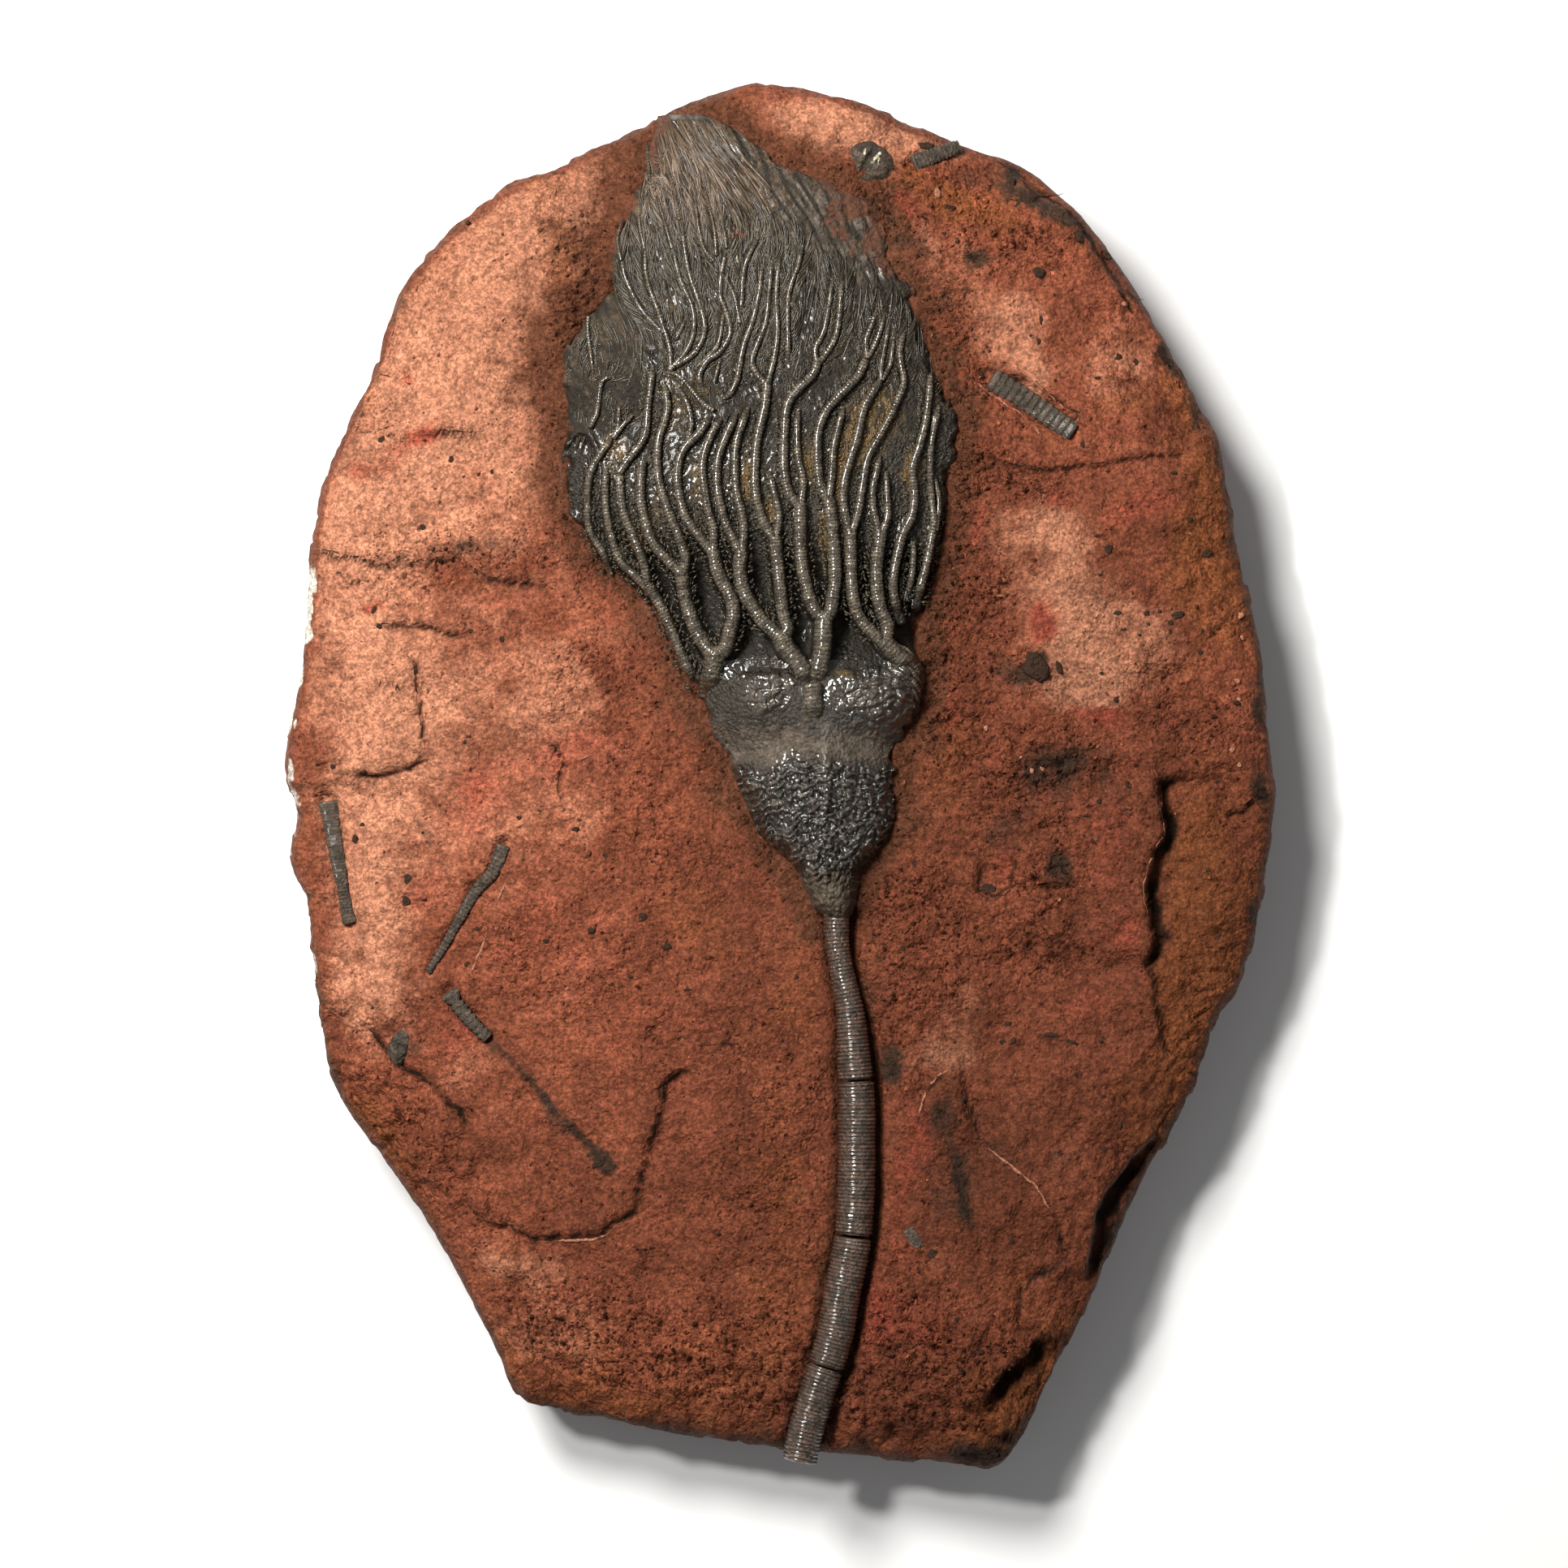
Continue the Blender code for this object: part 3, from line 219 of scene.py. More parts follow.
# ---- the arms: (points, start width, end width) ----
RAYS = {
    "ray_left": [
        ([(-20, 21), (-19, 26), (-17.7, 33)], 6, 5.2),
    ],
    "ray_centre": [
        ([(9.6, 12.5), (9.2, 18.5), (8.6, 25)], 4.2, 5.6),
        ([(8.6, 23), (6, 29), (1.8, 34.5), (0.4, 37.4)], 5.2, 4.9),
        ([(8.6, 23), (10, 27), (11.5, 34.5), (11.9, 42.8)], 5, 4.6),
    ],
    "ray_right": [
        ([(37, 27.5), (35, 30.5), (31, 33.8), (28.2, 36.2)], 5.4, 4.9),
    ],
}
ARMS = {
    "arms_left_outer": [
        ([(-22.0, 23.5), (-24.4, 28), (-27.4, 34), (-31.5, 44), (-36, 52)], 2.8, 3.1),
        ([(-35.4, 50.2), (-40, 55), (-43.5, 58.5), (-46, 65), (-47.6, 74), (-47.6, 84)], 2.3, 2.1),
        ([(-35.6, 49.2), (-37.3, 58), (-40, 65), (-43, 73), (-44, 84)], 2.5, 2.3),
        ([(-44, 82.5), (-44.8, 85), (-45.6, 87.5)], 1.8, 1.4),
        ([(-44, 82.5), (-41.5, 86), (-37, 92.5), (-36, 101), (-34.6, 112)], 2.2, 1.8),
    ],
    "arm_left_edge": [
        ([(-46, 55), (-48.5, 61), (-52, 67), (-52.7, 74.5), (-51.5, 83.5), (-45.5, 93)], 2.1, 2),
        ([(-45.7, 92), (-44.2, 95), (-44, 100.5)], 1.7, 1.3),
        ([(-45.7, 92), (-43, 95.5), (-40, 98.5)], 1.7, 1.3),
    ],
    "arms_left_middle": [
        ([(-20, 34.8), (-23.5, 41), (-26, 49), (-26.8, 55.5)], 3.9, 3.7),
        ([(-26.8, 54.5), (-29.5, 57.5), (-34, 62.5), (-37, 70), (-38, 77), (-37.6, 86)], 2.8, 2.5),
        ([(-26.8, 54.5), (-25.8, 59), (-27.5, 65), (-31, 73.5), (-33.2, 82), (-33.2, 91), (-30.7, 100),
          (-31.8, 107.5)], 2.7, 2),
    ],
    "arms_left_inner": [
        ([(-15.3, 34.3), (-13.6, 39.5), (-12.7, 44), (-13.4, 48.5), (-17, 55.5), (-18.2, 61.5)], 4, 3.5),
        ([(-18.2, 60.5), (-21.5, 64.5), (-26, 71), (-28, 81), (-26.5, 88.5), (-22, 93.5),
          (-18.7, 98.5)], 2.7, 2.2),
        ([(-18.2, 60.5), (-18.2, 67), (-20, 74), (-21.1, 85), (-18.7, 93), (-15.8, 97.5)], 2.5, 2.1),
        ([(-25.3, 90), (-24.2, 96), (-25.5, 102), (-28.4, 106.6)], 1.8, 1.4),
    ],
    "arms_centre_1": [
        ([(-2.2, 39.6), (-5.5, 43), (-9.5, 49.5), (-11, 55.5), (-10.6, 61)], 3.7, 3.7),
        ([(-10.6, 60), (-12.5, 64), (-15, 69), (-17, 78), (-17, 85.5), (-15, 92), (-11.7, 99)], 2.6, 2.2),
        ([(-10.6, 60), (-9.9, 66), (-10.3, 71), (-12, 78), (-12.2, 88), (-11, 94),
          (-8.5, 100.5)], 2.5, 2.1),
    ],
    "arms_centre_2": [
        ([(2, 39.9), (0.9, 44), (-0.4, 55), (-1.5, 65)], 3.4, 3.5),
        ([(-1.5, 64), (-4.7, 69.5), (-6.7, 77), (-6.9, 84), (-6.2, 92), (-4.3, 100),
          (-3.5, 107.5)], 2.8, 2.5),
        ([(-1.5, 64), (-0.3, 70), (-1.3, 76), (-3.2, 83)], 2.2, 1.8),
        ([(-3.5, 106.5), (-6.6, 110), (-7.5, 114), (-4, 123.5), (-3, 132), (-2.2, 141)], 1.8, 1.3),
        ([(-3.5, 106.5), (-1.4, 115), (-0.7, 122), (-1, 132), (-0.2, 141.5)], 1.8, 1.3),
    ],
    "arms_centre_3": [
        ([(9.8, 44.5), (8.2, 48), (6.6, 54), (5.6, 61), (5.5, 74)], 3.5, 3.4),
        ([(5.5, 73), (2.4, 77), (1.1, 84), (1.2, 93), (2, 101), (5.5, 106), (9, 109.5),
          (10.3, 113.5)], 2.7, 2.4),
        ([(5.5, 73), (6.3, 80), (4.9, 87), (4.7, 95), (5, 100)], 2.2, 1.8),
        ([(10.2, 112.3), (9.7, 116.5), (12, 121.5), (13.6, 130), (14.4, 136)], 1.8, 1.3),
        ([(10.2, 112.3), (13.8, 117), (15.9, 123), (16.9, 135.5)], 1.8, 1.4),
    ],
    "arm_centre_tip": [
        ([(2, 111), (2.2, 118), (2.3, 131), (4.8, 139), (6.2, 145)], 1.6, 1.3),
    ],
    "arms_centre_4": [
        ([(13.7, 44.5), (14.4, 49), (15, 54), (14.5, 64), (13.2, 75.5)], 3.6, 3.6),
        ([(13.2, 74.5), (11, 79), (10.2, 86), (10.5, 94), (13, 100), (18, 105.5), (21.5, 109.5),
          (24, 115)], 2.7, 2.3),
        ([(13.2, 74.5), (14.1, 82), (14.7, 90), (17.4, 100.5)], 2.3, 1.9),
        ([(23.8, 114), (23.5, 119), (25, 123), (26.6, 128)], 1.7, 1.3),
        ([(23.8, 114), (25.6, 117), (27, 120.5), (28.8, 126.5)], 1.5, 1.2),
    ],
    "arms_right_1": [
        ([(26.3, 37.9), (22, 42.5), (20, 48), (19.4, 55), (19.1, 66.5)], 3.4, 3.3),
        ([(19.1, 65.5), (17.4, 73), (17.3, 79), (18.7, 85), (21, 92), (23, 100.5), (28, 109)], 2.6, 2.2),
        ([(19.1, 65.5), (20.6, 69.5), (21.7, 74), (22.6, 80), (23.8, 86.3), (26.5, 91.5), (29.5, 97),
          (32.5, 103.5), (33.9, 107.5), (33, 113), (32.9, 117), (34.2, 122.5)], 2.3, 1.7),
        ([(27.7, 108), (27.7, 112), (28.6, 117), (29.8, 123.5)], 1.4, 1.2),
        ([(27.7, 108), (30, 112), (30.8, 117), (31.2, 121)], 1.4, 1.1),
    ],
    "arms_right_2": [
        ([(29.4, 40.6), (27.3, 46), (26.3, 53), (26.4, 58), (27.4, 66.5)], 3.5, 3.4),
        ([(27.4, 65.5), (25.8, 71), (25.2, 77), (26.3, 83), (27.4, 87.5)], 2.1, 1.9),
        ([(27.4, 65.5), (29.3, 70.5), (29.2, 77), (29, 83)], 2.1, 1.7),
    ],
    "arm_right_3": [
        ([(32.9, 42.5), (31.3, 48), (30.8, 53), (32, 60), (33.5, 66), (36, 71), (36.7, 77), (36.2, 84),
          (38, 90), (40, 98), (41.3, 110)], 2.7, 2),
    ],
    "arm_right_short": [
        ([(34.8, 48.5), (36.2, 56), (36.5, 64)], 1.9, 1.5),
    ],
    "arm_right_edge": [
        ([(37.2, 46.5), (38.5, 52), (40.5, 60), (42, 69), (41.5, 75), (41, 83.5), (41.6, 92),
          (43.6, 101)], 2.5, 1.5),
    ],
    "arm_upper_1": [
        ([(-17.4, 102), (-14, 103.8), (-11.8, 108), (-10, 117), (-7.4, 124.5), (-5.7, 132),
          (-4.9, 140)], 1.9, 1.3),
    ],
    "arm_upper_2": [
        ([(-20.2, 103.5), (-22, 108.5), (-20, 113), (-16.2, 115.8), (-13.6, 121), (-14.8, 127),
          (-16.3, 131), (-16, 137), (-14.6, 144)], 1.8, 1.3),
    ],
    "arm_upper_3": [
        ([(-11.2, 123.5), (-10.5, 129), (-10, 137), (-8.6, 142), (-5.6, 147.5)], 1.6, 1.3),
    ],
    "arms_upper_left": [
        ([(-30.2, 110.6), (-26, 115.2), (-23.6, 121), (-24, 128), (-27.4, 136), (-29.2, 144)], 1.7, 1.2),
        ([(-28.6, 111.8), (-23.3, 115.4), (-20.6, 121.5), (-22, 129), (-25, 138), (-26.8, 150)], 1.7, 1.2),
        ([(-29.8, 110.8), (-30.2, 117), (-33, 126), (-36.3, 135.5), (-37, 144)], 1.5, 1.2),
        ([(-31.6, 121), (-34.2, 123.2), (-38.3, 128), (-42, 135.5), (-43.4, 141)], 1.5, 1.1),
    ],
}
# Thin arms that only the visual model has: (points, start width, end width).
FINE_ARMS = [
    ([(-18, 99.5), (-21.5, 102), (-25.5, 107), (-28.5, 109.5), (-31, 110)], 1.6, 1.2),
    ([(-18, 107), (-16.5, 113)], 1.3, 1.0),
    ([(-22.5, 111.5), (-18.5, 115.5), (-16.5, 119), (-15.5, 126.5)], 1.5, 1.1),
    ([(-28.5, 119), (-25.5, 125)], 1.3, 1.0),
    ([(-11, 123.5), (-12.5, 131), (-15.5, 137)], 1.3, 1.0),
    ([(-18, 140.5), (-21.5, 146), (-23.5, 160.5)], 1.2, 0.8),
    ([(-17.5, 142), (-18, 149.5), (-21, 162.5)], 1.2, 0.8),
    ([(-36.5, 173), (-35.5, 163), (-34, 160)], 1.1, 0.9),
    ([(-52.5, 126), (-52.5, 121), (-51, 110)], 1.2, 1.0),
    ([(-52, 95), (-50, 99.5), (-49, 106.5), (-47.5, 108.5), (-45, 109)], 1.6, 1.2),
    ([(42.5, 67), (43.5, 75), (42, 82.5)], 1.8, 1.4),
    ([(41, 86.5), (42, 96.5), (43.5, 101.5)], 1.5, 1.1),
    ([(-27.5, 152), (-29, 160), (-31.5, 170)], 1.1, 0.7),
    ([(-29.5, 144), (-32, 153), (-34, 160)], 1.1, 0.7),
    ([(-37, 144), (-38.5, 152), (-37.5, 161)], 1.1, 0.7),
    ([(-43.5, 141), (-44.5, 147), (-43, 153)], 1.0, 0.7),
    ([(-14.6, 144), (-15.5, 150), (-18, 158)], 1.1, 0.7),
]
# Lines that the upper crown streams along.
FLOW_LINES = [
    [(-56, 96), (-58, 108), (-57, 120)], [(-47, 108), (-52, 118), (-55, 124)],
    [(-44, 120), (-48, 130), (-45, 146)],
    [(-30, 146), (-36, 160), (-35, 176)], [(-22, 150), (-28, 164), (-32, 178)],
    [(-10, 150), (-20, 164), (-28, 176)],
    [(0, 144), (-8, 156), (-20, 170)], [(10, 142), (4, 154), (-8, 168)], [(20, 132), (18, 144), (10, 156)],
    [(30, 126), (30, 136), (22, 150)], [(40, 108), (40, 118), (33, 132)], [(46, 96), (47, 104), (42, 112)],
    [(43, 66), (46, 78), (47, 90)],
]
# Loose stretches of stem: (route, start and end radius, rise, disc thickness, flatness, groove depth).
FRAGMENTS = [
    ([(-124, -7), (-122.6, -16), (-120.4, -28), (-119, -36), (-118, -40.5)], 2.5, 1.7, 0.25, 0.9, 0.3, 0.1),
    ([(-75.6, -19), (-78.7, -26.5), (-83.6, -32), (-91, -45), (-96.5, -54)], 2.1, 1.0, 0.45, 1.2, 0.55, 0.32),
    ([(-90.8, -59.2), (-87.5, -64), (-84, -68), (-80, -72)], 2.3, 1.9, 0.4, 1.75, 0.5, 0.55),
    ([(58, 109), (69, 102), (80.5, 94)], 3.2, 2.9, -0.1, 2.05, 0.22, 0.3),
    ([(36.5, 168), (43, 170.5), (49.5, 173)], 2.5, 2.0, 0.7, 1.1, 0.6, 0.45),
]
# Small fossils and chips: (name, x, y, length, width, turn in degrees, rise).
STUDS = [
    ("shell_cup", 24.6, 168, 14.5, 11.5, -28, 1.5),
    ("stem_disc", -40.5, -15, 4.6, 4.4, 0, 0.6),
    ("grey_chip", 36.6, -126.9, 7.0, 3.7, -60, 1.25),
    ("dark_nodule", -104.5, -74.5, 12.0, 6.5, 72, 1.2),
]


# ------------------------------------------------------------------ numbers

def ease(value):
    """A smooth step from 0 to 1, for arrays too."""
    t = np.clip(value, 0.0, 1.0)
    return t * t * (3 - 2 * t)


def mix(a, b, share):
    """A blend of two values."""
    return a + (b - a) * share


def hashed(ix, iy, seed):
    """A repeatable random number from 0 to 1 for each whole-number place."""
    ix, iy = np.asarray(ix, dtype=np.int64), np.asarray(iy, dtype=np.int64)
    h = (ix * 374761393 + iy * 668265263 + seed * 974634777) & 0xFFFFFFFF
    h = ((h ^ (h >> 13)) * 1274126177) & 0xFFFFFFFF
    return ((h ^ (h >> 16)) & 0xFFFFFF) / float(0xFFFFFF)


def swell(x, y, size, seed):
    """Smooth noise of about -1 to 1 with features of the given size."""
    x, y = np.broadcast_arrays(x, y)
    ix, iy = np.floor(x / size), np.floor(y / size)
    fx, fy = x / size - ix, y / size - iy
    corners = []
    for dx, dy in ((0, 0), (1, 0), (0, 1), (1, 1)):
        turn = hashed(ix + dx, iy + dy, seed) * TAU
        corners.append(np.cos(turn) * (fx - dx) + np.sin(turn) * (fy - dy))
    u = fx ** 3 * (fx * (fx * 6 - 15) + 10)
    v = fy ** 3 * (fy * (fy * 6 - 15) + 10)
    return 1.5 * mix(mix(corners[0], corners[1], u), mix(corners[2], corners[3], u), v)


def layers(x, y, size, octaves, seed, gain=0.5):
    """Noise summed over finer and finer sizes."""
    total = 0.0
    weight = 1.0
    for octave in range(octaves):
        total = total + weight * swell(x, y, size, seed + octave * 17)
        size *= 0.5
        weight *= gain
    return total


def cells(x, y, size, seed):
    """Distances to the nearest and second nearest of scattered points, and the nearest one's number."""
    gx, gy = x / size, y / size
    ix, iy = np.floor(gx), np.floor(gy)
    first = np.full(gx.shape, 9.0)
    second = first
    number = np.zeros(gx.shape)
    for dx in (-1, 0, 1):
        for dy in (-1, 0, 1):
            cx, cy = ix + dx, iy + dy
            away = np.hypot(gx - (cx + hashed(cx, cy, seed)), gy - (cy + hashed(cx, cy, seed + 5)))
            closer = away < first
            second = np.where(closer, first, np.minimum(second, away))
            number = np.where(closer, hashed(cx, cy, seed + 9), number)
            first = np.where(closer, away, first)
    return first, second, number


def bell(value):
    """A soft bump: 1 at 0, and next to nothing beyond 2."""
    return np.exp(-value ** 2)


def hill(x, y, px, py, wide, tall, turn=0.0):
    """A soft hill of height 1: its place, its reach across and along, and its turn in degrees."""
    c, s = math.cos(math.radians(turn)), math.sin(math.radians(turn))
    u = ((x - px) * c + (y - py) * s) / wide
    v = ((y - py) * c - (x - px) * s) / tall
    return np.exp(-(u * u + v * v))


def spots(x, y, rows):
    """The sum of soft hills, each (x, y, reach across, reach along, strength, turn in degrees if any)."""
    return sum(row[4] * hill(x, y, *row[:4], *row[5:]) for row in rows)


def read(table, y):
    """Values at y from (y, value) rows."""
    return np.interp(y, *zip(*sorted(table)))


def reading(form, x, y, *rest):
    """What a form or a mask says at one point."""
    return float(form(np.array([x]), np.array([y]), *rest)[0])


def side_by_side(*parts):
    """Numbers side by side along a last axis: coordinates of points, or corners of faces."""
    return np.stack(np.broadcast_arrays(*parts), axis=-1)


def heading(line):
    """The direction of a line at each of its points, as steps of length 1."""
    ahead = np.gradient(line, axis=0)
    return ahead / np.maximum(np.hypot(ahead[:, 0], ahead[:, 1])[:, None], 1e-9)


def turns(sides):
    """Angles of the facets round a tube."""
    return TAU * (np.arange(sides) + 0.5) / sides


def smooth_line(points, step, closed=False):
    """A smooth curve through the points, read at even steps of about the given length."""
    pts = np.array(points, dtype=float)
    count = len(pts)
    spans = count if closed else count - 1
    t = np.linspace(0, 1, 16, endpoint=False)[:, None]
    dense = []
    for i in range(spans):
        picks = [(i + k - 1) % count if closed else min(max(i + k - 1, 0), count - 1) for k in range(4)]
        p0, p1, p2, p3 = pts[picks]
        dense.append(0.5 * (2 * p1 + (p2 - p0) * t + (2 * p0 - 5 * p1 + 4 * p2 - p3) * t ** 2
                            + (3 * p1 - p0 - 3 * p2 + p3) * t ** 3))
    dense.append(pts[:1] if closed else pts[-1:])
    dense = np.vstack(dense)
    lengths = np.concatenate(([0], np.cumsum(np.hypot(*np.diff(dense, axis=0).T))))
    parts = max(1, round(lengths[-1] / step))
    goals = np.linspace(0, lengths[-1], parts + 1)
    return np.stack([np.interp(goals, lengths, dense[:, k]) for k in range(pts.shape[1])], axis=1)


def route_reading(x, y, route):
    """How far points lie from a route, on which side (positive to the left), and how far along it."""
    pts = np.array(route, dtype=float)
    best = np.full(x.shape, 1e9)
    side = np.zeros(x.shape)
    place = np.zeros(x.shape)
    walked = 0.0
    for (ax, ay), (bx, by) in zip(pts, pts[1:]):
        length = math.hypot(bx - ax, by - ay)
        share = np.clip(((x - ax) * (bx - ax) + (y - ay) * (by - ay)) / length ** 2, 0, 1)
        away = np.hypot(x - (ax + (bx - ax) * share), y - (ay + (by - ay) * share))
        closer = away < best
        turn = (bx - ax) * (y - ay) - (by - ay) * (x - ax)
        side = np.where(closer, np.sign(turn), side)
        place = np.where(closer, walked + share * length, place)
        best = np.where(closer, away, best)
        walked += length
    return best, side, place, walked


# ------------------------------------------------------------------ forms

OUTLINE_FINE = smooth_line(SLAB_OUTLINE, 2.0, closed=True)[:-1]
OUTLINE_ANGLES = np.arctan2(OUTLINE_FINE[:, 1], OUTLINE_FINE[:, 0])
OUTLINE_ORDER = np.argsort(OUTLINE_ANGLES)
OUTLINE_ANGLES = OUTLINE_ANGLES[OUTLINE_ORDER]
OUTLINE_RADII = np.hypot(OUTLINE_FINE[:, 0], OUTLINE_FINE[:, 1])[OUTLINE_ORDER]


def outline_radius(angle):
    """Distance from the slab's middle to its widest outline."""
    return np.interp(angle, OUTLINE_ANGLES, OUTLINE_RADII, period=TAU)


def slab_form(x, y):
    """The slab's face without its roughness."""
    share = rim_share(x, y)
    rim = np.clip((share - RIM_SHARE) / (1 - RIM_SHARE), 0, 1)
    return SLAB_RIM_Z + SLAB_DOME * (1 - share * share) - RIM_ROUND * rim ** 2


def crown_edges(y):
    """The crown's left and right x."""
    left = read([(row[1], row[0]) for row in CROWN_LEFT], y)
    right = read([(row[1], row[0]) for row in CROWN_RIGHT], y)
    return left, right


def crown_form(x, y):
    """The smooth swell of the crown, on which the arms lie."""
    left, right = crown_edges(y)
    across = np.clip(np.abs(2 * (x - left) / (right - left) - 1), 0, 1)
    return slab_form(x, y) + CROWN_EDGE + read(CROWN_HEIGHT, y) * (1 - across ** 2.6)


# ------------------------------------------------------------------ meshes

def make_mesh(name, verts, quads, values, tris):
    """A smooth mesh from arrays of millimetre points and faces, with named values at its points."""
    mesh = bpy.data.meshes.new(name)
    mesh.vertices.add(len(verts))
    mesh.vertices.foreach_set("co", (np.asarray(verts, dtype=np.float32) * MM).ravel())
    flat = np.concatenate([quads.ravel(), tris.ravel()])
    starts = np.concatenate([np.arange(0, quads.size, 4), quads.size + np.arange(0, tris.size, 3)])
    mesh.loops.add(len(flat))
    mesh.loops.foreach_set("vertex_index", flat.astype(np.int32))
    mesh.polygons.add(len(starts))
    mesh.polygons.foreach_set("loop_start", starts.astype(np.int32))
    mesh.update(calc_edges=True)
    mesh.validate()
    mesh.shade_smooth()
    for key, value in values.items():
        attribute = mesh.attributes.new(key, "FLOAT", "POINT")
        attribute.data.foreach_set("value", np.asarray(value, dtype=np.float32).ravel())
    return mesh


def place(name, mesh, material, slot, nodes=()):
    """Put a finished mesh in the scene, riding on the fossil's one body, in place of CAD nodes."""
    obj = bpy.data.objects.new(name, mesh)
    bpy.context.scene.collection.objects.link(obj)
    mesh.materials.append(material)
    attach(obj, "root")
    if nodes:
        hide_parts(*nodes)


def grid_quads(columns, rows):
    """Quads of a sheet of points stored row by row."""
    i, j = np.meshgrid(np.arange(columns), np.arange(rows))
    a = j * (columns + 1) + i
    return side_by_side(a, a + 1, a + columns + 2, a + columns + 1).reshape(-1, 4)


def grid_rim(columns, rows):
    """Indices round the edge of such a sheet, in order."""
    row = columns + 1
    return np.concatenate([
        np.arange(columns), row * np.arange(rows) + columns,
        row * rows + np.arange(columns, 0, -1), row * np.arange(rows, 0, -1),
    ])


def ring_quads(first, second):
    """Quads between two closed rings of point numbers."""
    return side_by_side(first, np.roll(first, -1), np.roll(second, -1), second)


def tube_points(line, radii, heights, sides, squash=1.0):
    """Rings of points round a line seen from above: an array of rings by sides by three."""
    ahead = heading(line)
    if radii.ndim == 1:
        radii = radii[:, None]
    out = radii * np.cos(turns(sides))
    return side_by_side(line[:, 0, None] - ahead[:, 1, None] * out,
                        line[:, 1, None] + ahead[:, 0, None] * out,
                        heights[:, None] + radii * np.sin(turns(sides)) * squash)


def fan(middle, ring):
    """Triangles that close a ring of point numbers on a middle point."""
    return side_by_side(middle, np.roll(ring, -1), ring)


class Heap:
    """Gathers closed tubes into one mesh."""

    def __init__(self):
        self.verts = []
        self.quads = []
        self.tris = []
        self.values = {}
        self.count = 0

    def add_tube(self, points, **values):
        """Add rings of points, closed at both ends, with one value or one per ring for each name."""
        rings, sides = points.shape[:2]
        middle = self.count + rings * sides
        numbers = np.arange(self.count, middle).reshape(rings, sides)
        self.verts += [points.reshape(-1, 3), points[[0, -1]].mean(axis=1)]
        self.quads += [ring_quads(a, b) for a, b in zip(numbers, numbers[1:])]
        self.tris += [fan(middle, numbers[0]), side_by_side(middle + 1, numbers[-1],
                                                            np.roll(numbers[-1], -1))]
        for key, value in values.items():
            spread = np.broadcast_to(np.reshape(value, (-1, 1)), (rings, sides))
            self.values.setdefault(key, []).extend([spread.ravel(), spread[[0, -1]].mean(axis=1)])
        self.count = middle + 2

    def mesh(self, name):
        """The finished mesh."""
        values = {key: np.concatenate(parts) for key, parts in self.values.items()}
        return make_mesh(name, np.concatenate(self.verts), np.concatenate(self.quads), values,
                         np.concatenate(self.tris))


# ------------------------------------------------------------------ the face of the slab

def ledge_readings(x, y):
    """For each ledge: distance, side, share of its full strength there, and its row."""
    wx = x + 0.8 * swell(x, y, 7.0, 51) + 0.5 * swell(x, y, 2.6, 52)
    wy = y + 0.8 * swell(x, y, 7.0, 53) + 0.5 * swell(x, y, 2.6, 54)
    for row in LEDGES:
        away, side, place_on, whole = route_reading(wx, wy, row[0])
        yield away, side, ease(place_on / 6) * ease((whole - place_on) / 6), row


def ledge_height(x, y):
    """Height of the broken layers of the face."""
    total = np.zeros(x.shape)
    for away, side, ends, (_, step, reach, face) in ledge_readings(x, y):
        total -= 0.62 * side * step * ends * bell(away / reach) * np.clip(away / 0.7, 0, 1)
        if face > 1:
            low = np.where(side * step > 0, 1.0, 0.0)
            total -= 0.55 * face * low * ends * bell((away - 0.45 * face) / (0.55 * face))
    return total


def ledge_shade(x, y):
    """Painted shade at the foot of a ledge: 1 there, and 0 away from it."""
    total = np.zeros(x.shape)
    ragged = 1 + 0.45 * swell(x, y, 5.0, 58)
    for away, side, ends, (_, step, _, face) in ledge_readings(x, y):
        if face:
            low = np.where(side * step > 0, 1.0, 0.0)
            total = np.maximum(
                total, low * ends * ease((1.15 * face * ragged + 0.4 - away) / (0.3 * face + 0.5)))
    return total * ease(0.9 + 0.8 * swell(x, y, 9, 57))


def crack_mask(x, y):
    """The depth of the open cracks."""
    depth = np.zeros(x.shape)
    for route, wide in CRACKS:
        away, _, place_on, whole = route_reading(x, y, route)
        ends = ease(place_on / 3 + 0.2) * ease((whole - place_on) / 3 + 0.2)
        depth = np.maximum(depth, (0.3 + 0.5 * wide) * ends * bell(away / (0.6 + wide)))
    return depth


def crown_distance(x, y):
    """How far points lie outside the crown and stem; negative inside."""
    away, _, _, _ = route_reading(x, y, CROWN_LEFT + CROWN_RIGHT[::-1] + CROWN_LEFT[:1])
    left, right = crown_edges(y)
    inside = (x > left) & (x < right) & (y > CALYX_FOOT_Y) & (y < CROWN_TIP_Y + 0.5)
    return np.where(inside, -away, away)


def stem_distance(x, y):
    """How far points lie outside the stem, and on which side."""
    away, side, _, _ = route_reading(x, y, STEM_ROUTE)
    return away - read(STEM_RADII, y), side


def rim_share(x, y):
    """How far out points lie: 0 in the middle of the slab, and 1 at its widest outline."""
    return np.hypot(x, y) / outline_radius(np.arctan2(y, x))


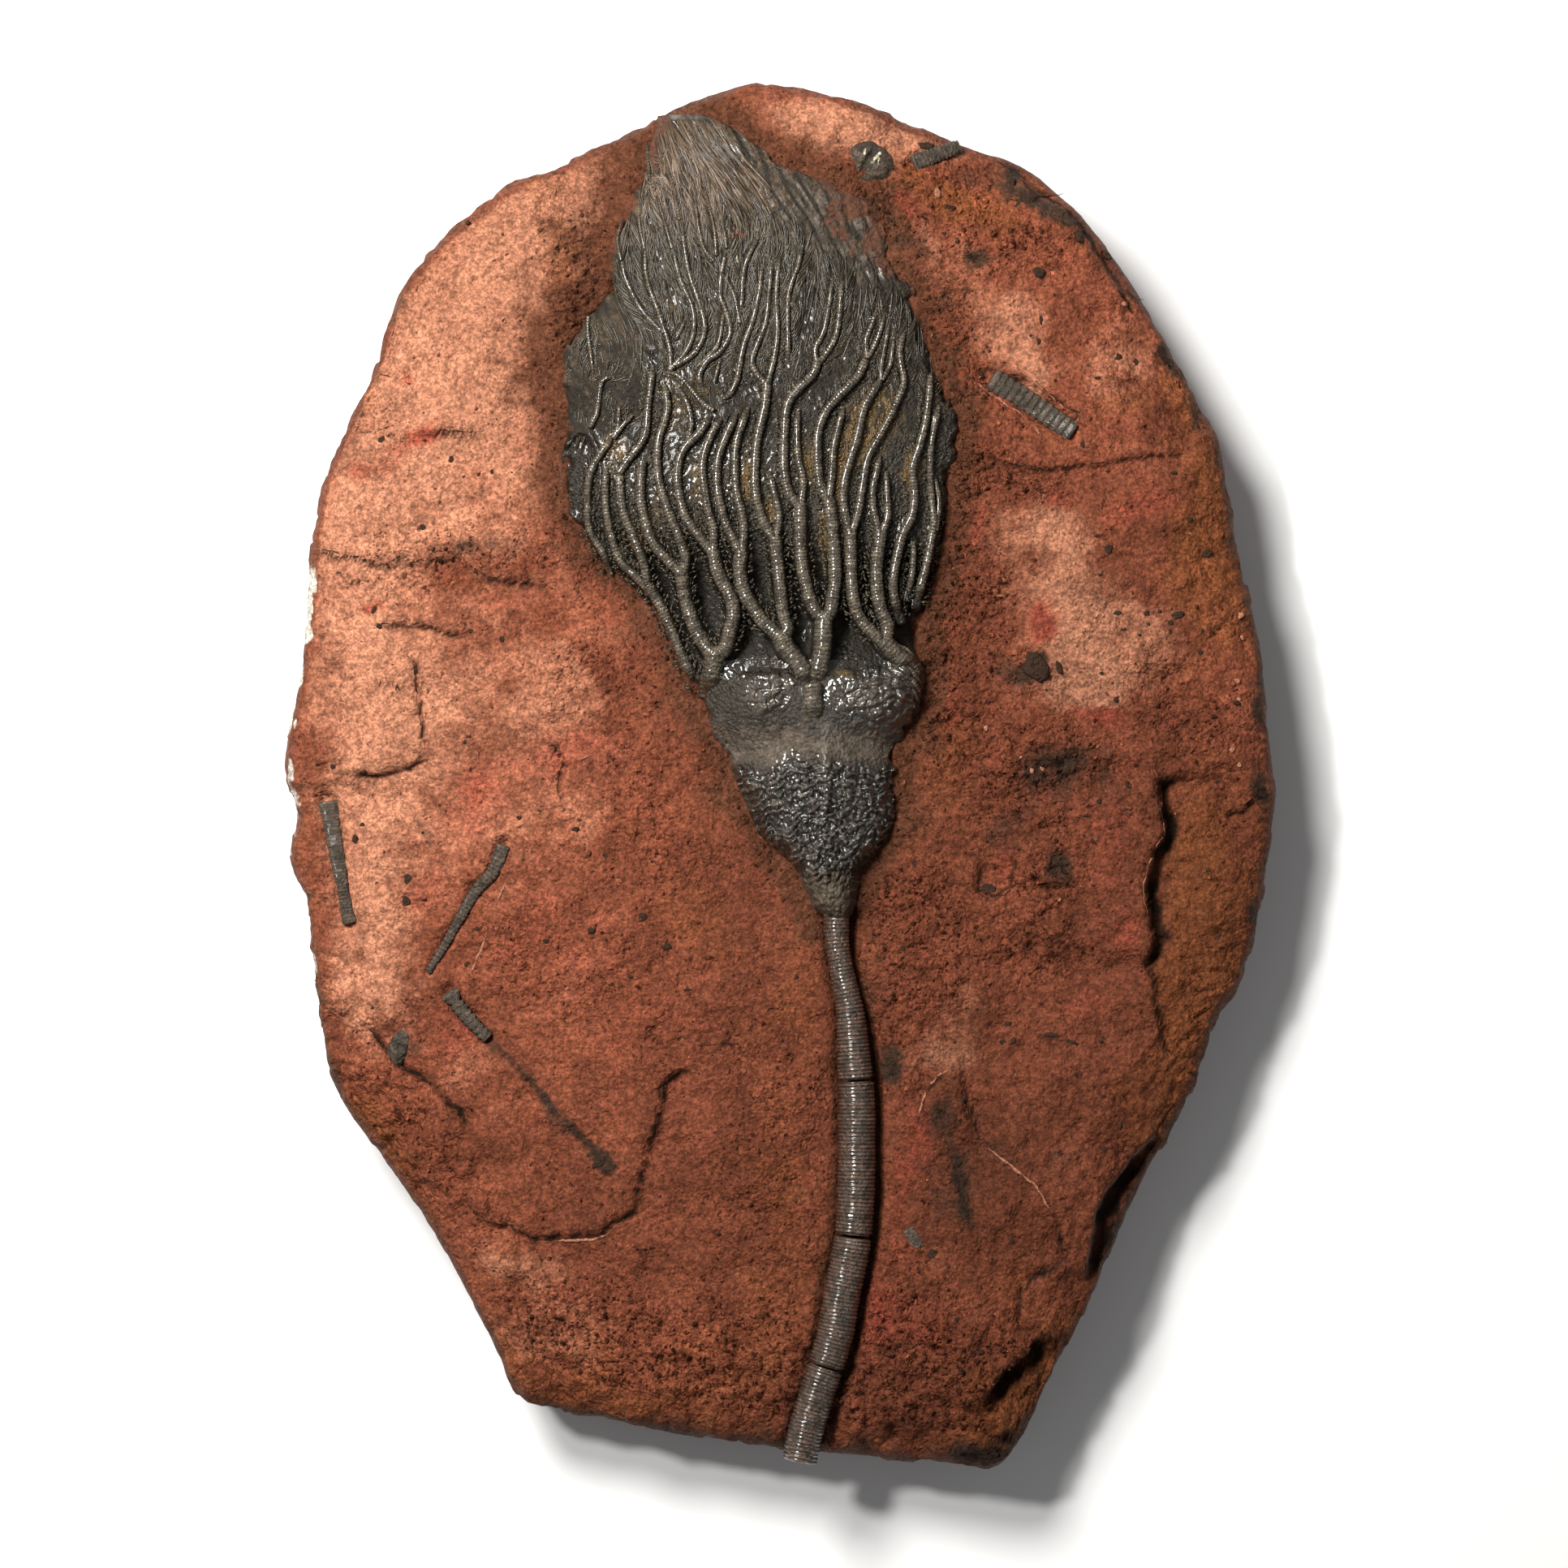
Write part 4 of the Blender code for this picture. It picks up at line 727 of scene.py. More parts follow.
PINK = [
    (-92, 100, 32, 40, 1, 20), (-62, 150, 28, 20, 1, 30), (-118, 60, 16, 30, 0.7), (16, 178, 26, 8, 1.1, -12),
    (38, 143, 12, 14, 0.55, 10), (-104, 20, 24, 24, 0.75), (-112, -25, 14, 32, 0.75), (62, 123, 10, 13, 0.75),
    (80, 44, 14, 18, 0.95, 10), (84, 24, 12, 7, 0.7), (96, 112, 14, 18, 0.45), (104, 38, 12, 10, 0.5),
    (-112, -60, 14, 14, 0.5), (-74, -133, 16, 5, 0.5, -8), (-70, -152, 26, 16, 0.35), (0, -160, 40, 16, 0.2),
    (58, 66, 10, 10, 0.35), (75, 68, 10, 7, 0.6), (-60, 20, 18, 24, 0.45), (-72, -20, 26, 26, 0.35),
    (-84, -84, 14, 10, 0.3), (48, -76, 12, 7, 0.5), (-55, -60, 20, 18, 0.2), (52, -62, 10, 8, 0.3),
    (44, 178, 12, 5, 0.5, -20), (70, 110, 6, 12, 0.4),
]
STAIN = [
    (-98, 92, 11, 4, 0.9, 10), (-114, 84, 10, 4, 0.8), (-84, 80, 9, 8, 0.6, -20), (-58, 6, 20, 12, 0.7, 15),
    (-84, -5, 10, 14, 0.6), (35, 142, 7, 12, 0.9, 20), (30, 156, 8, 4, 0.9, -20), (62, 122, 8, 10, 0.55),
    (-66, -40, 22, 18, 0.6), (-40, -66, 22, 16, 0.5), (34, -112, 4, 24, 0.8, -4), (40, -98, 3, 10, 0.8, -3),
    (24, -135, 4, 22, 0.8, 6), (58, -68, 14, 8, 0.4), (87, 17, 7, 2.4, 1.4, -10), (108, 14, 2, 2.2, 1.3),
    (72, 42, 5.5, 6, 1.4, 20), (54, 68, 4, 8, 0.9), (100, 74, 14, 8, 0.8), (95, 96, 14, 6, 0.5),
    (62, 104, 10, 4, 0.7, -40), (-100, -32, 8, 8, 0.6), (-72, -150, 16, 8, 0.3), (90, -20, 8, 24, 0.6, 5),
    (-76, 48, 14, 4, 0.5), (-112, 47, 4, 3, 0.9), (-104, 108, 4, 3, 0.9), (83, -62, 12, 8, 0.5),
    (62, -22, 4, 8, 0.7), (46, 20, 5, 12, 0.7), (60, 3, 3, 5, 0.6), (96, -44, 5, 8, 0.5),
    (35, -150, 18, 12, 0.6), (-90, -70, 12, 12, 0.5), (-30, -110, 20, 24, 0.35), (76, 74, 4, 4, 0.8),
]
# Dark patches of the stone, with painted shade along the rim and beside some ledges and cracks: (x, y, reach
# across, reach along, strength, turn in degrees if any).
SHADE = [
    (-88, 62, 26, 4, 0.9, 12), (-70, 54, 12, 5, 0.7, -10), (-66, 42, 12, 4, 0.5, -40),
    (64, 82, 12, 3, 0.7, -20), (72, 4, 13, 8, 1, 10), (64, -14, 9, 10, 0.75), (76, -27, 5, 9, 1),
    (88, -2, 12, 10, 0.6, -40), (70, 31, 4.5, 5, 1.4, -50), (31, -79, 4, 7, 1.1), (46, -92, 5, 9, 0.5),
    (51, -115, 1.6, 14, 0.9, 15), (70, 157, 9, 3, 1.3, -15), (109, 114, 5, 4, 1.4, -30),
    (97, 132, 5, 2.4, 1.1, -20), (52, 164, 8, 5, 0.9, -20), (36, 147, 6, 4, 0.7, -25), (24, 155, 6, 4, 1.1),
    (-49, -106, 4, 3, 1.2), (-78, -74, 2.5, 4, 0.9, 30), (-70, -82, 2.2, 7, 0.8, 38),
    (-60, -95, 2, 10, 0.8, 38), (60, 143, 14, 3, 0.8, -18), (53, 141, 4, 3, 1), (76, -73, 8, 1.5, 0.8, -10),
    (112, -96, 8, 5, 0.8, 30), (66, -163, 4, 6, 0.9, 40), (-103, -74, 6, 5, 0.8), (0, -183, 50, 3, 0.6, -4),
    (62, -184, 14, 5, 1), (-92, -160, 4, 12, 0.7, 25), (-126, -80, 3, 12, 0.7, 20),
    (104, -110, 5, 14, 1, -35),
    (94, -128, 5, 10, 0.9, -30), (-132, -50, 3, 14, 0.5), (133, 24, 3, 12, 1.1), (131, -3, 3, 5, 1.2),
    (131, -40, 3, 6, 0.9), (118, 90, 3, 14, 0.7, 20), (46, 58, 3, 16, 0.6), (56, -150, 7, 3, 0.4, 40),
    (80, 152, 6, 3, 1, -45), (63, 163, 2.5, 2, 1.3), (30, -60, 6, 10, 0.5), (22, -100, 8, 40, 0.4),
    (56, 100, 5, 3, 0.5), (47, 108, 3, 14, 0.8), (44, 128, 5, 8, 0.7), (60, 30, 8, 6, 0.6, -40),
    (-104, -120, 4, 10, 0.6, 35), (124, 96, 3, 14, 0.6, 25), (100, 45, 6, 4, 0.4), (46, -108, 16, 26, 0.62),
    (84, -104, 16, 14, 0.3), (2, -50, 14, 14, 0.35), (-30, 0, 12, 14, 0.3, 30), (70, -95, 14, 20, 0.35),
]
RUST = [
    (112, 50, 12, 36, 0.5), (116, -32, 12, 30, 1.3), (104, -90, 22, 18, 0.7, 30), (64, -172, 18, 12, 1.1, 30),
    (-50, -165, 50, 14, 0.45), (118, 66, 9, 30, 0.8, 10), (-108, -98, 12, 18, 0.6), (98, 102, 14, 6, 0.6, 10),
    (0, -150, 34, 26, 0.35), (46, 5, 10, 26, 0.6), (-57, 130, 7, 24, 0.9, 10), (-24, -40, 14, 20, 0.5, 20),
    (-70, -135, 14, 10, 0.4), (46, 157, 7, 5, 1, -20), (60, 152, 14, 7, 0.7, -20), (36, 165, 6, 5, 0.9),
    (74, -165, 8, 14, 1, -35), (110, -64, 8, 14, 0.9), (4, -60, 9, 26, 0.5), (72, 96, 14, 8, 0.5, -30),
    (66, -140, 10, 12, 0.5), (-2, -110, 14, 30, 0.4), (-65, 124, 4, 4, 0.8),
]
ROUGH = [
    (-90, 60, 36, 7, 0.9), (-20, -168, 90, 20, 1), (-104, -104, 16, 24, 0.9, 30), (58, 148, 22, 9, 1, -20),
    (45, 166, 16, 8, 0.8), (-56, 135, 7, 30, 1, 8), (49, 62, 8, 40, 0.9), (46, 122, 8, 14, 1),
    (70, 2, 17, 11, 1.3), (75, -28, 8, 10, 1.3), (66, -46, 14, 7, 1), (36, -34, 14, 10, 1),
    (36, -58, 12, 16, 0.9), (45, -170, 30, 14, 1.2), (60, -172, 12, 14, 1), (114, -74, 8, 14, 0.7, 30),
    (-60, -150, 40, 12, 0.8), (-34, -14, 14, 20, 0.6, 30), (-50, 30, 14, 14, 0.6), (-112, 96, 10, 10, 0.5),
    (62, 82, 14, 6, 0.9), (118, 10, 12, 16, 0.5), (-4, -100, 14, 40, 0.5), (-118, -80, 8, 20, 0.8, 20),
    (106, 20, 12, 12, 0.4), (44, 20, 7, 22, 0.8), (80, 30, 40, 50, 0.12), (34, -140, 14, 20, 0.5),
    (60, 40, 6, 14, 0.7), (-40, -60, 14, 24, 0.4), (-70, -45, 20, 16, 0.35), (24, 155, 5, 5, 1),
]


def rough_mask(x, y):
    """How crumbly the face is, 0 where it is smooth."""
    wx = x + 3 * swell(x, y, 12, 41)
    wy = y + 3 * swell(x, y, 12, 42)
    return np.clip(spots(wx, wy, ROUGH) + 0.22 + 0.30 * layers(x, y, 16, 3, 43), 0.05, 1.3)


def slab_height(x, y):
    """The slab's face, with its ledges, lumps, grain and the bed of the crown and stem."""
    z = slab_form(x, y) + ledge_height(x, y)
    for px, py, reach, rise in LUMPS:
        z += rise * hill(x, y, px, py, reach, reach)
    z += np.array([1.1 * noise.noise(Vector((a, b, 3.0)) / 38) + 0.5 * noise.noise(Vector((a, b, 9.0)) / 15)
                   for a, b in zip(x.ravel().tolist(), y.ravel().tolist())]).reshape(x.shape)
    rim = ease((rim_share(x, y) - 0.80) / 0.18)
    rough = rough_mask(x, y)
    # Broken layers: noise drawn into flat patches with steep edges between them.
    patch = layers(x + 3 * swell(x, y, 9, 71), y + 3 * swell(x, y, 9, 72), 24, 3, 73)
    stepped = np.round(patch * 2.2) / 2.2
    z += 1.25 * mix(patch, stepped, 0.75) * (0.6 + 0.9 * rim)
    patch = layers(x + 1.5 * swell(x, y, 4, 74), y + 1.5 * swell(x, y, 4, 75), 11, 4, 81)
    z += 0.85 * mix(patch, np.round(patch * 2) / 2, 0.65) * (0.45 + 0.8 * rim + 0.6 * rough)
    z += (0.26 + 0.50 * rough) * layers(x, y, 4.2, 2, 91) - 0.30 * np.abs(layers(x, y, 7, 3, 93))
    # Clods in the crumbly parts, and shallow pits.
    first, second, number = cells(x + 0.8 * swell(x, y, 3, 76), y + 0.8 * swell(x, y, 3, 77), 3.1, 78)
    z += 0.85 * rough * (ease((second - first) * 1.7) - 0.5 + 0.9 * (number - 0.5)) * ease(rough * 1.6 - 0.3)
    first, _, number = cells(x, y, 5.5, 97)
    z -= (0.30 + 0.5 * rough) * ease((number - 0.55) * 3) * bell(first / 0.30)
    z -= crack_mask(x, y)
    # The bed of the crown: worked down around it, and cut away under it.
    off = crown_distance(x, y)
    halo = np.exp(-np.clip(off, 0, 60) / 9.0) * ease((off + 3) / 3) * ease((y + 45) / 20)
    z -= 1.2 * halo * (1 - 0.6 * ease((y - 90) / 40))
    z += 0.42 * halo * layers(x, y, 3.2, 3, 111)
    z -= 3.4 * ease((-off - 1.2) / 1.6)
    beside, side = stem_distance(x, y)
    near = ease((y + 192) / 4) * ease((-34 - y) / 5)
    z -= near * (1.9 * (side >= 0) + 0.5) * bell(np.clip(beside - 0.6, 0, 50) / 1.5) * ease(beside + 1)
    z -= near * bell(np.clip(beside, 0, 60) / 8)
    z -= near * 3.2 * ease((0.4 - beside) / 1.2)
    for route, start, end, *_ in FRAGMENTS:
        far, _, place_on, whole = route_reading(x, y, route)
        gap = far - mix(start, end, place_on / whole)
        z -= 0.35 * bell(np.clip(gap, 0, 50) / 0.8) + 1.8 * ease((0.1 - gap) / 0.8)
    return z


def side_points(angle, depth):
    """Points on the slab's broken side at a share of its depth, 0 at the rim and 1 at the foot."""
    radius = outline_radius(angle)
    inset = np.interp(depth, [row[0] for row in SIDE_PROFILE], [row[1] for row in SIDE_PROFILE])
    around = angle * 120.0
    z = depth * 40.0
    # The seam of the angle is at the far left, where both ends of the noise are blended.
    wrap = TAU * 120.0

    def wavy(size, seed, tall=1.0):
        share = ease((angle / math.pi - 0.9) / 0.1)
        first = swell(around, z * tall + seed * 3.1, size, seed)
        return mix(first, swell(around - wrap, z * tall + seed * 3.1, size, seed), share)

    uneven = 0.35 + 0.9 * ease(0.5 + wavy(37, 147))
    chips = uneven * (0.9 * np.round(1.5 * wavy(10, 141)) / 1.5 + 0.6 * wavy(5.2, 142) + 0.4 * wavy(2.1, 143))
    chips = chips + 0.7 * wavy(23, 148)
    grow = ease((depth - 0.10) * 4)
    bulge = 3.2 * wavy(34, 144, 0.8) + 1.6 * wavy(13, 145, 1.6) + 0.8 * np.round(1.6 * wavy(10, 146, 3.0))
    out = chips * (1 - 0.3 * grow) + bulge * grow
    out = np.minimum(out, np.maximum(inset * 0.75, 0.9))
    reach = radius - inset + out
    return reach * np.cos(angle), reach * np.sin(angle)


def build_slab(settings):
    """The whole slab: a sculpted face, broken sides and a flat underside, closed all round."""
    columns, rows = settings.slab_columns, settings.slab_rows
    u, v = np.meshgrid(np.linspace(-1, 1, columns + 1), np.linspace(-1, 1, rows + 1))
    dx, dy = u * np.sqrt(1 - v * v / 2), v * np.sqrt(1 - u * u / 2)
    share, angle = np.hypot(dx, dy), np.arctan2(dy, dx)
    rim_x, rim_y = side_points(angle.ravel(), np.zeros(angle.size))
    edge = np.hypot(rim_x, rim_y).reshape(angle.shape)
    reach = share * mix(outline_radius(angle) - RIM_INSET, edge, ease((share - 0.86) / 0.14))
    x, y = reach * np.cos(angle), reach * np.sin(angle)
    z = slab_height(x, y) - ease((share - 0.965) / 0.035) * (0.7 + 0.5 * swell(x, y, 6, 151))
    sheet = side_by_side(x, y, z).reshape(-1, 3)
    rim = grid_rim(columns, rows)
    rings = []
    # Rings down the side, closer together near the rim.
    steps = (np.arange(settings.slab_side_rings) + 1) / settings.slab_side_rings
    for depth in (steps ** 1.35).round(4).tolist():
        sx, sy = side_points(angle.ravel()[rim], np.full(len(rim), depth))
        wave = 0.5 * np.sin(math.pi * depth) * swell(sx * 2, sy * 2, 13, int(depth * 50))
        rings.append(side_by_side(sx, sy, np.maximum(sheet[rim, 2] * (1 - depth) + wave, 0)))
    rings[-1][:, 2] = 0
    for inward in (0.6, 0.25):
        rings.append(rings[-1] * (inward, inward, 0))
    quads = [grid_quads(columns, rows)]
    previous = rim
    for start in range(len(sheet), len(sheet) + len(rim) * len(rings), len(rim)):
        numbers = start + np.arange(len(rim))
        quads.append(ring_quads(numbers, previous))
        previous = numbers
    verts = np.concatenate([sheet, *rings, np.zeros((1, 3))])
    values = slab_values(*verts.T, (np.arange(len(verts)) >= len(sheet)) * 1.0)
    return make_mesh("slab", verts, np.concatenate(quads), values, fan(len(verts) - 1, previous))


TRACES = [
    (-68, -84, 14, 1.3, 0.65, -47.4), (-56, -97, 9, 1.7, 0.95, -47.4), (-48, -106, 4, 2.4, 1, -47.4),
    (-97, -16, 11, 2.2, 0.7, -59),
]
TONE = [
    (-62, -150, 34, 20, 0.5), (-14, -160, 34, 16, 0.42), (122, 36, 12, 30, 0.34), (-92, 58, 30, 12, 0.26),
    (52, -108, 16, 22, -0.16), (92, -100, 16, 12, -0.14), (-16, -36, 12, 12, -0.14), (-120, -60, 12, 30, 0.1),
]


def slab_values(x, y, z, on_side):
    """Where the stone is pink, stained, dark or painted with shade, rusty, chalky, dug out or rough, with the
    painted shade at the foot of the ledges and the painted falloff of the lamp's light.
    """
    jx = x + 2.5 * layers(x, y, 14, 4, 161, 0.6)
    jy = y + 2.5 * layers(x, y, 14, 4, 171, 0.6)
    off = crown_distance(x, y)
    beside, _ = stem_distance(x, y)
    near = ease((y + 196) / 4) * ease((-30 - y) / 5)
    reach = 7.0 + 3.0 * ease((y - 90) / 30) + 5.0 * ease((y - 85) / 30) * ease((-20 - x) / 20)
    halo = np.exp(-np.clip(off - 1, 0, 90) / reach)
    halo = np.maximum(halo, 0.8 * near * np.exp(-np.clip(beside, 0, 90) / 3.0))
    share = rim_share(x, y)
    chalk = on_side * ease((-x - 118) / 6) * ease((y + 64) / 12) * ease((62 - y) / 10)
    chalk *= ease(0.4 + 1.2 * layers(y, z * 2.0, 12, 3, 181)) * mix(0.55, 1.0, ease((y + 4) / 10))
    foot = on_side * (1 - np.clip(z / SLAB_RIM_Z, 0, 1))
    # Painted shade along the rounded rim of the face, stronger towards the bottom.
    rim = ease((share - 0.955) / 0.03) * ease(0.15 + 1.3 * layers(x, y, 17, 3,
                                                                  183) + 0.5 * ease((-y - 40) / 60))
    return {
        "pink": np.clip(spots(jx, jy, PINK), 0, 1.1) * (1 - on_side),
        "stain": np.clip(spots(jx, jy, STAIN), 0, 1.2),
        "shade": np.clip(spots(jx, jy, SHADE) + spots(x, y, TRACES) + 0.6 * rim, 0, 1.3),
        "rust": np.clip(spots(jx, jy, RUST), 0, 1.2) + 0.4 * ease((share - 0.93) / 0.06),
        "halo": halo,
        "chalk": chalk,
        # Painted shade at the foot of the ledges.
        "crack": np.clip(ledge_shade(x, y), 0, 1) * (1 - on_side),
        "side": on_side * (0.5 + 0.5 * foot),
        # Painted light: the face is painted darker towards the lower right, where the lamp's light falls off.
        "low_side": ease((0.62 * x - 0.55 * y + 70 + 12 * layers(x, y, 40, 2, 191)) / 190),
        "rough": rough_mask(x, y),
        "tone": spots(jx, jy, TONE) * (1 - on_side),
    }


def build_crumbs(settings):
    """Grains and crumbs that stand out of the crumbly parts of the face."""
    draw = np.random.default_rng(59)
    count = settings.crumbs
    x = draw.uniform(-133, 133, count * 9)
    y = draw.uniform(-187, 184, count * 9)
    off = crown_distance(x, y)
    beside = np.where(y < -34, stem_distance(x, y)[0], 9.0)
    rough = rough_mask(x, y)
    chance = 0.03 + 0.55 * np.clip(rough - 0.25, 0, 1) ** 1.4 + 0.5 * np.exp(-np.clip(off, 0, 60) / 5.0)
    keep = (draw.random(len(x)) < chance) & (rim_share(x, y) < 0.945) & (off > 0.4) & (beside > 0.4)
    x, y, rough = x[keep][:count], y[keep][:count], rough[keep][:count]
    size = (0.26 + 0.62 * draw.random(len(x)) ** 3) * (0.75 + 0.35 * rough)
    z = slab_height(x, y) + 0.05
    corners = np.array([(1, 0, 0), (0, 1, 0), (-1, 0, 0), (0, -1, 0), (0, 0, 1), (0, 0, -1)], dtype=float)
    turn = draw.uniform(0, TAU, len(x))
    cube = corners[None] * (0.65 + 0.7 * draw.random((len(x), 6, 1))) + 0.25 * draw.normal(size=(len(x), 6,
                                                                                                 3))
    c, s = np.cos(turn)[:, None], np.sin(turn)[:, None]
    across, along, up = np.moveaxis(cube, 2, 0)
    reach = size[:, None]
    points = side_by_side(x[:, None] + reach * (across * c - along * s),
                          y[:, None] + reach * (across * s + along * c),
                          z[:, None] + 0.75 * reach * up)
    faces = np.array([(0, 1, 4), (1, 2, 4), (2, 3, 4), (3, 0, 4), (1, 0, 5), (2, 1, 5), (3, 2, 5), (0, 3, 5)])
    tris = (np.arange(len(x))[:, None, None] * 6 + faces[None]).reshape(-1, 3)
    values = slab_values(x, y, z, np.zeros(len(x)))
    values["tone"] = draw.choice([-0.55, -0.25, 0.0, 0.25, 1.1], len(x), p=[0.25, 0.3, 0.2, 0.2, 0.05])
    values = {key: np.repeat(value, 6) for key, value in values.items()}
    mesh = make_mesh("rock_crumbs", points.reshape(-1, 3), np.zeros((0, 4), dtype=int), values, tris)
    mesh.shade_flat()
    return mesh


def add_chip(heap, x, y, wide, long, turn, rise, seed):
    """A flat angular chip set in the face."""
    number = np.arange(9)
    a = TAU * number / len(number)
    reach = 0.72 + 0.5 * hashed(number, seed, 531)
    u = reach * np.cos(a) * wide
    v = reach * np.sin(a) * long
    c, s = math.cos(math.radians(turn)), math.sin(math.radians(turn))
    base = reading(slab_height, x, y)
    rings = np.stack([side_by_side(x + share * (u * c - v * s), y + share * (u * s + v * c), base + lift)
                      for share, lift in ((0.9, -1.4), (1.0, -0.05), (0.86, rise), (0.4, rise * 1.1))])
    rings[2, :, 2] += 0.35 * rise * (hashed(number, seed, 533) - 0.5)
    heap.add_tube(rings, groove=0.0, shade=hashed(seed, 1, 535), pale=0.0)


def build_dark_bits(settings):
    """Blackish crusts and chips scattered over the face."""
    heap = Heap()
    draw = np.random.default_rng(61)
    for number, (x, y, wide, long, turn) in enumerate(DARK_BITS):
        add_chip(heap, x, y, wide, long, turn, 0.10 + 0.07 * wide, number)
    placed = 0
    while placed < settings.dark_bits:
        x, y = draw.uniform(-125, 128), draw.uniform(-180, 175)
        inside = math.hypot(x, y) < 0.93 * outline_radius(math.atan2(y, x))
        from_stem = route_reading(np.array([x]), np.array([y]), STEM_ROUTE)[0][0]
        clear = reading(crown_distance, x, y) > 2 and from_stem > 8
        if inside and clear and draw.random() < 0.15 + 0.85 * ease(0.3 + reading(swell, x, y, 30, 63)):
            wide = 0.22 + 0.6 * draw.random() ** 2
            add_chip(heap, x, y, wide, wide * draw.uniform(0.6, 1.6), draw.uniform(0, 180), 0.08,
                     900 + placed)
            placed += 1
    return heap.mesh("dark_bits")


def add_line(heap, route, half, lift, wander, seed, tall):
    """A thin strip along a route on the face, of uneven width."""
    line = smooth_line(route, 0.7)
    along = np.arange(len(line)) * 0.7
    aside = heading(line)[:, ::-1] * (-1, 1)
    line = line + aside * (wander * layers(along, seed, 3.0, 3, 541))[:, None]
    width = half * (0.75 + 0.7 * layers(along, seed + 9, 2.2, 2, 543))
    width = width * ease(np.minimum(along, along[::-1]) / (2.5 * half + 1.2) + 0.08)
    width = np.maximum(width * ease(0.75 + 1.6 * swell(along, seed + 5, 7.0, 545)), 0.05)
    heap.add_tube(tube_points(line, width, slab_height(line[:, 0], line[:, 1]) + lift, 6, tall),
                  groove=0.0, shade=0.5, pale=0.0)


def build_cracks():
    """Dark strips of painted shade in the cracks and at the foot of the sharpest ledges."""
    heap = Heap()
    for number, (route, wide) in enumerate(CRACKS):
        add_line(heap, route, 0.32 * wide + 0.04, 0.0, 0.35, number, 0.3)
    for number, (route, step, _, face) in enumerate(LEDGES):
        if 0 < face < 1.2:
            add_line(heap, route, 0.10 + 0.14 * face, -0.02, 0.6, 100 + number, 0.3)
    return heap.mesh("crack_floors")


PALE_BITS = [
    (69, 1.3, 0.6), (72, 1.8, 0.6), (66, 5, 0.4), (87, 8, 0.5), (76.5, -34, 0.5), (56.5, 13, 0.7),
    (92, 22, 0.5),
    (94.5, 129.5, 0.6), (72.5, 100, 0.5), (126.5, 44, 0.8), (127, 38, 0.6), (125.5, 26, 0.7), (126, 21, 0.5),
    (124, 7, 0.7), (126, 3, 0.6), (43, 160, 1.1), (45.5, 160.5, 0.8),
]


def build_ridges():
    """Thin pale ridges that cross the face, and pale bits set in it."""
    heap = Heap()
    for number, (route, half) in enumerate(RIDGES):
        add_line(heap, route, half, 0.10, 0.4, 300 + number, 0.6)
    for number, (x, y, size) in enumerate(PALE_BITS):
        add_chip(heap, x, y, size, 1.4 * size, 37.0 * number, 0.3, 950 + number)
    return heap.mesh("pale_ridges")


# ------------------------------------------------------------------ the crown

def strand_line(points, start, end, step):
    """A strand's points at even steps, its direction there and its half width."""
    line = smooth_line(points, step)
    return line, heading(line), np.linspace(start, end, len(line)) / 2


def arm_samples():
    """Points along every arm: x, y, direction x, direction y, half width."""
    rows = []
    for strands in [*RAYS.values(), *ARMS.values(), FINE_ARMS]:
        for points, start, end in strands:
            rows.append(np.column_stack(strand_line(points, start, end, 0.8)))
    return np.concatenate(rows)


def near_arms(x, y):
    """Distance from the skin of the nearest arm."""
    samples = arm_samples()
    samples = samples[np.argsort(samples[:, 1])]
    best = np.full(x.size, 1e9)
    # Rows of points share nearly one y, so only the samples close to it are compared.
    for start in range(0, x.size, 400):
        px, py = x.ravel()[start:start + 400, None], y.ravel()[start:start + 400, None]
        low, high = np.searchsorted(samples[:, 1], [py.min() - 9, py.max() + 9])
        if high > low:
            sx, sy, _, _, half = samples[low:high].T
            best[start:start + 400] = (np.hypot(px - sx, py - sy) - half).min(axis=1)
    return best.reshape(x.shape)


def flow_at(x, y, samples):
    """The direction in which the arms stream past each point."""
    lines = [samples[:, :4]]
    for route in FLOW_LINES:
        line = smooth_line(route, 1.5)
        lines.append(np.column_stack([line, heading(line)]))
    rows = np.concatenate(lines)[::2]
    fx = np.zeros(x.shape)
    fy = np.zeros(x.shape)
    for start in range(0, len(x), 500):
        part = slice(start, start + 500)
        gap = (x[part, None] - rows[None, :, 0]) ** 2 + (y[part, None] - rows[None, :, 1]) ** 2
        weight = 1 / (gap + 6.0) ** 2
        fx[part] = weight @ rows[:, 2]
        fy[part] = weight @ rows[:, 3]
    size = np.maximum(np.hypot(fx, fy), 1e-9)
    return fx / size, fy / size


def crown_sheet(y0, y1, columns, rows):
    """The x and y of a sheet that fills the crown's outline between two heights."""
    y = np.repeat(np.linspace(y0, y1, rows + 1)[:, None], columns + 1, axis=1)
    left, right = crown_edges(y[:, :1])
    rough = 0.5 + 0.9 * ease((y[:, :1] - 70) / 60)
    left = left + rough * layers(y[:, :1], 3, 7.1, 4, 201)
    right = right + rough * layers(y[:, :1], 9, 6.3, 4, 203)
    share = np.linspace(0, 1, columns + 1)[None, :]
    x = left + (right - left) * share
    return x, y, np.minimum(share, 1 - share) * (right - left)


def closed_sheet(name, x, y, z, floor, values):
    """A closed mesh from a sheet of points, with plain walls down to a floor."""
    rows, columns = x.shape[0] - 1, x.shape[1] - 1
    top = side_by_side(x, y, z).reshape(-1, 3)
    rim = grid_rim(columns, rows)
    low = top[rim].copy()
    low[:, 2] = floor
    low[:, :2] = low[:, :2].mean(axis=0) + (low[:, :2] - low[:, :2].mean(axis=0)) * 0.97
    numbers = len(top) + np.arange(len(rim))
    middle = len(top) + len(rim)
    verts = np.concatenate([top, low, low.mean(axis=0)[None]])
    quads = np.concatenate([grid_quads(columns, rows), ring_quads(numbers, rim)])
    spread = {key: np.concatenate([value.ravel(), value.ravel()[rim], [0.0]]) for key,
              value in values.items()}
    return make_mesh(name, verts, quads, spread, fan(middle, numbers))


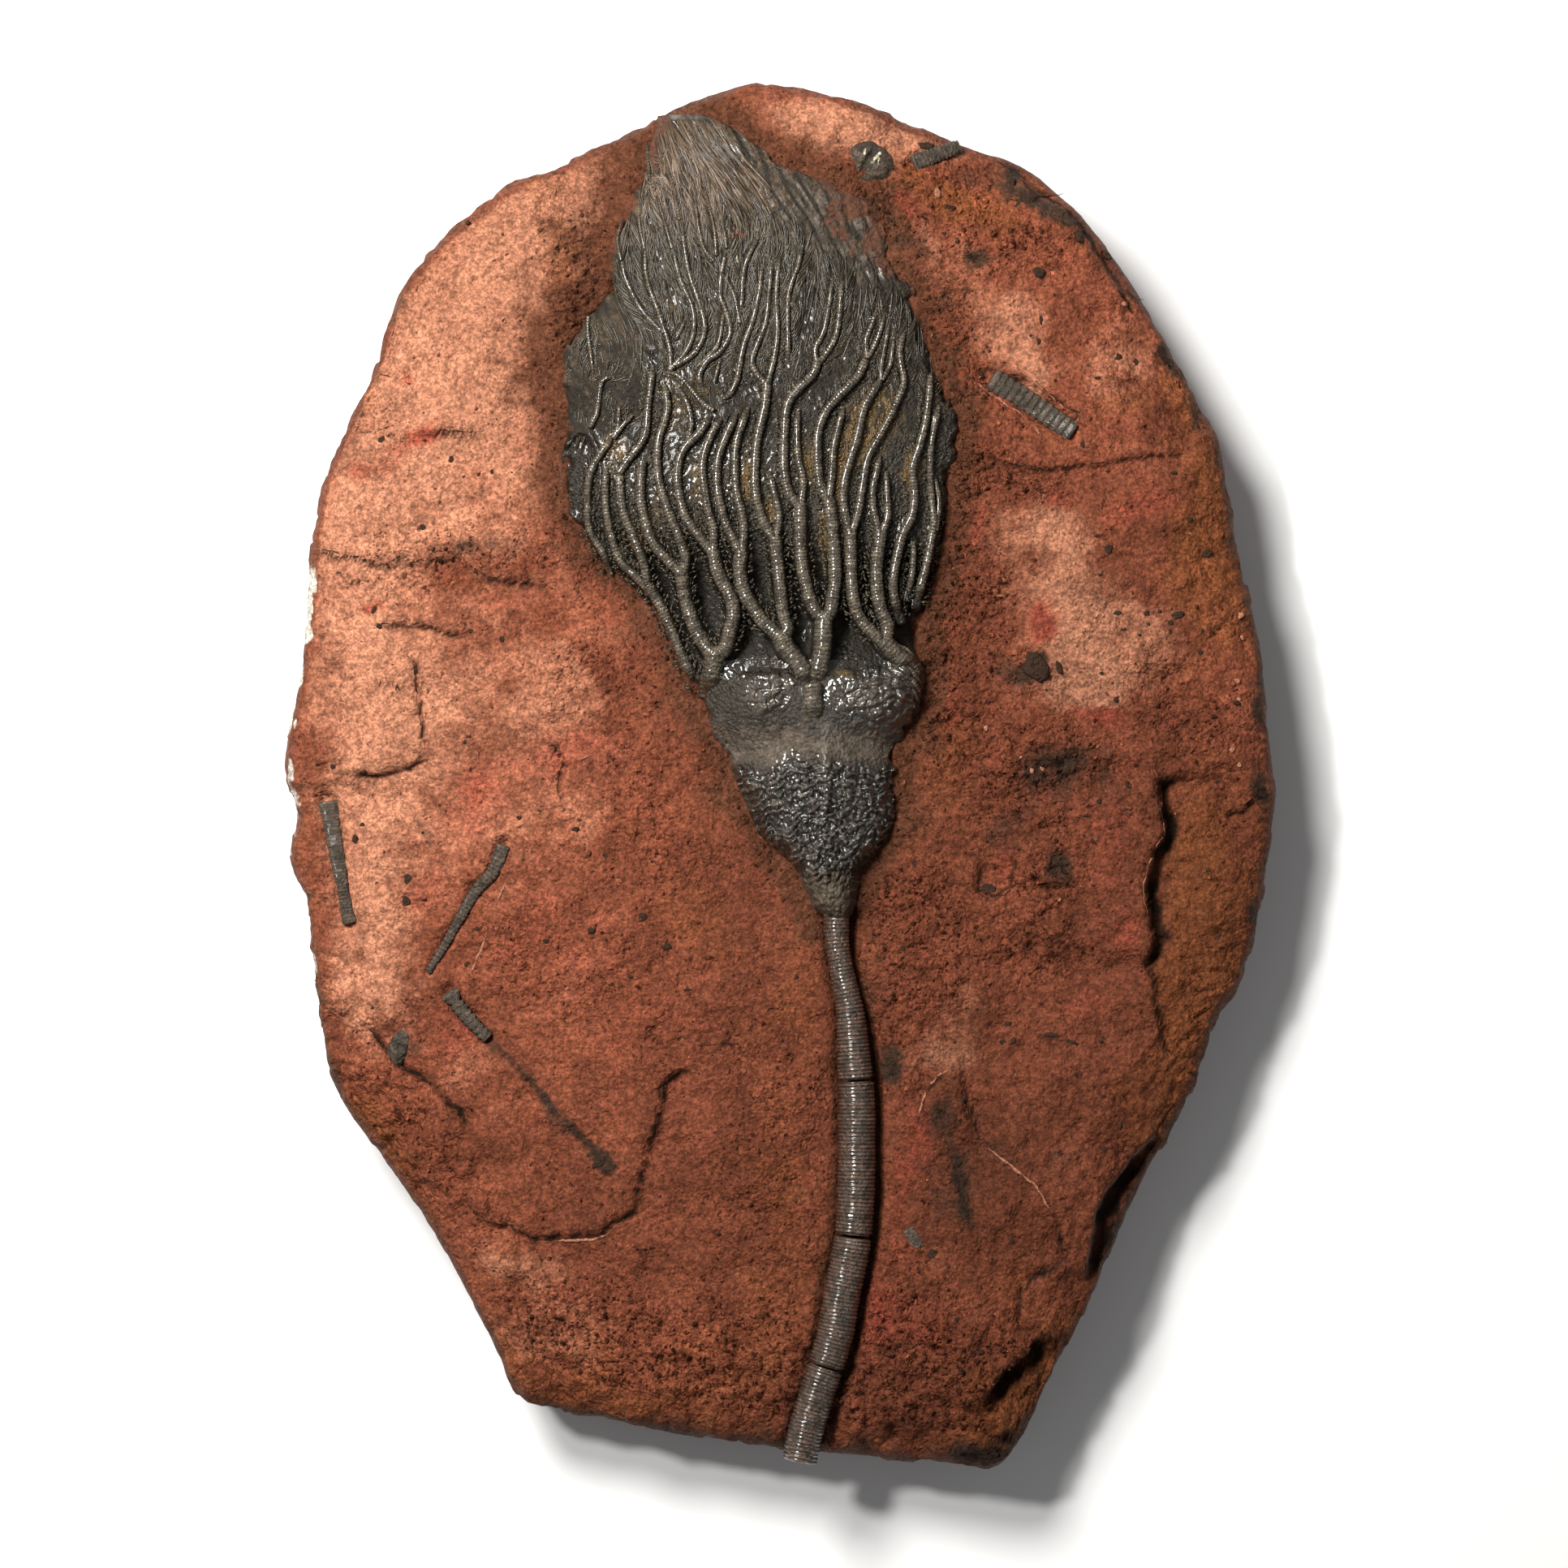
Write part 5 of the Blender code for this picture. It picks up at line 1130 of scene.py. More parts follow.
OCHRE = [
    (23, 94, 6, 10, 1), (36, 83, 3.5, 8, 1), (7.5, 86, 2.5, 8, 0.9), (16.5, 84, 3, 7, 0.8),
    (-2.5, 72, 2.2, 6, 0.9), (-9, 82, 2, 8, 0.9), (-33, 72, 3, 12, 0.5), (-22, 80, 3, 12, 0.6),
    (-40, 64, 5, 8, 0.5), (-44, 86, 4, 6, 0.5), (-24, 106, 8, 8, 0.45), (15, 70, 4, 12, 0.5),
    (-47, 93, 6, 6, 0.5), (30, 100, 8, 8, 0.6), (-8, 60, 4, 10, 0.5), (-32, 128, 10, 14, 0.4, 20),
    (-36, 150, 10, 16, 0.35), (42, 52, 4, 5, 0.4), (10, 62, 5, 14, 0.5), (-30, 98, 5, 8, 0.5),
]
PALE_SPOTS = [
    (-43.5, 81, 1.2, 7, 1), (-44, 60, 2.2, 2.6, 1), (-34, 81, 0.8, 2.2, 0.8), (-12.4, 142, 1.6, 3, 0.9, 25),
    (-50, 63, 1, 3, 0.4), (27, 101, 0.9, 1.6, 0.5), (36, 27, 1.2, 1.2, 0.6),
]


def gap_depth(y):
    """How deep the gaps between the arms are: 1 at the foot of the crown, 0 over its tips."""
    return ease((y - 26) / 12) * (1 - ease((y - 92) / 34))


def crown_folds(x, y):
    """Folds that stream up and to the left over the upper crown: 0 in their creases, and their height."""
    fold = (x + 0.52 * y + 3.0 * swell(x, y, 22, 221)) / 4.2
    crease = np.abs(((fold % 1.0) - 0.5) * 2)
    return crease, ease((y - 118) / 20) * 0.55 * (crease ** 2) * (0.5 + 0.8 * np.abs(swell(x, y, 12, 223)))


def build_mat(settings):
    """The bed of pinnules between the arms and over the upper crown."""
    x, y, edge = crown_sheet(CROWN_SPLIT_Y + 0.4, CROWN_TIP_Y, settings.mat_columns, settings.mat_rows)
    gap = near_arms(x, y)
    z = crown_form(x, y)
    # Gaps between the arms are deep at the foot of the crown and shallow at its tips.
    deep = gap_depth(y)
    hollow = ease(gap / 0.9)
    z -= 0.35 + deep * (0.9 + 1.7 * hollow * ease((70 - y) / 30 + 0.4))
    pit = (0.62 + 0.38 * ease((y - 31) / 7)) * ease((68 - y) / 18)
    z -= 4.4 * pit * hollow
    # Beads: the pinnules seen end on, in close rows.
    along = y + 0.35 * x
    beads = np.abs(np.sin(along * math.pi / 1.15)) * (0.6 + 0.4 * swell(x, y, 2.0, 211))
    z += 0.26 * beads * ease((135 - y) / 30)
    first, _, _ = cells(x, y, 1.25, 213)
    z += 0.45 * (1 - ease(first * 1.5)) * ease((125 - y) / 40)
    z += 0.35 * layers(x, y, 5.0, 3, 215) * ease((y - 88) / 30)
    # The lens of fine pinnules at the left edge, under a raised rim.
    lens = ((x + 54.5) / 5.5) ** 2 + ((y - 82) / 12.5) ** 2
    z += 1.3 * bell((np.sqrt(lens) - 1) / 0.10) * ease((-47.5 - x) / 2) - 0.8 * ease((0.9 - lens) * 3)
    # Streaks and folds in the upper crown that stream up and to the left.
    streak = swell(x + 0.52 * y, (y - 0.52 * x) * 0.22, 1.5, 225)
    upper = ease((y - 118) / 20)
    z += 0.30 * streak * ease((y - 84) / 20)
    z += 0.22 * swell(x + 0.52 * y, (y - 0.52 * x) * 0.16, 0.9, 227) * ease((y - 84) / 14)
    crease, folds = crown_folds(x, y)
    z += folds
    worn = hill(x, y, 14, 153, 20, 16)
    z -= worn * 0.8
    edge_zone = ease((-44 - x) / 5) * ease((y - 90) / 8)
    lobe = ease((-33 - x) / 7) * ease((y - 92) / 10)
    z += 0.25 * layers(x, y, 1.7, 2, 231) * (0.4 + worn)
    reach = 2.4 - 1.5 * ease((y - 128) / 20) + 2.1 * layers(x, y, 6.0, 4, 241, 0.6)
    fall = ease((reach - edge) / 1.6)
    z -= fall * 2.3
    tip = ease((y - CROWN_TIP_Y + 1.5) / 1.5)
    z -= 1.6 * tip
    grit = np.exp(-edge / 4.0) * (0.75 + 0.9 * swell(x, y, 7, 243)) * ease((y - 60) / 40)
    grit = grit + 0.75 * ease(0.2 + 1.3 * swell(x, y, 10, 244)) * ease((y - 128) / 30) + 0.8 * worn * ease(
        (x - 15 + 5 * swell(x, y, 6, 248)) / 9)
    values = {
        "ochre": np.clip(spots(x + swell(x, y, 3, 251), y + 2 * swell(x, y, 4, 252), OCHRE), 0, 1),
        "pale": np.clip(spots(x, y, PALE_SPOTS), 0, 1) * ease(gap / 0.3 + 0.4),
        # Painted shade in the gaps between the arms, in the pits at the foot of the crown and in the creases
        # of the folds, with dark streaks over the upper crown.
        "hollow": np.clip((0.75 * deep * ease(gap / 0.7) + pit) * (0.75 + 0.5 * swell(x, y, 5, 249)) + ease(
            (y - 84) / 20) * (0.45 + 1.1 * streak) * 0.7 + 0.9 * upper * ease((0.34 - crease) / 0.22), 0, 1),
        "grit": np.clip(grit, 0, 1),
        "upper": np.maximum(ease((y - 128) / 26), 0.3 * edge_zone + 0.35 * lobe),
        "worn": np.clip(worn * (0.75 + 1.5 * layers(x, y, 4, 4, 246)), 0, 1),
        "matt": np.clip(
            worn + 0.4 * edge_zone + 0.75 * lobe + 0.55 * hill(x, y, -34, 86, 8, 9)
            + 0.7 * ease((y - 84) / 12) * ease(swell(x, y, 8, 245) + 0.6), 0, 1),
        "red": hill(x, y, -12, 147.5, 3.0, 2.6) + 0.6 * hill(x, y, 31, 150, 6,
                                                             8) * ease(0.2 + 1.4 * swell(x, y, 3, 247)),
    }
    return closed_sheet("pinnule_mat", x, y, z, 31.0, values)


def build_calyx(settings):
    """The cup that carries the arms, with its knobbly plates and its keel."""
    x, y, edge = crown_sheet(CALYX_FOOT_Y + 0.3, CROWN_SPLIT_Y + 0.6, settings.calyx_columns,
                             settings.calyx_rows)
    z = crown_form(x, y) - 0.3
    wx = x + 1.1 * swell(x, y, 4.0, 301) + 0.5 * swell(x, y, 1.6, 303)
    wy = y + 1.1 * swell(x, y, 4.0, 302) + 0.5 * swell(x, y, 1.6, 304)
    left_knob = hill(wx, wy, -3.5, 22.5, 7, 6.2)
    right_knob = hill(wx, wy, 26.5, 22, 9, 8)
    knob = 2.6 * left_knob + 3.4 * right_knob
    z += knob
    # A waist across the cup, and the raised seat of the middle arm.
    z -= 2.1 * bell((wy - 10 + 0.10 * np.abs(x - 10)) / 5.0) * ease((np.abs(x - 10) - 3) / 7)
    z += 1.0 * hill(wx, wy, 9.3, 16, 2.6, 4.5)
    z += 1.7 * bell((wx - 12.3 - 0.5 * swell(y, 0, 5, 306)) / 1.5) * ease((y + 15) / 5) * ease((10 - y) / 6)
    # Hollows between the feet of the arms: carved down here, and painted with shade through the hollow value.
    seat = np.maximum(bell((x - 9) / 5), np.maximum(bell((x + 19) / 4.5),
                                                              bell((x - 35) / 5)))
    pit = ease((wy - 25.5) / 4.5) * (1 - seat)
    z -= 3.0 * pit
    # Lumps of the plates, largest on the two bulges.
    first, second, number = cells(wx, wy, 2.9, 305)
    z += 1.25 * (ease((second - first) * 1.8) - 0.4 + 0.7 * (number - 0.5)) * ease((knob - 0.7) / 1.2)
    first, second, number = cells(wx, wy * 1.2, 1.5, 307)
    z += 0.32 * (ease((second - first) * 2.0) - 0.4) * ease((knob + 0.4) / 1.4)
    # Wrinkles under the smooth band: they run down to the left from the keel, and break into knobs
    # on the right.
    top_line = 4.6 + 2.6 * layers(x, 0, 7, 3, 309) - 0.12 * np.abs(x - 12)
    lower = ease((top_line - y) / 1.6) * ease((y + 33) / 7)
    left_side = ease((13.0 - x) / 3)
    slope = 0.94 * wy - 0.34 * wx + 1.4 * swell(x, y, 6, 311)
    wrinkle = 1 - np.abs(((slope / 2.05) % 1.0) * 2 - 1) ** 1.2
    broken = ease(0.75 + 1.5 * swell(wx, wy * 0.5, 2.4, 313))
    first, second, number = cells(wx * 0.8 + 0.3 * wy, wy * 1.25 - 0.3 * wx, 2.1, 315)
    knob_top = ease((second - first) * 1.6)
    knobs = knob_top - 0.45 + 0.6 * (number - 0.5)
    z += lower * (left_side * (1.6 * wrinkle * broken - 0.6) + (1.15 * (1 - left_side) + 0.55) * knobs)
    z += lower * 0.50 * layers(x, y, 1.2, 2, 317)
    z -= 1.1 * lower * hill(x, y, 17, -18, 4, 7)
    # The granular foot.
    foot = ease((-23.5 - y + 1.5 * swell(x, y, 4, 318)) / 3)
    first, _, number = cells(x, y, 1.3, 319)
    z += foot * (0.75 * (0.5 - first) + 0.5 * (number - 0.5))
    band = ease((y - top_line) / 2.5) * ease((15.0 + 3.0 * layers(x, y, 7, 3,
                                                                  320) - y) / 5) * (1 - ease(knob - 0.6))
    z += 0.12 * layers(x, y, 1.1, 2, 321) * band + 0.10 * layers(x, y, 0.8, 2, 323)
    z += 0.25 * layers(x, y, 5, 2, 325)
    curve = np.hypot(x - 40, y - 38)
    ribs = np.exp(-(((x - 36) / 5) ** 2 + ((y - 25) / 7) ** 4))
    z += ribs * (1.3 * np.abs(np.sin(curve * math.pi / 1.9)) + 1.0)
    fall = ease((1.9 + 2.0 * layers(x, y, 4.0, 3, 331) - edge) / 1.5)
    z -= fall * (1.6 + 1.4 * ease((y + 12) / 20))
    crest = lower * np.clip(left_side * wrinkle * broken + (1 - left_side) * knob_top, 0, 1)
    keel = bell((wx - 12.3) / 0.9) * ease((y + 10) / 5) * ease((16 - y) / 4)
    z -= 0.8 * ease((CALYX_FOOT_Y + 2.0 - y) / 2.0)
    chip = spots(x, y, [(-19.5, 13, 1.4, 6, 1.0, 20), (-14.5, 0.5, 1.8, 2.5, 0.9, 30),
                        (37.5, 19, 1.2, 3, 0.6),
                        (33, 5, 0.9, 5, 0.5), (-9, -12, 1.0, 3, 0.4, 30), (28, -19, 1.5, 3, 0.5, -40)])
    values = {
        # worn: lighter worn stone on the band, the keel and the knob tops; on the crests of the wrinkles it
        # is worn stone and a painted highlight.
        "worn": np.clip(0.45 * band + 0.50 * crest ** 2 + 0.6 * keel + 0.25 * ease(knob - 0.8) + 0.12, 0, 1),
        "ochre": np.clip(spots(x, y, [(17, 29, 5, 2.5, 0.6), (-2, 30, 5, 2.5, 0.6), (6, 17, 2, 4, 0.3)]), 0,
                         1),
        "pale": np.clip(spots(x, y, [(9.3, 17.5, 1.6, 3.2, 0.5), (37, 28, 1.4, 1.4, 0.5)]), 0, 1),
        # Painted shade in the pits between the arms' feet and between the crests of the wrinkles.
        "hollow": np.clip(pit + 0.8 * lower * (1 - crest), 0, 1),
        "grit": np.clip(0.20 * band + 0.35 * foot + 0.8 * chip + 0.5 * fall, 0, 1),
        "upper": np.clip(0.9 * band + 0.7 * foot, 0, 1),
        "matt": np.clip(0.8 * band + 0.7 * foot, 0, 1),
        "red": np.clip(chip, 0, 1) * 0.7,
    }
    return closed_sheet("calyx", x, y, z, 37.2, values)


def ribbed_strand(heap, points, start, end, settings, joint=BRACHIAL, rise=0.15, sides=10, sink=0.0, seed=0,
                  free=False):
    """One arm: a round, slightly lumpy tube of short joints with a fine groove between them."""
    rings = 4 if start > 3.2 else 3
    line = smooth_line(points, joint / rings)
    count = len(line)
    walk = np.arange(count) * joint / rings
    width = np.interp(np.linspace(0, 1, count), [0, 1], [start, end])
    groove = (np.arange(count) % rings == 0).astype(float)
    number = np.arange(count) // rings
    jitter = hashed(number, seed, 401) - 0.5
    radius = width / 2 * (1.01 + 0.07 * jitter + 0.05 * swell(walk, seed, 6.0, 407))
    radius = radius - settings.rib_depth * groove
    heights = crown_form(line[:, 0], line[:, 1]) + rise * width - sink
    heights = heights + 0.10 * width * swell(walk, seed, 8.0, 409)
    if line[0, 1] < 24:
        heights = heights - 0.85 * width * (1 - ease(walk / 6.5))
        radius = radius * mix(0.80, 1.0, ease(walk / 6.0))
    elif start > 5.3:
        heights = heights - 0.75 * width * (1 - ease(walk / 5.5))
    if free:
        heights = heights - 1.0 * width * (1 - ease(walk / 6.0))
        radius = radius * mix(0.35, 1.0, ease(walk / 5.0))
    if end < 2.4:
        blunt = walk[::-1] / joint
        heights = heights - 0.5 * width * ease(1 - blunt / 4.0) * settings.tip_drop
        radius = radius * (1 - 0.45 * ease(1 - blunt / 3.0))
    turn = turns(sides)
    lean = np.where(number % 2 == 0, 1, -1)[:, None] * np.cos(turn) * 0.02
    lumps = 0.075 * swell(walk[:, None], np.cos(turn) * 1.6 + 7 * seed, 1.5, 411)
    heap.add_tube(tube_points(line, radius[:, None] * (1 + lean + lumps), heights, sides),
                  groove=groove, shade=jitter + 0.5, upper=0.9 * ease((line[:, 1] - 138) / 28),
                  pale=np.clip(spots(line[:, 0], line[:, 1], PALE_SPOTS), 0, 1) * 0.45)


SHOULDER_RIBS = [
    ([(31.2, 36.0), (34.6, 34.4), (37.6, 31.0)], -0.9), ([(31.4, 33.4), (35.0, 31.6), (38.2, 28.0)], -1.3),
    ([(32.0, 30.6), (35.4, 29.0), (38.6, 25.2)], -1.9), ([(32.4, 27.8), (35.6, 26.4), (38.4, 22.6)], -2.3),
    ([(33.0, 25.0), (35.8, 23.8), (37.8, 20.4)], -2.3), ([(33.2, 22.4), (35.4, 21.2), (36.8, 18.4)], -2.1),
]
FREE_ARMS = ["arms_left_outer", "arm_left_edge", "arm_centre_tip", "arm_right_3", "arm_right_short",
             "arm_right_edge",
             "arm_upper_1", "arm_upper_2", "arm_upper_3"]


def join_ends(strands):
    """The strands, with any that starts close to the end of a ray drawn back into it."""
    ends = [points[-1] for rows in RAYS.values() for points, _, _ in rows]
    joined = []
    for points, start, end in strands:
        first = points[0]
        tie = [point for point in ends if math.dist(point, first) < 4.6 and point[1] < first[1]]
        if tie and start > 2.9:
            points = [tie[0]] + points
        joined.append((points, start, end))
    return joined


def build_arms(name, strands, settings):
    """One arm with all its forks."""
    heap = Heap()
    for number, (points, start, end) in enumerate(join_ends(strands)):
        rise = 0.15 if start < 4.5 else 0.10
        sides = 10 if start > 3.2 else 8
        joint = BRACHIAL * (1.25 if start > 4.1 and points[0][1] < 30 else 1.0)
        ribbed_strand(heap, points, start * 1.04, end * 1.04, settings, joint, rise, sides, 0.0,
                      number + len(name),
                      number == 0 and name in FREE_ARMS)
    return heap.mesh(name)


def build_fine_arms(settings):
    """The thinner arms that cross and fill the middle of the crown."""
    heap = Heap()
    for number, (points, start, end) in enumerate(FINE_ARMS):
        ribbed_strand(heap, points, start, end, settings, 0.8, 0.05, 8, 0.0, number)
    for number, (points, sink) in enumerate(SHOULDER_RIBS):
        ribbed_strand(heap, points, 1.5, 1.3, settings, 0.8, 0.0, 8, sink, 40 + number, True)
    return heap.mesh("fine_arms")


def build_beads(settings):
    """Rows of glossy beads along the flanks of the arms: their pinnules seen end on."""
    heap = Heap()
    draw = np.random.default_rng(41)
    for points, start, end in sum(ARMS.values(), []):
        line, ahead, half = strand_line(points, start, end, 0.95)
        for side in (-1, 1):
            for row in range(settings.bead_rows):
                out = half + 0.28 + 0.75 * row
                for (px, py), (ax, ay), reach in zip(line[1:-1], ahead[1:-1], out[1:-1]):
                    if draw.random() < 0.27 or py > 122:
                        continue
                    reach = reach + draw.uniform(-0.12, 0.65)
                    slip = draw.uniform(-0.45, 0.45)
                    cx = px - ay * side * reach + ax * slip
                    cy = py + ax * side * reach + ay * slip
                    size = 0.20 + 0.24 * draw.random()
                    length = 0.35 + 0.5 * draw.random()
                    lean = draw.uniform(0.3, 1.3)
                    dx = ax * math.cos(lean) - ay * side * math.sin(lean)
                    dy = ay * math.cos(lean) + ax * side * math.sin(lean)
                    t = np.array([-1.0, 0.0, 1.0])[:, None]
                    spine = np.array([[cx, cy]]) + t * np.array([[dx, dy]]) * length
                    z = bead_floor(cx, cy, row) + 0.1 * draw.random()
                    radii = size * np.array([0.35, 1.05, 0.35])
                    heap.add_tube(tube_points(spine, radii, np.full(3, z), 5), shade=draw.random(), upper=0.0,
                                  ochre=min(1.0, reading(spots, cx, cy, OCHRE)))
    return heap.mesh("pinnule_beads")


def bead_floor(x, y, row):
    """The height of a bead's middle, lower the further it lies from its arm."""
    return reading(crown_form, x, y) - 0.25 - gap_depth(y) * (0.55 + 0.5 * row)


def add_threads(heap, x, y, way, lean, length, width, lift, draw, samples):
    """Add fine threads that start at the points, lean off and then bend into the stream of the arms."""
    steps = 5
    px, py = x, y
    track = [np.column_stack([px, py])]
    fx, fy = way
    for step in range(steps):
        turn = lean * (1 - 0.55 * step / steps)
        c, s = np.cos(turn), np.sin(turn)
        px = px + (fx * c - fy * s) * length / steps
        py = py + (fx * s + fy * c) * length / steps
        track.append(np.column_stack([px, py]))
        sx, sy = flow_at(px, py, samples)
        fx, fy = mix(fx, sx, 0.5), mix(fy, sy, 0.5)
    track = np.stack(track, axis=1)
    left, right = crown_edges(track[:, :, 1])
    inside = ((track[:, :, 0] > left + 0.8) & (track[:, :, 0] < right - 0.8)
              & (track[:, :, 1] < CROWN_TIP_Y - 1.0) & (track[:, :, 1] > CROWN_SPLIT_Y + 1)).all(axis=1)
    taper = np.array([0.5, 1.0, 1.0, 0.95, 0.75, 0.3])
    beads = 1 + 0.10 * np.cos(np.arange(steps + 1) * math.pi)
    floor = pinnule_floor(track[:, :, 0], track[:, :, 1])
    ochre = np.clip(spots(track[:, 3, 0], track[:, 3, 1], OCHRE), 0, 1) * 0.7
    for row in np.flatnonzero(inside):
        upper = float(ease((y[row] - 136) / 26)) * 0.9
        heap.add_tube(tube_points(track[row], width[row] * taper * beads, floor[row] + lift[row], 4),
                      shade=draw.random(), ochre=ochre[row], upper=upper)


def build_side_branches(settings):
    """Pinnules: they leave both flanks of an arm in a close row and lean towards its tip."""
    heap = Heap()
    draw = np.random.default_rng(43)
    samples = arm_samples()
    rows = []
    for points, start, end in sum(ARMS.values(), []) + FINE_ARMS:
        line, ahead, half = strand_line(points, start, end, settings.pinnule_pitch)
        for side in (-1, 1):
            x = line[:, 0] - ahead[:, 1] * side * half * 0.9
            y = line[:, 1] + ahead[:, 0] * side * half * 0.9
            keep = (y > 78) & (y < 166)
            rows.append(np.column_stack([x, y, ahead, np.full(len(x), side)])[keep])
    rows = np.concatenate(rows)
    x, y, ax, ay, side = rows.T
    lean = side * np.radians(np.interp(y, [78, 110, 150], [42, 34, 24]) + draw.uniform(-4, 4, len(x)))
    length = np.interp(y, [78, 105, 130, 165], [2.2, 5.0, 7.5, 6.0]) * draw.uniform(0.8, 1.2, len(x))
    width = draw.uniform(0.20, 0.30, len(x))
    lift = draw.uniform(-0.05, 0.15, len(x))
    add_threads(heap, x, y, (ax, ay), lean, length, width, lift, draw, samples)
    return heap.mesh("side_branches")


def build_tip_threads(settings):
    """Long fine threads that stream over the upper crown to its tips."""
    heap = Heap()
    draw = np.random.default_rng(47)
    samples = arm_samples()
    count = settings.tip_threads
    y = draw.uniform(88, 178, count * 3)
    left, right = crown_edges(y)
    x = left + (right - left) * draw.uniform(0.02, 0.98, len(y))
    line = np.interp(y, [88, 103, 106, 140, 160, 180], [-46, -46, 50, 8, -6, -18])
    keep = (x < line + 6 * swell(x, y, 6, 261)) & (draw.random(len(y)) < np.interp(y, [90, 104, 125],
                                                                                   [1, 0.5, 1]))
    x, y = x[keep][:count], y[keep][:count]
    order = np.argsort(y)
    x, y = x[order], y[order]
    way = flow_at(x, y, samples)
    lean = np.radians(draw.uniform(-7, 7, len(x)))
    length = draw.uniform(7, 15, len(x))
    width = draw.uniform(0.13, 0.27, len(x))
    lift = draw.uniform(-0.12, 0.14, len(x))
    add_threads(heap, x, y, way, lean, length, width, lift, draw, samples)
    return heap.mesh("tip_threads")


def pinnule_floor(x, y):
    """The height of the pinnules' bed."""
    z = crown_form(x, y) - 0.20 - gap_depth(y) * 1.1 - hill(x, y, 14, 153, 20, 16) * 0.8
    return z + 0.35 * layers(x, y, 5.0, 3, 215) * ease((y - 88) / 30) + crown_folds(x, y)[1]


# ------------------------------------------------------------------ the stem and the loose pieces

def build_stem_piece(name, low, high, settings):
    """A stretch of stem between two breaks: a column of discs, some standing out."""
    route = smooth_line(STEM_ROUTE, COLUMNAL / 5)
    keep = (route[:, 1] <= high - 0.25) & (route[:, 1] >= low + 0.25)
    line = route[keep]
    walked = np.concatenate(([0], np.cumsum(np.hypot(*np.diff(route, axis=0).T))))[keep]
    phase = (walked / COLUMNAL) % 1.0
    number = np.floor(walked / COLUMNAL)
    kind = hashed(number, 0, 501)
    groove = bell(np.minimum(phase, 1 - phase) / 0.22)
    swell_out = 0.30 * np.abs(np.sin(phase * math.pi)) ** 0.8 + 0.14 * (kind - 0.5)
    smooth = ease((line[:, 1] + 66) / 10) + 0.5 * ease((line[:, 1] + 91) / 3) * ease((-84 - line[:, 1]) / 2)
    radius = (read(STEM_RADII, line[:, 1]) - 0.12 + swell_out * (1 - 0.4 * smooth)
              - 0.12 * groove * (1 - 0.6 * smooth))
    ends = np.minimum(line[:, 1] - line[-1, 1], line[0, 1] - line[:, 1])
    radius = radius - 0.45 * ease(1 - ends / 0.7)
    sides = settings.stem_sides
    chips = 0.16 * swell(line[:, 1, None], turns(sides) * 5 + 7, 2.2, 505)
    radii = radius[:, None] + (chips + 0.12 * swell(line[:, 1, None], turns(sides) * 5 + 7, 0.9, 506))
    level = slab_form(line[:, 0], np.maximum(line[:, 1], STEM_LEVEL_Y)) + STEM_LIFT
    heap = Heap()
    heap.add_tube(tube_points(line, radii, level, sides), groove=groove, shade=kind,
                  pale=ease((-172 - line[:, 1]) / 8) * 0.16)
    return heap.mesh(name)


def build_fragment(number):
    """A loose stretch of another stem, worn nearly flush with the slab."""
    route, start, end, rise, pitch, flat, depth = FRAGMENTS[number]
    line = smooth_line(route, pitch / 6)
    count = len(line)
    walked = np.arange(count) * pitch / 6
    phase = (walked / pitch) % 1.0
    disc = np.floor(walked / pitch)
    groove = bell(np.minimum(phase, 1 - phase) / 0.16)
    share = np.linspace(0, 1, count)
    radius = mix(start, end, share) - depth * groove + 0.10 * (hashed(disc, number, 511) - 0.5)
    if number == 0:
        radius = radius + 0.5 * bell(share / 0.10) - 0.35 * bell((share - 0.72) / 0.12)
        radius = radius + 0.4 * ease((share - 0.9) / 0.1)
    if number == 2:
        radius = radius + 0.7 * bell((walked - 1.2) / 1.1) - 0.5 * bell((walked - 3.4) / 0.9)
    sides = 20
    turn = turns(sides)
    squared = (np.abs(np.cos(turn)) ** 3 + np.abs(np.sin(turn)) ** 3) ** (-1 / 3)
    chips = 0.10 * swell(walked[:, None], turn * 3, 2.0, 515 + number)
    away = np.minimum(np.arange(count), np.arange(count)[::-1])
    radii = (radius[:, None] + chips - 0.35 * ease(1 - away / 3)[:, None]) * squared
    ground = slab_height(line[:, 0], line[:, 1]) + 2.15
    span = min(count // 2 * 2 - 1, 41)
    ground = np.convolve(np.pad(ground, span // 2, mode="edge"), np.ones(span) / span, mode="valid")
    points = tube_points(line, radii, ground - flat * radius + rise, sides, flat)
    if number == 3:
        points[:, :, 2] += np.where(np.sin(turn) > 0, 0.30, 0.0) * phase[:, None]
    heap = Heap()
    lit = 0.32 * bell((walked - 0.8) / 1.3) if number == 0 else 0.0
    heap.add_tube(points, groove=groove, shade=hashed(disc, 0, 517), pale=lit)
    return heap.mesh(f"stem_fragment_{number + 1}")


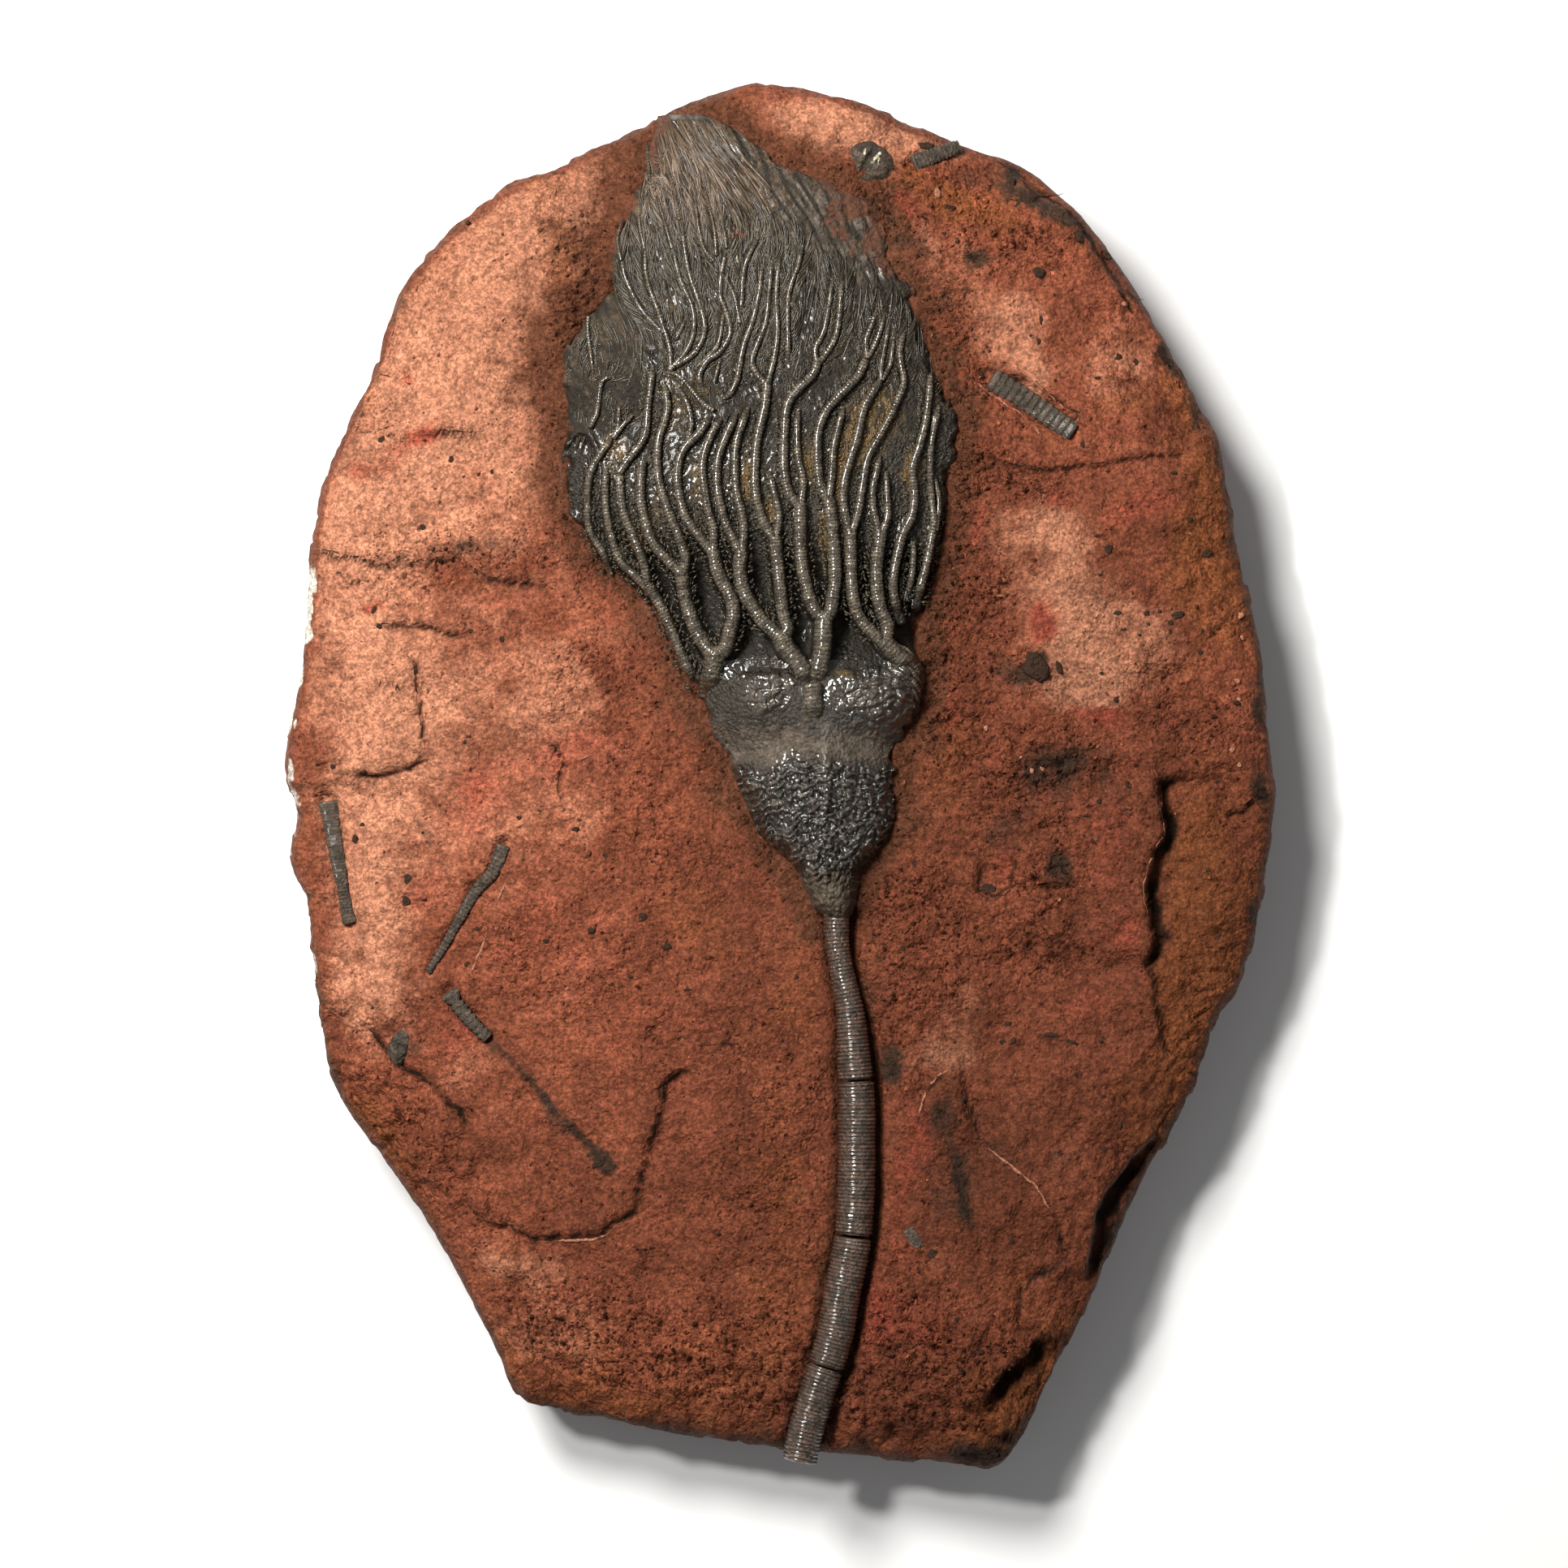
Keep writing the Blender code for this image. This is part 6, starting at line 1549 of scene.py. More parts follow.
def build_stud(name, px, py, length, width, turn, rise):
    """A small fossil or chip set in the face: a low dome with its own relief."""
    rings, sides = 30, 72
    r, a = np.meshgrid(np.linspace(0, 1, rings + 1)[1:], TAU * np.arange(sides) / sides, indexing="ij")
    boxy = name == "grey_chip"
    shape = 1 / np.maximum(np.abs(np.cos(a)), np.abs(np.sin(a)))
    reach = r * (shape if boxy else 1.0)
    u = reach * np.cos(a) * length / 2
    v = reach * np.sin(a) * width / 2
    pale = np.zeros(u.shape)
    if name == "shell_cup":
        left = np.hypot(u + 3.6, (v - 0.4) * 1.1)
        right = np.hypot(u - 2.2, v + 0.2)
        ribs = np.arctan2(v, u - 1.0)
        relief = 1.5 * bell(left / 2.6) + 1.9 * bell(right / 3.6) + 0.22 * np.cos(ribs * 22) * r
        relief += 0.35 * np.cos(right * 2.6) - 1.3 * bell((u + 0.6) / 0.7) - 0.4
        # Painted highlights: cream glints on the shell's lobes.
        pale = spots(u, v, [(-2.6, 2.2, 0.5, 1.6, 0.8, 20), (0.9, 2.4, 0.6, 2.6, 0.9, -10),
                            (2.0, 1.2, 0.4, 1.6, 0.6, 10)])
    elif name == "stem_disc":
        ring = np.hypot(u, v - 0.6)
        small = np.hypot(u - 1.2, v + 1.7)
        relief = 0.9 * bell((ring - 1.3) / 0.35) + 0.8 * bell((small - 0.6) / 0.25) - 0.3
    elif boxy:
        relief = 1.0 + 0.15 * layers(u, v, 2.0, 2, 521)
    else:
        first, second, number = cells(u, v, 2.6, 522)
        relief = 1.6 * (number - 0.3) + 0.5 * layers(u, v, 2.2, 3, 523) - 0.8 * bell((u - 0.5) / 0.5)
        relief += 0.35 * np.abs(np.sin(u * 2.4)) * ease(u)
    rough = (0.06 if boxy else 0.25) * layers(u + px, v + py, 1.6, 2, 525)
    c, s = math.cos(math.radians(turn)), math.sin(math.radians(turn))
    wob = 1 + (0.02 if boxy else 0.10) * swell(np.cos(a) * 4 + px, np.sin(a) * 4 + py, 2.0, 527)
    x = px + (u * c - v * s) * wob
    y = py + (u * s + v * c) * wob
    base = reading(slab_height, px, py)
    hold = 1 - r ** (16 if boxy else 4)
    z = base + (rise * 0.62 + 0.45 * relief * min(rise,
                                                  1.4) + rough * 0.6) * hold - 1.3 * r ** (16 if boxy else 6)
    numbers = 1 + np.arange(rings * sides).reshape(rings, sides)
    low = side_by_side(px + (x[-1] - px) * 0.9, py + (y[-1] - py) * 0.9, base - 2.6)
    low_numbers = 1 + rings * sides + np.arange(sides)
    verts = np.concatenate([[(px, py, z[0].mean())], side_by_side(x, y, z).reshape(-1, 3), low,
                            [(px, py, base - 2.6)]])
    quads = [ring_quads(b, a_) for a_, b in zip(numbers, numbers[1:])]
    quads.append(ring_quads(low_numbers, numbers[-1]))
    tris = np.concatenate([side_by_side(0, numbers[0], np.roll(numbers[0], -1)),
                           fan(len(verts) - 1, low_numbers)])

    def spread(value):
        return np.concatenate([[value.ravel()[0]], value.ravel(), np.ones(sides) * value.ravel()[-1], [0.0]])

    # The low places of the relief carry painted shade, through the groove value.
    hollow = np.clip(0.5 - relief, 0, 1)
    if name == "stem_disc":
        values = {"rust": spread(0.7 + 0 * r), "halo": spread(0.4 * hollow), "rough": spread(0.4 + 0 * r)}
    else:
        values = {"groove": spread(hollow), "shade": spread(0.5 + 0 * r), "pale": spread(pale)}
    return make_mesh(name, verts, np.concatenate(quads), values, tris)


# ------------------------------------------------------------------ materials

class Wire:
    """A value that runs between shader nodes, and the sums that can be done with it."""

    def __init__(self, bench, socket):
        self.bench = bench
        self.socket = socket

    def maths(self, operation, a, b):
        """The result of a maths node."""
        return self.bench.node("Math", {0: a, 1: b}, operation=operation)

    def __add__(self, other):
        return self.maths("ADD", self, other)

    def __sub__(self, other):
        return self.maths("SUBTRACT", self, other)

    def __rsub__(self, other):
        return self.maths("SUBTRACT", other, self)

    def __mul__(self, other):
        return self.maths("MULTIPLY", self, other)

    def __rtruediv__(self, other):
        return self.maths("DIVIDE", other, self)

    def at_least(self, other):
        """The larger of two values."""
        return self.maths("MAXIMUM", self, other)

    def window(self, low, high, out_low=0.0, out_high=1.0):
        """The value stretched between two limits, smoothly."""
        return self.bench.node("MapRange", {0: self, 1: low, 2: high, 3: out_low, 4: out_high},
                               interpolation_type="SMOOTHSTEP")


class Bench:
    """Makes and wires the nodes of one material or node group."""

    def __init__(self, tree):
        self.tree = tree
        self.place_in = self.node("TexCoord", {}, "Object")

    def join(self, socket, value):
        """Wire a value into a socket, or set it there."""
        if isinstance(value, Wire):
            self.tree.links.new(value.socket, socket)
        else:
            socket.default_value = value

    def node(self, kind, inputs, output=0, **settings):
        """One result of a new node."""
        node = self.tree.nodes.new("ShaderNode" + kind)
        for key, value in settings.items():
            setattr(node, key, value)
        for key, value in inputs.items():
            self.join(node.inputs[key], value)
        return Wire(self, node.outputs[output])

    def wires(self, node):
        """All results of a node, by their names."""
        return {socket.name: Wire(self, socket) for socket in node.outputs if socket.name}

    def group(self, name, values):
        """The results of a node group, which is built the first time; the values are in its inputs' order."""
        node = self.tree.nodes.new("ShaderNodeGroup")
        node.node_tree = group_tree(name)
        for socket, value in zip(node.inputs, values):
            self.join(socket, value)
        return self.wires(node)

    def grains(self, scale, detail=3.0, rough=0.6):
        """Noise with features of about 1/scale metres."""
        return self.node("TexNoise", {"Vector": self.place_in, "Scale": scale, "Detail": detail,
                                      "Roughness": rough})

    def dots(self, scale, feature="F1"):
        """Distance from the nearest of scattered points."""
        return self.node("TexVoronoi", {"Vector": self.place_in, "Scale": scale}, "Distance", feature=feature)

    def stored(self, name):
        """A value stored at the mesh's points."""
        return self.node("Attribute", {}, "Fac", attribute_name=name)

    def patchy(self, name, ragged, low, high):
        """A stored value with a ragged edge between two limits."""
        return (self.stored(name) + ragged).window(low, high)

    def between(self, share, low, high):
        """A blend of two values."""
        return self.node("Mix", {0: share, 2: low, 3: high})

    def paint(self, share, below, above):
        """One colour laid over another."""
        return self.node("Mix", {0: share, 6: below, 7: above}, 2, data_type="RGBA")

    def mottled(self, share, colour, dark, light):
        """A colour between a darker and a lighter shade of itself."""
        return self.paint(share, solid(colour, dark), solid(colour, light))

    def shaded(self, colour, shade):
        """A colour made lighter or darker."""
        return self.node("VectorMath", {0: colour, "Scale": shade}, operation="SCALE")

    def finish(self, height, **inputs):
        """Set the shader's inputs, and its relief from a height in millimetres."""
        inputs["Normal"] = self.node("Bump", {"Strength": 1.0, "Distance": MM, "Height": height})
        for key, value in inputs.items():
            self.join(self.tree.nodes["Principled BSDF"].inputs[key.replace("_", " ")], value)


def solid(colour, factor=1.0):
    """A colour with its alpha, made lighter or darker."""
    return (colour[0] * factor, colour[1] * factor, colour[2] * factor, 1.0)


def stone_grain(bench, given):
    """Grains, pits and mottling of stone; the height is in millimetres."""
    scale = 1000.0 / given["Grain Size"]
    grain = bench.grains(scale, 4.0, 0.7)
    coarse = bench.grains(scale * 0.20)
    crumb = 0.5 - bench.dots(scale * 0.62)
    pit = bench.dots(scale * 0.30).window(0.12, 0.30, 1.0, 0.0) * coarse.window(0.56, 0.66)
    both = grain + crumb * coarse.window(0.35, 0.65, 0.4, 1.6)
    return {
        "Height": both * given["Grain Relief"] - pit * given["Pit Relief"],
        "Grain": grain,
        "Mottle": bench.grains(scale * 0.07, 4.0),
        "Fleck": bench.grains(scale * 0.36, 2.0, 0.7).window(0.66, 0.72),
        "Pit": pit,
    }


def settled_grit(bench, given):
    """Coloured grit laid over a fossil in patches of noise."""
    limit = 0.86 - given["Amount"] * 0.62
    mask = bench.grains(320.0, 5.0, 0.7).window(limit, limit + 0.16)
    return {"Colour": bench.paint(mask, given["Fossil"], given["Grit"]), "Mask": mask}


FLOAT = "NodeSocketFloat"
COLOUR = "NodeSocketColor"
# Node groups: what builds one, its inputs as (name, kind, usual value), and its outputs as (name, kind).
GROUPS = {
    "Stone grain": (
        stone_grain, [("Grain Size", FLOAT, 0.8), ("Grain Relief", FLOAT, 0.2), ("Pit Relief", FLOAT, 0.3)],
        [("Height", FLOAT), ("Grain", FLOAT), ("Mottle", FLOAT), ("Fleck", FLOAT), ("Pit", FLOAT)]),
    "Settled grit": (
        settled_grit, [("Fossil", COLOUR, (0.05, 0.045, 0.04, 1)), ("Grit", COLOUR, (0.25, 0.09, 0.05, 1)),
                       ("Amount", FLOAT, 0.5)],
        [("Colour", COLOUR), ("Mask", FLOAT)]),
}


def group_tree(name):
    """The nodes of a group, built the first time."""
    tree = bpy.data.node_groups.get(name)
    if tree is None:
        build, inputs, outputs = GROUPS[name]
        tree = bpy.data.node_groups.new(name, "ShaderNodeTree")
        for label, kind, usual in inputs:
            tree.interface.new_socket(label, in_out="INPUT", socket_type=kind).default_value = usual
        for label, kind in outputs:
            tree.interface.new_socket(label, in_out="OUTPUT", socket_type=kind)
        bench = Bench(tree)
        given = bench.wires(tree.nodes.new("NodeGroupInput"))
        put = tree.nodes.new("NodeGroupOutput")
        for label, value in build(bench, given).items():
            bench.join(put.inputs[label], value)
    return tree


def stone(name, recipe, *values):
    """The material of this name, made by its recipe the first time."""
    material = bpy.data.materials.get(name)
    if material is None:
        material = bpy.data.materials.new(name)
        material.use_nodes = True
        recipe(Bench(material.node_tree), *values)
    return material


def rock_recipe(bench, settings):
    """Red sandstone: grainy, stained, rusty at its edges and brown where it was dug, with painted shade in
    its pits, at its rim and at the foot of its ledges, and painted light that falls off towards the lower
    right.
    """
    relief = settings.grain_relief
    grain = bench.group("Stone grain", (0.75, 0.62 * relief, 0.9 * relief))
    rough = bench.stored("rough")
    cloud = bench.grains(26.0, 5.0)
    blotch = bench.grains(85.0, 6.0, 0.68)
    colour = bench.mottled(cloud.window(0.35, 0.65), settings.rock, 0.80, 1.18)
    # Stains, one over another: the stored value, the colour, the edge's limits and how ragged it is.
    for name, stain, low, high, ragged in (
            ("pink", solid(settings.pink_rock), 0.12, 0.85, 1.2),
            ("rust", solid(settings.rust), 0.2, 1.0, 1.2),
            ("stain", solid(settings.stain), 0.3, 1.0, 1.6), ("halo", solid(settings.dug_rock), 0.20, 0.72,
                                                              1.9),
            # shade: dark patches of the stone, and painted shade at the rim and beside ledges and cracks.
            ("shade", solid(settings.dark_rock, 1.2), 0.40, 1.3, 2.6),
            ("side", solid(settings.side_rock), 0.2, 1.0, 1.0),
            ("chalk", solid(settings.chalk), 0.35, 0.75, 1.6)):
        colour = bench.paint(bench.patchy(name, (blotch - 0.5) * ragged, low, high), colour, stain)
    # Dark crusts and specks.
    crust = grain["Fleck"] * blotch.window(0.45, 0.62, 0.10, 0.8)
    colour = bench.paint(crust, colour, solid(settings.dark_rock, 0.9))
    speck = bench.dots(230.0).window(0.06, 0.13, 1.0, 0.0) * cloud.window(0.50, 0.58)
    colour = bench.paint(speck * 0.6, colour, solid(settings.dark_rock, 0.6))
    # Painted shade at the foot of the ledges, in dark rock.
    colour = bench.paint(bench.stored("crack"), colour, solid(settings.dark_rock, 0.35))
    # Grain by grain: light and dark, with painted shade in the pits.
    shade = bench.grains(620.0).window(0.32, 0.68, 0.66, 1.34) * grain["Grain"].window(0.36, 0.64, 0.64, 1.36)
    shade = shade * blotch.window(0.34, 0.66, 0.82, 1.18) * grain["Pit"].window(0.0, 1.0, 1.0, 0.5)
    # Painted light: brighter towards the upper left and darker towards the lower right, as the lamp's light
    # falls off.
    shade = shade * bench.stored("low_side").window(0.0, 1.0, 1.12, 0.72) * (bench.stored("tone") + 1.0)
    # Smooth parts keep a fine grain; crumbly parts get sharp crumbs of a millimetre or two.
    height = grain["Height"] * rough.window(0.0, 1.0, 0.75, 1.5)
    height = height + (0.6 - bench.dots(560.0)) * rough.window(0.25, 1.1, 0.0, relief)
    height = height + bench.grains(300.0, 5.0, 0.58) * rough.window(0.0, 1.1, 2.3 * relief, 4.6 * relief)
    bench.finish(height, Base_Color=bench.shaded(colour, shade),
                 Roughness=grain["Grain"].window(0.3, 0.7, 0.55, 0.85),
                 Specular_IOR_Level=0.22, Specular_Tint=(1.0, 0.62, 0.42, 1.0))


def plain_recipe(bench, colour, gloss):
    """Plain grainy stone for cracks, crusts and ridges."""
    grain = bench.group("Stone grain", (0.6, 0.35, 0.25))
    bench.finish(grain["Height"],
                 Base_Color=bench.shaded(solid(colour)[:3], grain["Grain"].window(0.3, 0.7, 0.55, 1.45)),
                 Roughness=grain["Mottle"].window(0.3, 0.7, gloss, gloss + 0.3),
                 Specular_IOR_Level=0.18, Specular_Tint=(1.0, 0.72, 0.52, 1.0))


def bed_recipe(bench, settings, bead_size, coat, coat_gloss):
    """The fossil's bed and cup: dark brown stone, glossy on its knobs, with rust and ochre grit, painted
    shade in its hollows and a painted highlight on the cup's wrinkle crests.
    """
    grain = bench.group("Stone grain", (0.55, 0.26, 0.2))
    patch = bench.grains(160.0, 5.0, 0.65)
    fine = bench.grains(900.0)
    hollow = bench.stored("hollow")
    top = bench.mottled(bench.grains(420.0, 5.0, 0.7).window(0.36, 0.64), settings.crown_top, 0.30, 1.25)
    worn = bench.mottled(patch.window(0.4, 0.6), settings.worn_fossil, 0.55, 1.2)
    colour = bench.mottled(patch.window(0.35, 0.65), settings.fossil, 0.45, 1.3)
    colour = bench.paint(bench.stored("upper") * 0.8, colour, top)
    # Worn stone, which on the cup's wrinkle crests is also a painted highlight.
    colour = bench.paint(bench.stored("worn"), colour, worn)
    ochre = bench.patchy("ochre", patch - 0.5, 0.25, 0.85)
    colour = bench.paint(ochre * 0.9, colour, solid(settings.ochre))
    # Painted shade: the hollows are painted nearly black.
    colour = bench.paint(hollow.window(0.15, 0.9, 0.0, 0.93), colour, solid(settings.fossil, 0.18))
    dust = bench.group("Settled grit", (colour, solid(settings.dug_rock), bench.stored("grit")))
    red = bench.patchy("red", patch - 0.5, 0.35, 0.8)
    colour = bench.paint(red, dust["Colour"], solid(settings.stain, 0.9))
    colour = bench.paint(bench.patchy("pale", fine - 0.5, 0.35, 0.8), colour, solid(settings.glint))
    dull = dust["Mask"].at_least(ochre * 0.3).at_least(bench.stored("matt") * 0.85)
    dull = dull.at_least(hollow.window(0.72, 1.0, 0.0, 0.6))
    height = grain["Height"] - bench.dots(1000.0 / bead_size, "SMOOTH_F1") * (0.40 * bead_size)
    bench.finish(height + bench.grains(700.0, 4.0, 0.7) * 0.7,
                 Base_Color=bench.shaded(colour, fine.window(0.3, 0.7, 0.6, 1.4)),
                 Roughness=bench.between(dull, patch.window(0.3, 0.7, 0.24, 0.46), 0.85),
                 Specular_IOR_Level=0.6, Specular_Tint=(1.0, 0.90, 0.76, 1.0),
                 Coat_Weight=dull.window(0.0, 0.75, coat, 0.0), Coat_Roughness=coat_gloss, Coat_IOR=1.7)


def fossil_recipe(bench, settings, body, light, gloss, grit, coat):
    """Arms, stems and loose pieces: jointed, worn lighter on the joints, with grit in patches and painted
    shade in the grooves.
    """
    grain = bench.group("Stone grain", (0.5, 0.24, 0.2))
    patch = bench.grains(420.0, 5.0, 0.7)
    fine = bench.grains(1300.0)
    wet = bench.grains(700.0, 4.0, 0.7)
    upper = bench.stored("upper")
    mottle = patch.window(0.36, 0.64)
    colour = bench.paint(mottle, solid(body, 0.7), solid(light, 1.25))
    colour = bench.paint(upper * 0.85, colour, bench.mottled(mottle, settings.crown_top, 0.30, 0.95))
    colour = bench.shaded(colour, bench.stored("shade").window(0.0, 1.0, 0.78, 1.22))
    # Painted shade in the grooves between joints and in the low places of the small fossils and chips.
    colour = bench.paint(bench.stored("groove") * 0.92, colour, solid(body, 0.15))
    dust = bench.group("Settled grit", (colour, solid(settings.dug_rock), grit))
    colour = bench.paint(bench.patchy("pale", fine - 0.5, 0.4, 0.8), dust["Colour"], solid(settings.glint))
    dull = dust["Mask"].at_least(upper)
    bench.finish(grain["Height"] + wet * 0.8,
                 Base_Color=bench.shaded(colour, fine.window(0.32, 0.68, 0.62, 1.38)),
                 Roughness=bench.between(dull, patch.window(0.35, 0.65, gloss + 0.22, gloss - 0.10), 0.8),
                 Specular_IOR_Level=0.8, Specular_Tint=(1.0, 0.88, 0.70, 1.0),
                 Coat_Weight=wet.window(0.44, 0.56, 0.10 * coat, coat) * dull.window(0.0, 0.8, 1.0, 0.0),
                 Coat_Roughness=0.11, Coat_IOR=1.7)


def thread_recipe(bench, settings):
    """Pinnules and beads: fine glossy threads, tinted by the sediment round them."""
    patch = bench.grains(260.0, 5.0, 0.65)
    shade = bench.stored("shade")
    colour = bench.paint(shade, solid(settings.fossil, 0.7), solid(settings.fossil_light, 1.3))
    colour = bench.paint(bench.stored("upper"), colour, bench.mottled(shade, settings.crown_top, 0.06, 1.75))
    ochre = bench.patchy("ochre", patch - 0.5, 0.25, 1.0)
    colour = bench.paint(ochre * 0.8, colour, solid(settings.ochre))
    dust = bench.group("Settled grit", (colour, solid(settings.dug_rock, 0.8), 0.12))
    bench.finish(bench.grains(1300.0) * 0.16, Base_Color=dust["Colour"],
                 Roughness=patch.window(0.3, 0.7, 0.45, 0.7), Specular_IOR_Level=0.14,
                 Coat_Weight=0.6, Coat_Roughness=0.17)


# ------------------------------------------------------------------ the add-on

def count_of(name, description, usual, least):
    """A whole number that the user can change."""
    return bpy.props.IntProperty(name=name, description=description, default=usual, min=least)


def colour_of(name, description, usual):
    """A colour that the user can change."""
    return bpy.props.FloatVectorProperty(name=name, description=description, default=usual, size=3,
                                         min=0.0, max=1.0, subtype="COLOR")


class FOSSIL_PG_settings(bpy.types.PropertyGroup):
    """Sizes and colours of the fossil."""

    slab_columns: count_of("Slab columns", "Cells across the slab's face", 216, 24)
    slab_rows: count_of("Slab rows", "Cells along the slab's face", 304, 32)
    slab_side_rings: count_of("Side rings", "Rows of cells down the slab's side", 13, 3)
    mat_columns: count_of("Crown columns", "Cells across the crown", 212, 20)
    mat_rows: count_of("Crown rows", "Cells along the crown", 274, 20)
    calyx_columns: count_of("Cup columns", "Cells across the cup", 190, 16)
    calyx_rows: count_of("Cup rows", "Cells along the cup", 220, 16)
    stem_sides: count_of("Stem sides", "Facets round the stem", 24, 8)
    bead_rows: count_of("Bead rows", "Rows of beads on each flank of an arm", 2, 1)
    tip_threads: count_of("Tip threads", "Fine threads over the upper crown", 1500, 10)
    crumbs: count_of("Crumbs", "Loose grains on the crumbly rock", 10500, 10)
    dark_bits: count_of("Dark bits", "Small dark chips strewn over the face", 150, 1)
    pinnule_pitch: bpy.props.FloatProperty(
        name="Pinnule pitch", description="Spacing of the side branches along an arm in millimetres",
        default=1.0, min=0.3)
    rib_depth: bpy.props.FloatProperty(
        name="Groove depth", description="Depth of the groove between two joints of an arm in millimetres",
        default=0.10, min=0.0, max=0.5)
    tip_drop: bpy.props.FloatProperty(
        name="Tip drop", description="How far an arm's tip sinks into its bed, as a share of its width",
        default=0.8, min=0.0, max=2.0, subtype="FACTOR")
    grain_relief: bpy.props.FloatProperty(
        name="Grain relief", description="Roughness of the sandstone in millimetres", default=0.55, min=0.0,
        max=3.0)
    rock: colour_of("Sandstone", "Main colour of the slab", (0.168, 0.0470, 0.0240))
    pink_rock: colour_of("Pink sandstone", "Paler patches of the slab", (0.345, 0.143, 0.082))
    stain: colour_of("Red stain", "Strong red patches", (0.230, 0.0500, 0.0290))
    rust: colour_of("Rust", "Orange-brown at the edges", (0.168, 0.0510, 0.0190))
    dug_rock: colour_of("Dug sandstone", "Brown rough rock round the fossil", (0.080, 0.0275, 0.0140))
    # Dark rock is also the colour of the painted shade at the rim, at the foot of ledges and in the cracks.
    dark_rock: colour_of("Dark rock", "Blackish crusts and patches", (0.026, 0.0145, 0.0100))
    side_rock: colour_of("Side rock", "The broken sides of the slab", (0.085, 0.034, 0.020))
    ridge: colour_of("Pale ridge", "Thin pale ridges on the face", (0.34, 0.150, 0.090))
    chalk: colour_of("Chalky side", "The whitish strip on the left side", (0.55, 0.50, 0.42))
    fossil: colour_of("Fossil", "Dark stone of the crown", (0.0125, 0.0095, 0.0055))
    fossil_light: colour_of("Worn fossil", "Paler stone of the crown", (0.045, 0.0345, 0.0200))
    stem: colour_of("Stem", "Brown stone of the stem", (0.0210, 0.0115, 0.0085))
    stem_light: colour_of("Worn stem", "Paler stone of the stem", (0.100, 0.0545, 0.0390))
    loose: colour_of("Loose pieces", "Grey-brown stone of the loose stems", (0.024, 0.0165, 0.0125))
    loose_light: colour_of("Worn loose pieces", "Paler stone of the loose stems", (0.058, 0.0360, 0.0260))
    arm: colour_of("Arms", "Dark olive stone of the arms", (0.020, 0.0155, 0.0105))
    arm_light: colour_of("Worn arms", "Paler stone of the arms", (0.104, 0.0810, 0.0555))
    crown_top: colour_of("Crown top", "Brown-grey stone of the upper crown", (0.112, 0.0740, 0.0460))
    worn_fossil: colour_of("Worn bed", "Grey worn stone of the upper crown", (0.105, 0.0860, 0.0680))
    ochre: colour_of("Ochre", "Yellow-brown sediment between the arms", (0.165, 0.095, 0.027))
    # Cream mineral in a few gaps of the crown; on the shell the same colour paints its glints.
    glint: colour_of("Mineral", "Cream mineral that glints in a few gaps", (0.62, 0.56, 0.40))


def rock_stone(settings):
    """The material of the slab."""
    return stone("red_sandstone", rock_recipe, settings)


def loose_stone(settings):
    """The material of loose stems and chips."""
    return stone("loose_surface", fossil_recipe, settings, settings.loose, settings.loose_light, 0.55, 0.34,
                 0.08)


class FOSSIL_OT_slab(bpy.types.Operator):
    """Sculpt the slab of sandstone"""

    bl_idname = "fossil.slab"
    bl_label = "Slab"

    def execute(self, context):
        settings = context.scene.fossil_settings
        place("slab", build_slab(settings), rock_stone(settings), "slab_rock", ["slab"])
        return {"FINISHED"}


class FOSSIL_OT_face(bpy.types.Operator):
    """Strew crumbs and dark bits on the slab, line its cracks and ledge feet with painted shade, and line its
    thin ridges
    """

    bl_idname = "fossil.face"
    bl_label = "Crumbs and cracks"

    def execute(self, context):
        settings = context.scene.fossil_settings
        crust = [1.2 * value for value in settings.dark_rock]
        # The colour of the painted shade in the cracks and at the ledges' feet.
        floor = [0.8 * value for value in settings.dark_rock]
        place("rock_crumbs", build_crumbs(settings), rock_stone(settings), "slab_rock")
        place("dark_bits", build_dark_bits(settings), stone("dark_crust", plain_recipe, crust, 0.5),
              "slab_rock")
        place("crack_floors", build_cracks(), stone("crack_floor", plain_recipe, floor, 0.6), "slab_rock")
        place("pale_ridges", build_ridges(), stone("pale_ridge", plain_recipe, settings.ridge, 0.6),
              "slab_rock")
        return {"FINISHED"}


class FOSSIL_OT_crown_bed(bpy.types.Operator):
    """Sculpt the bed of pinnules under the arms"""

    bl_idname = "fossil.crown_bed"
    bl_label = "Crown bed"

    def execute(self, context):
        settings = context.scene.fossil_settings
        material = stone("bed_stone", bed_recipe, settings, 0.8, 0.36, 0.14)
        place("pinnule_mat", build_mat(settings), material, "crown_stone", ["pinnule_mat"])
        return {"FINISHED"}


class FOSSIL_OT_calyx(bpy.types.Operator):
    """Sculpt the cup under the arms"""

    bl_idname = "fossil.calyx"
    bl_label = "Cup"

    def execute(self, context):
        settings = context.scene.fossil_settings
        material = stone("cup_stone", bed_recipe, settings, 0.9, 1.0, 0.11)
        place("calyx", build_calyx(settings), material, "calyx_stone", ["calyx"])
        return {"FINISHED"}


class FOSSIL_OT_arms(bpy.types.Operator):
    """Lay the arms, each with its forks"""

    bl_idname = "fossil.arms"
    bl_label = "Arms"

    def execute(self, context):
        settings = context.scene.fossil_settings
        material = stone("arm_surface", fossil_recipe, settings, settings.arm, settings.arm_light, 0.36, 0.14,
                         1.0)
        for name, strands in (RAYS | ARMS).items():
            place(name, build_arms(name, strands, settings), material, "arm_stone", [name])
        place("fine_arms", build_fine_arms(settings), material, "arm_stone")
        return {"FINISHED"}


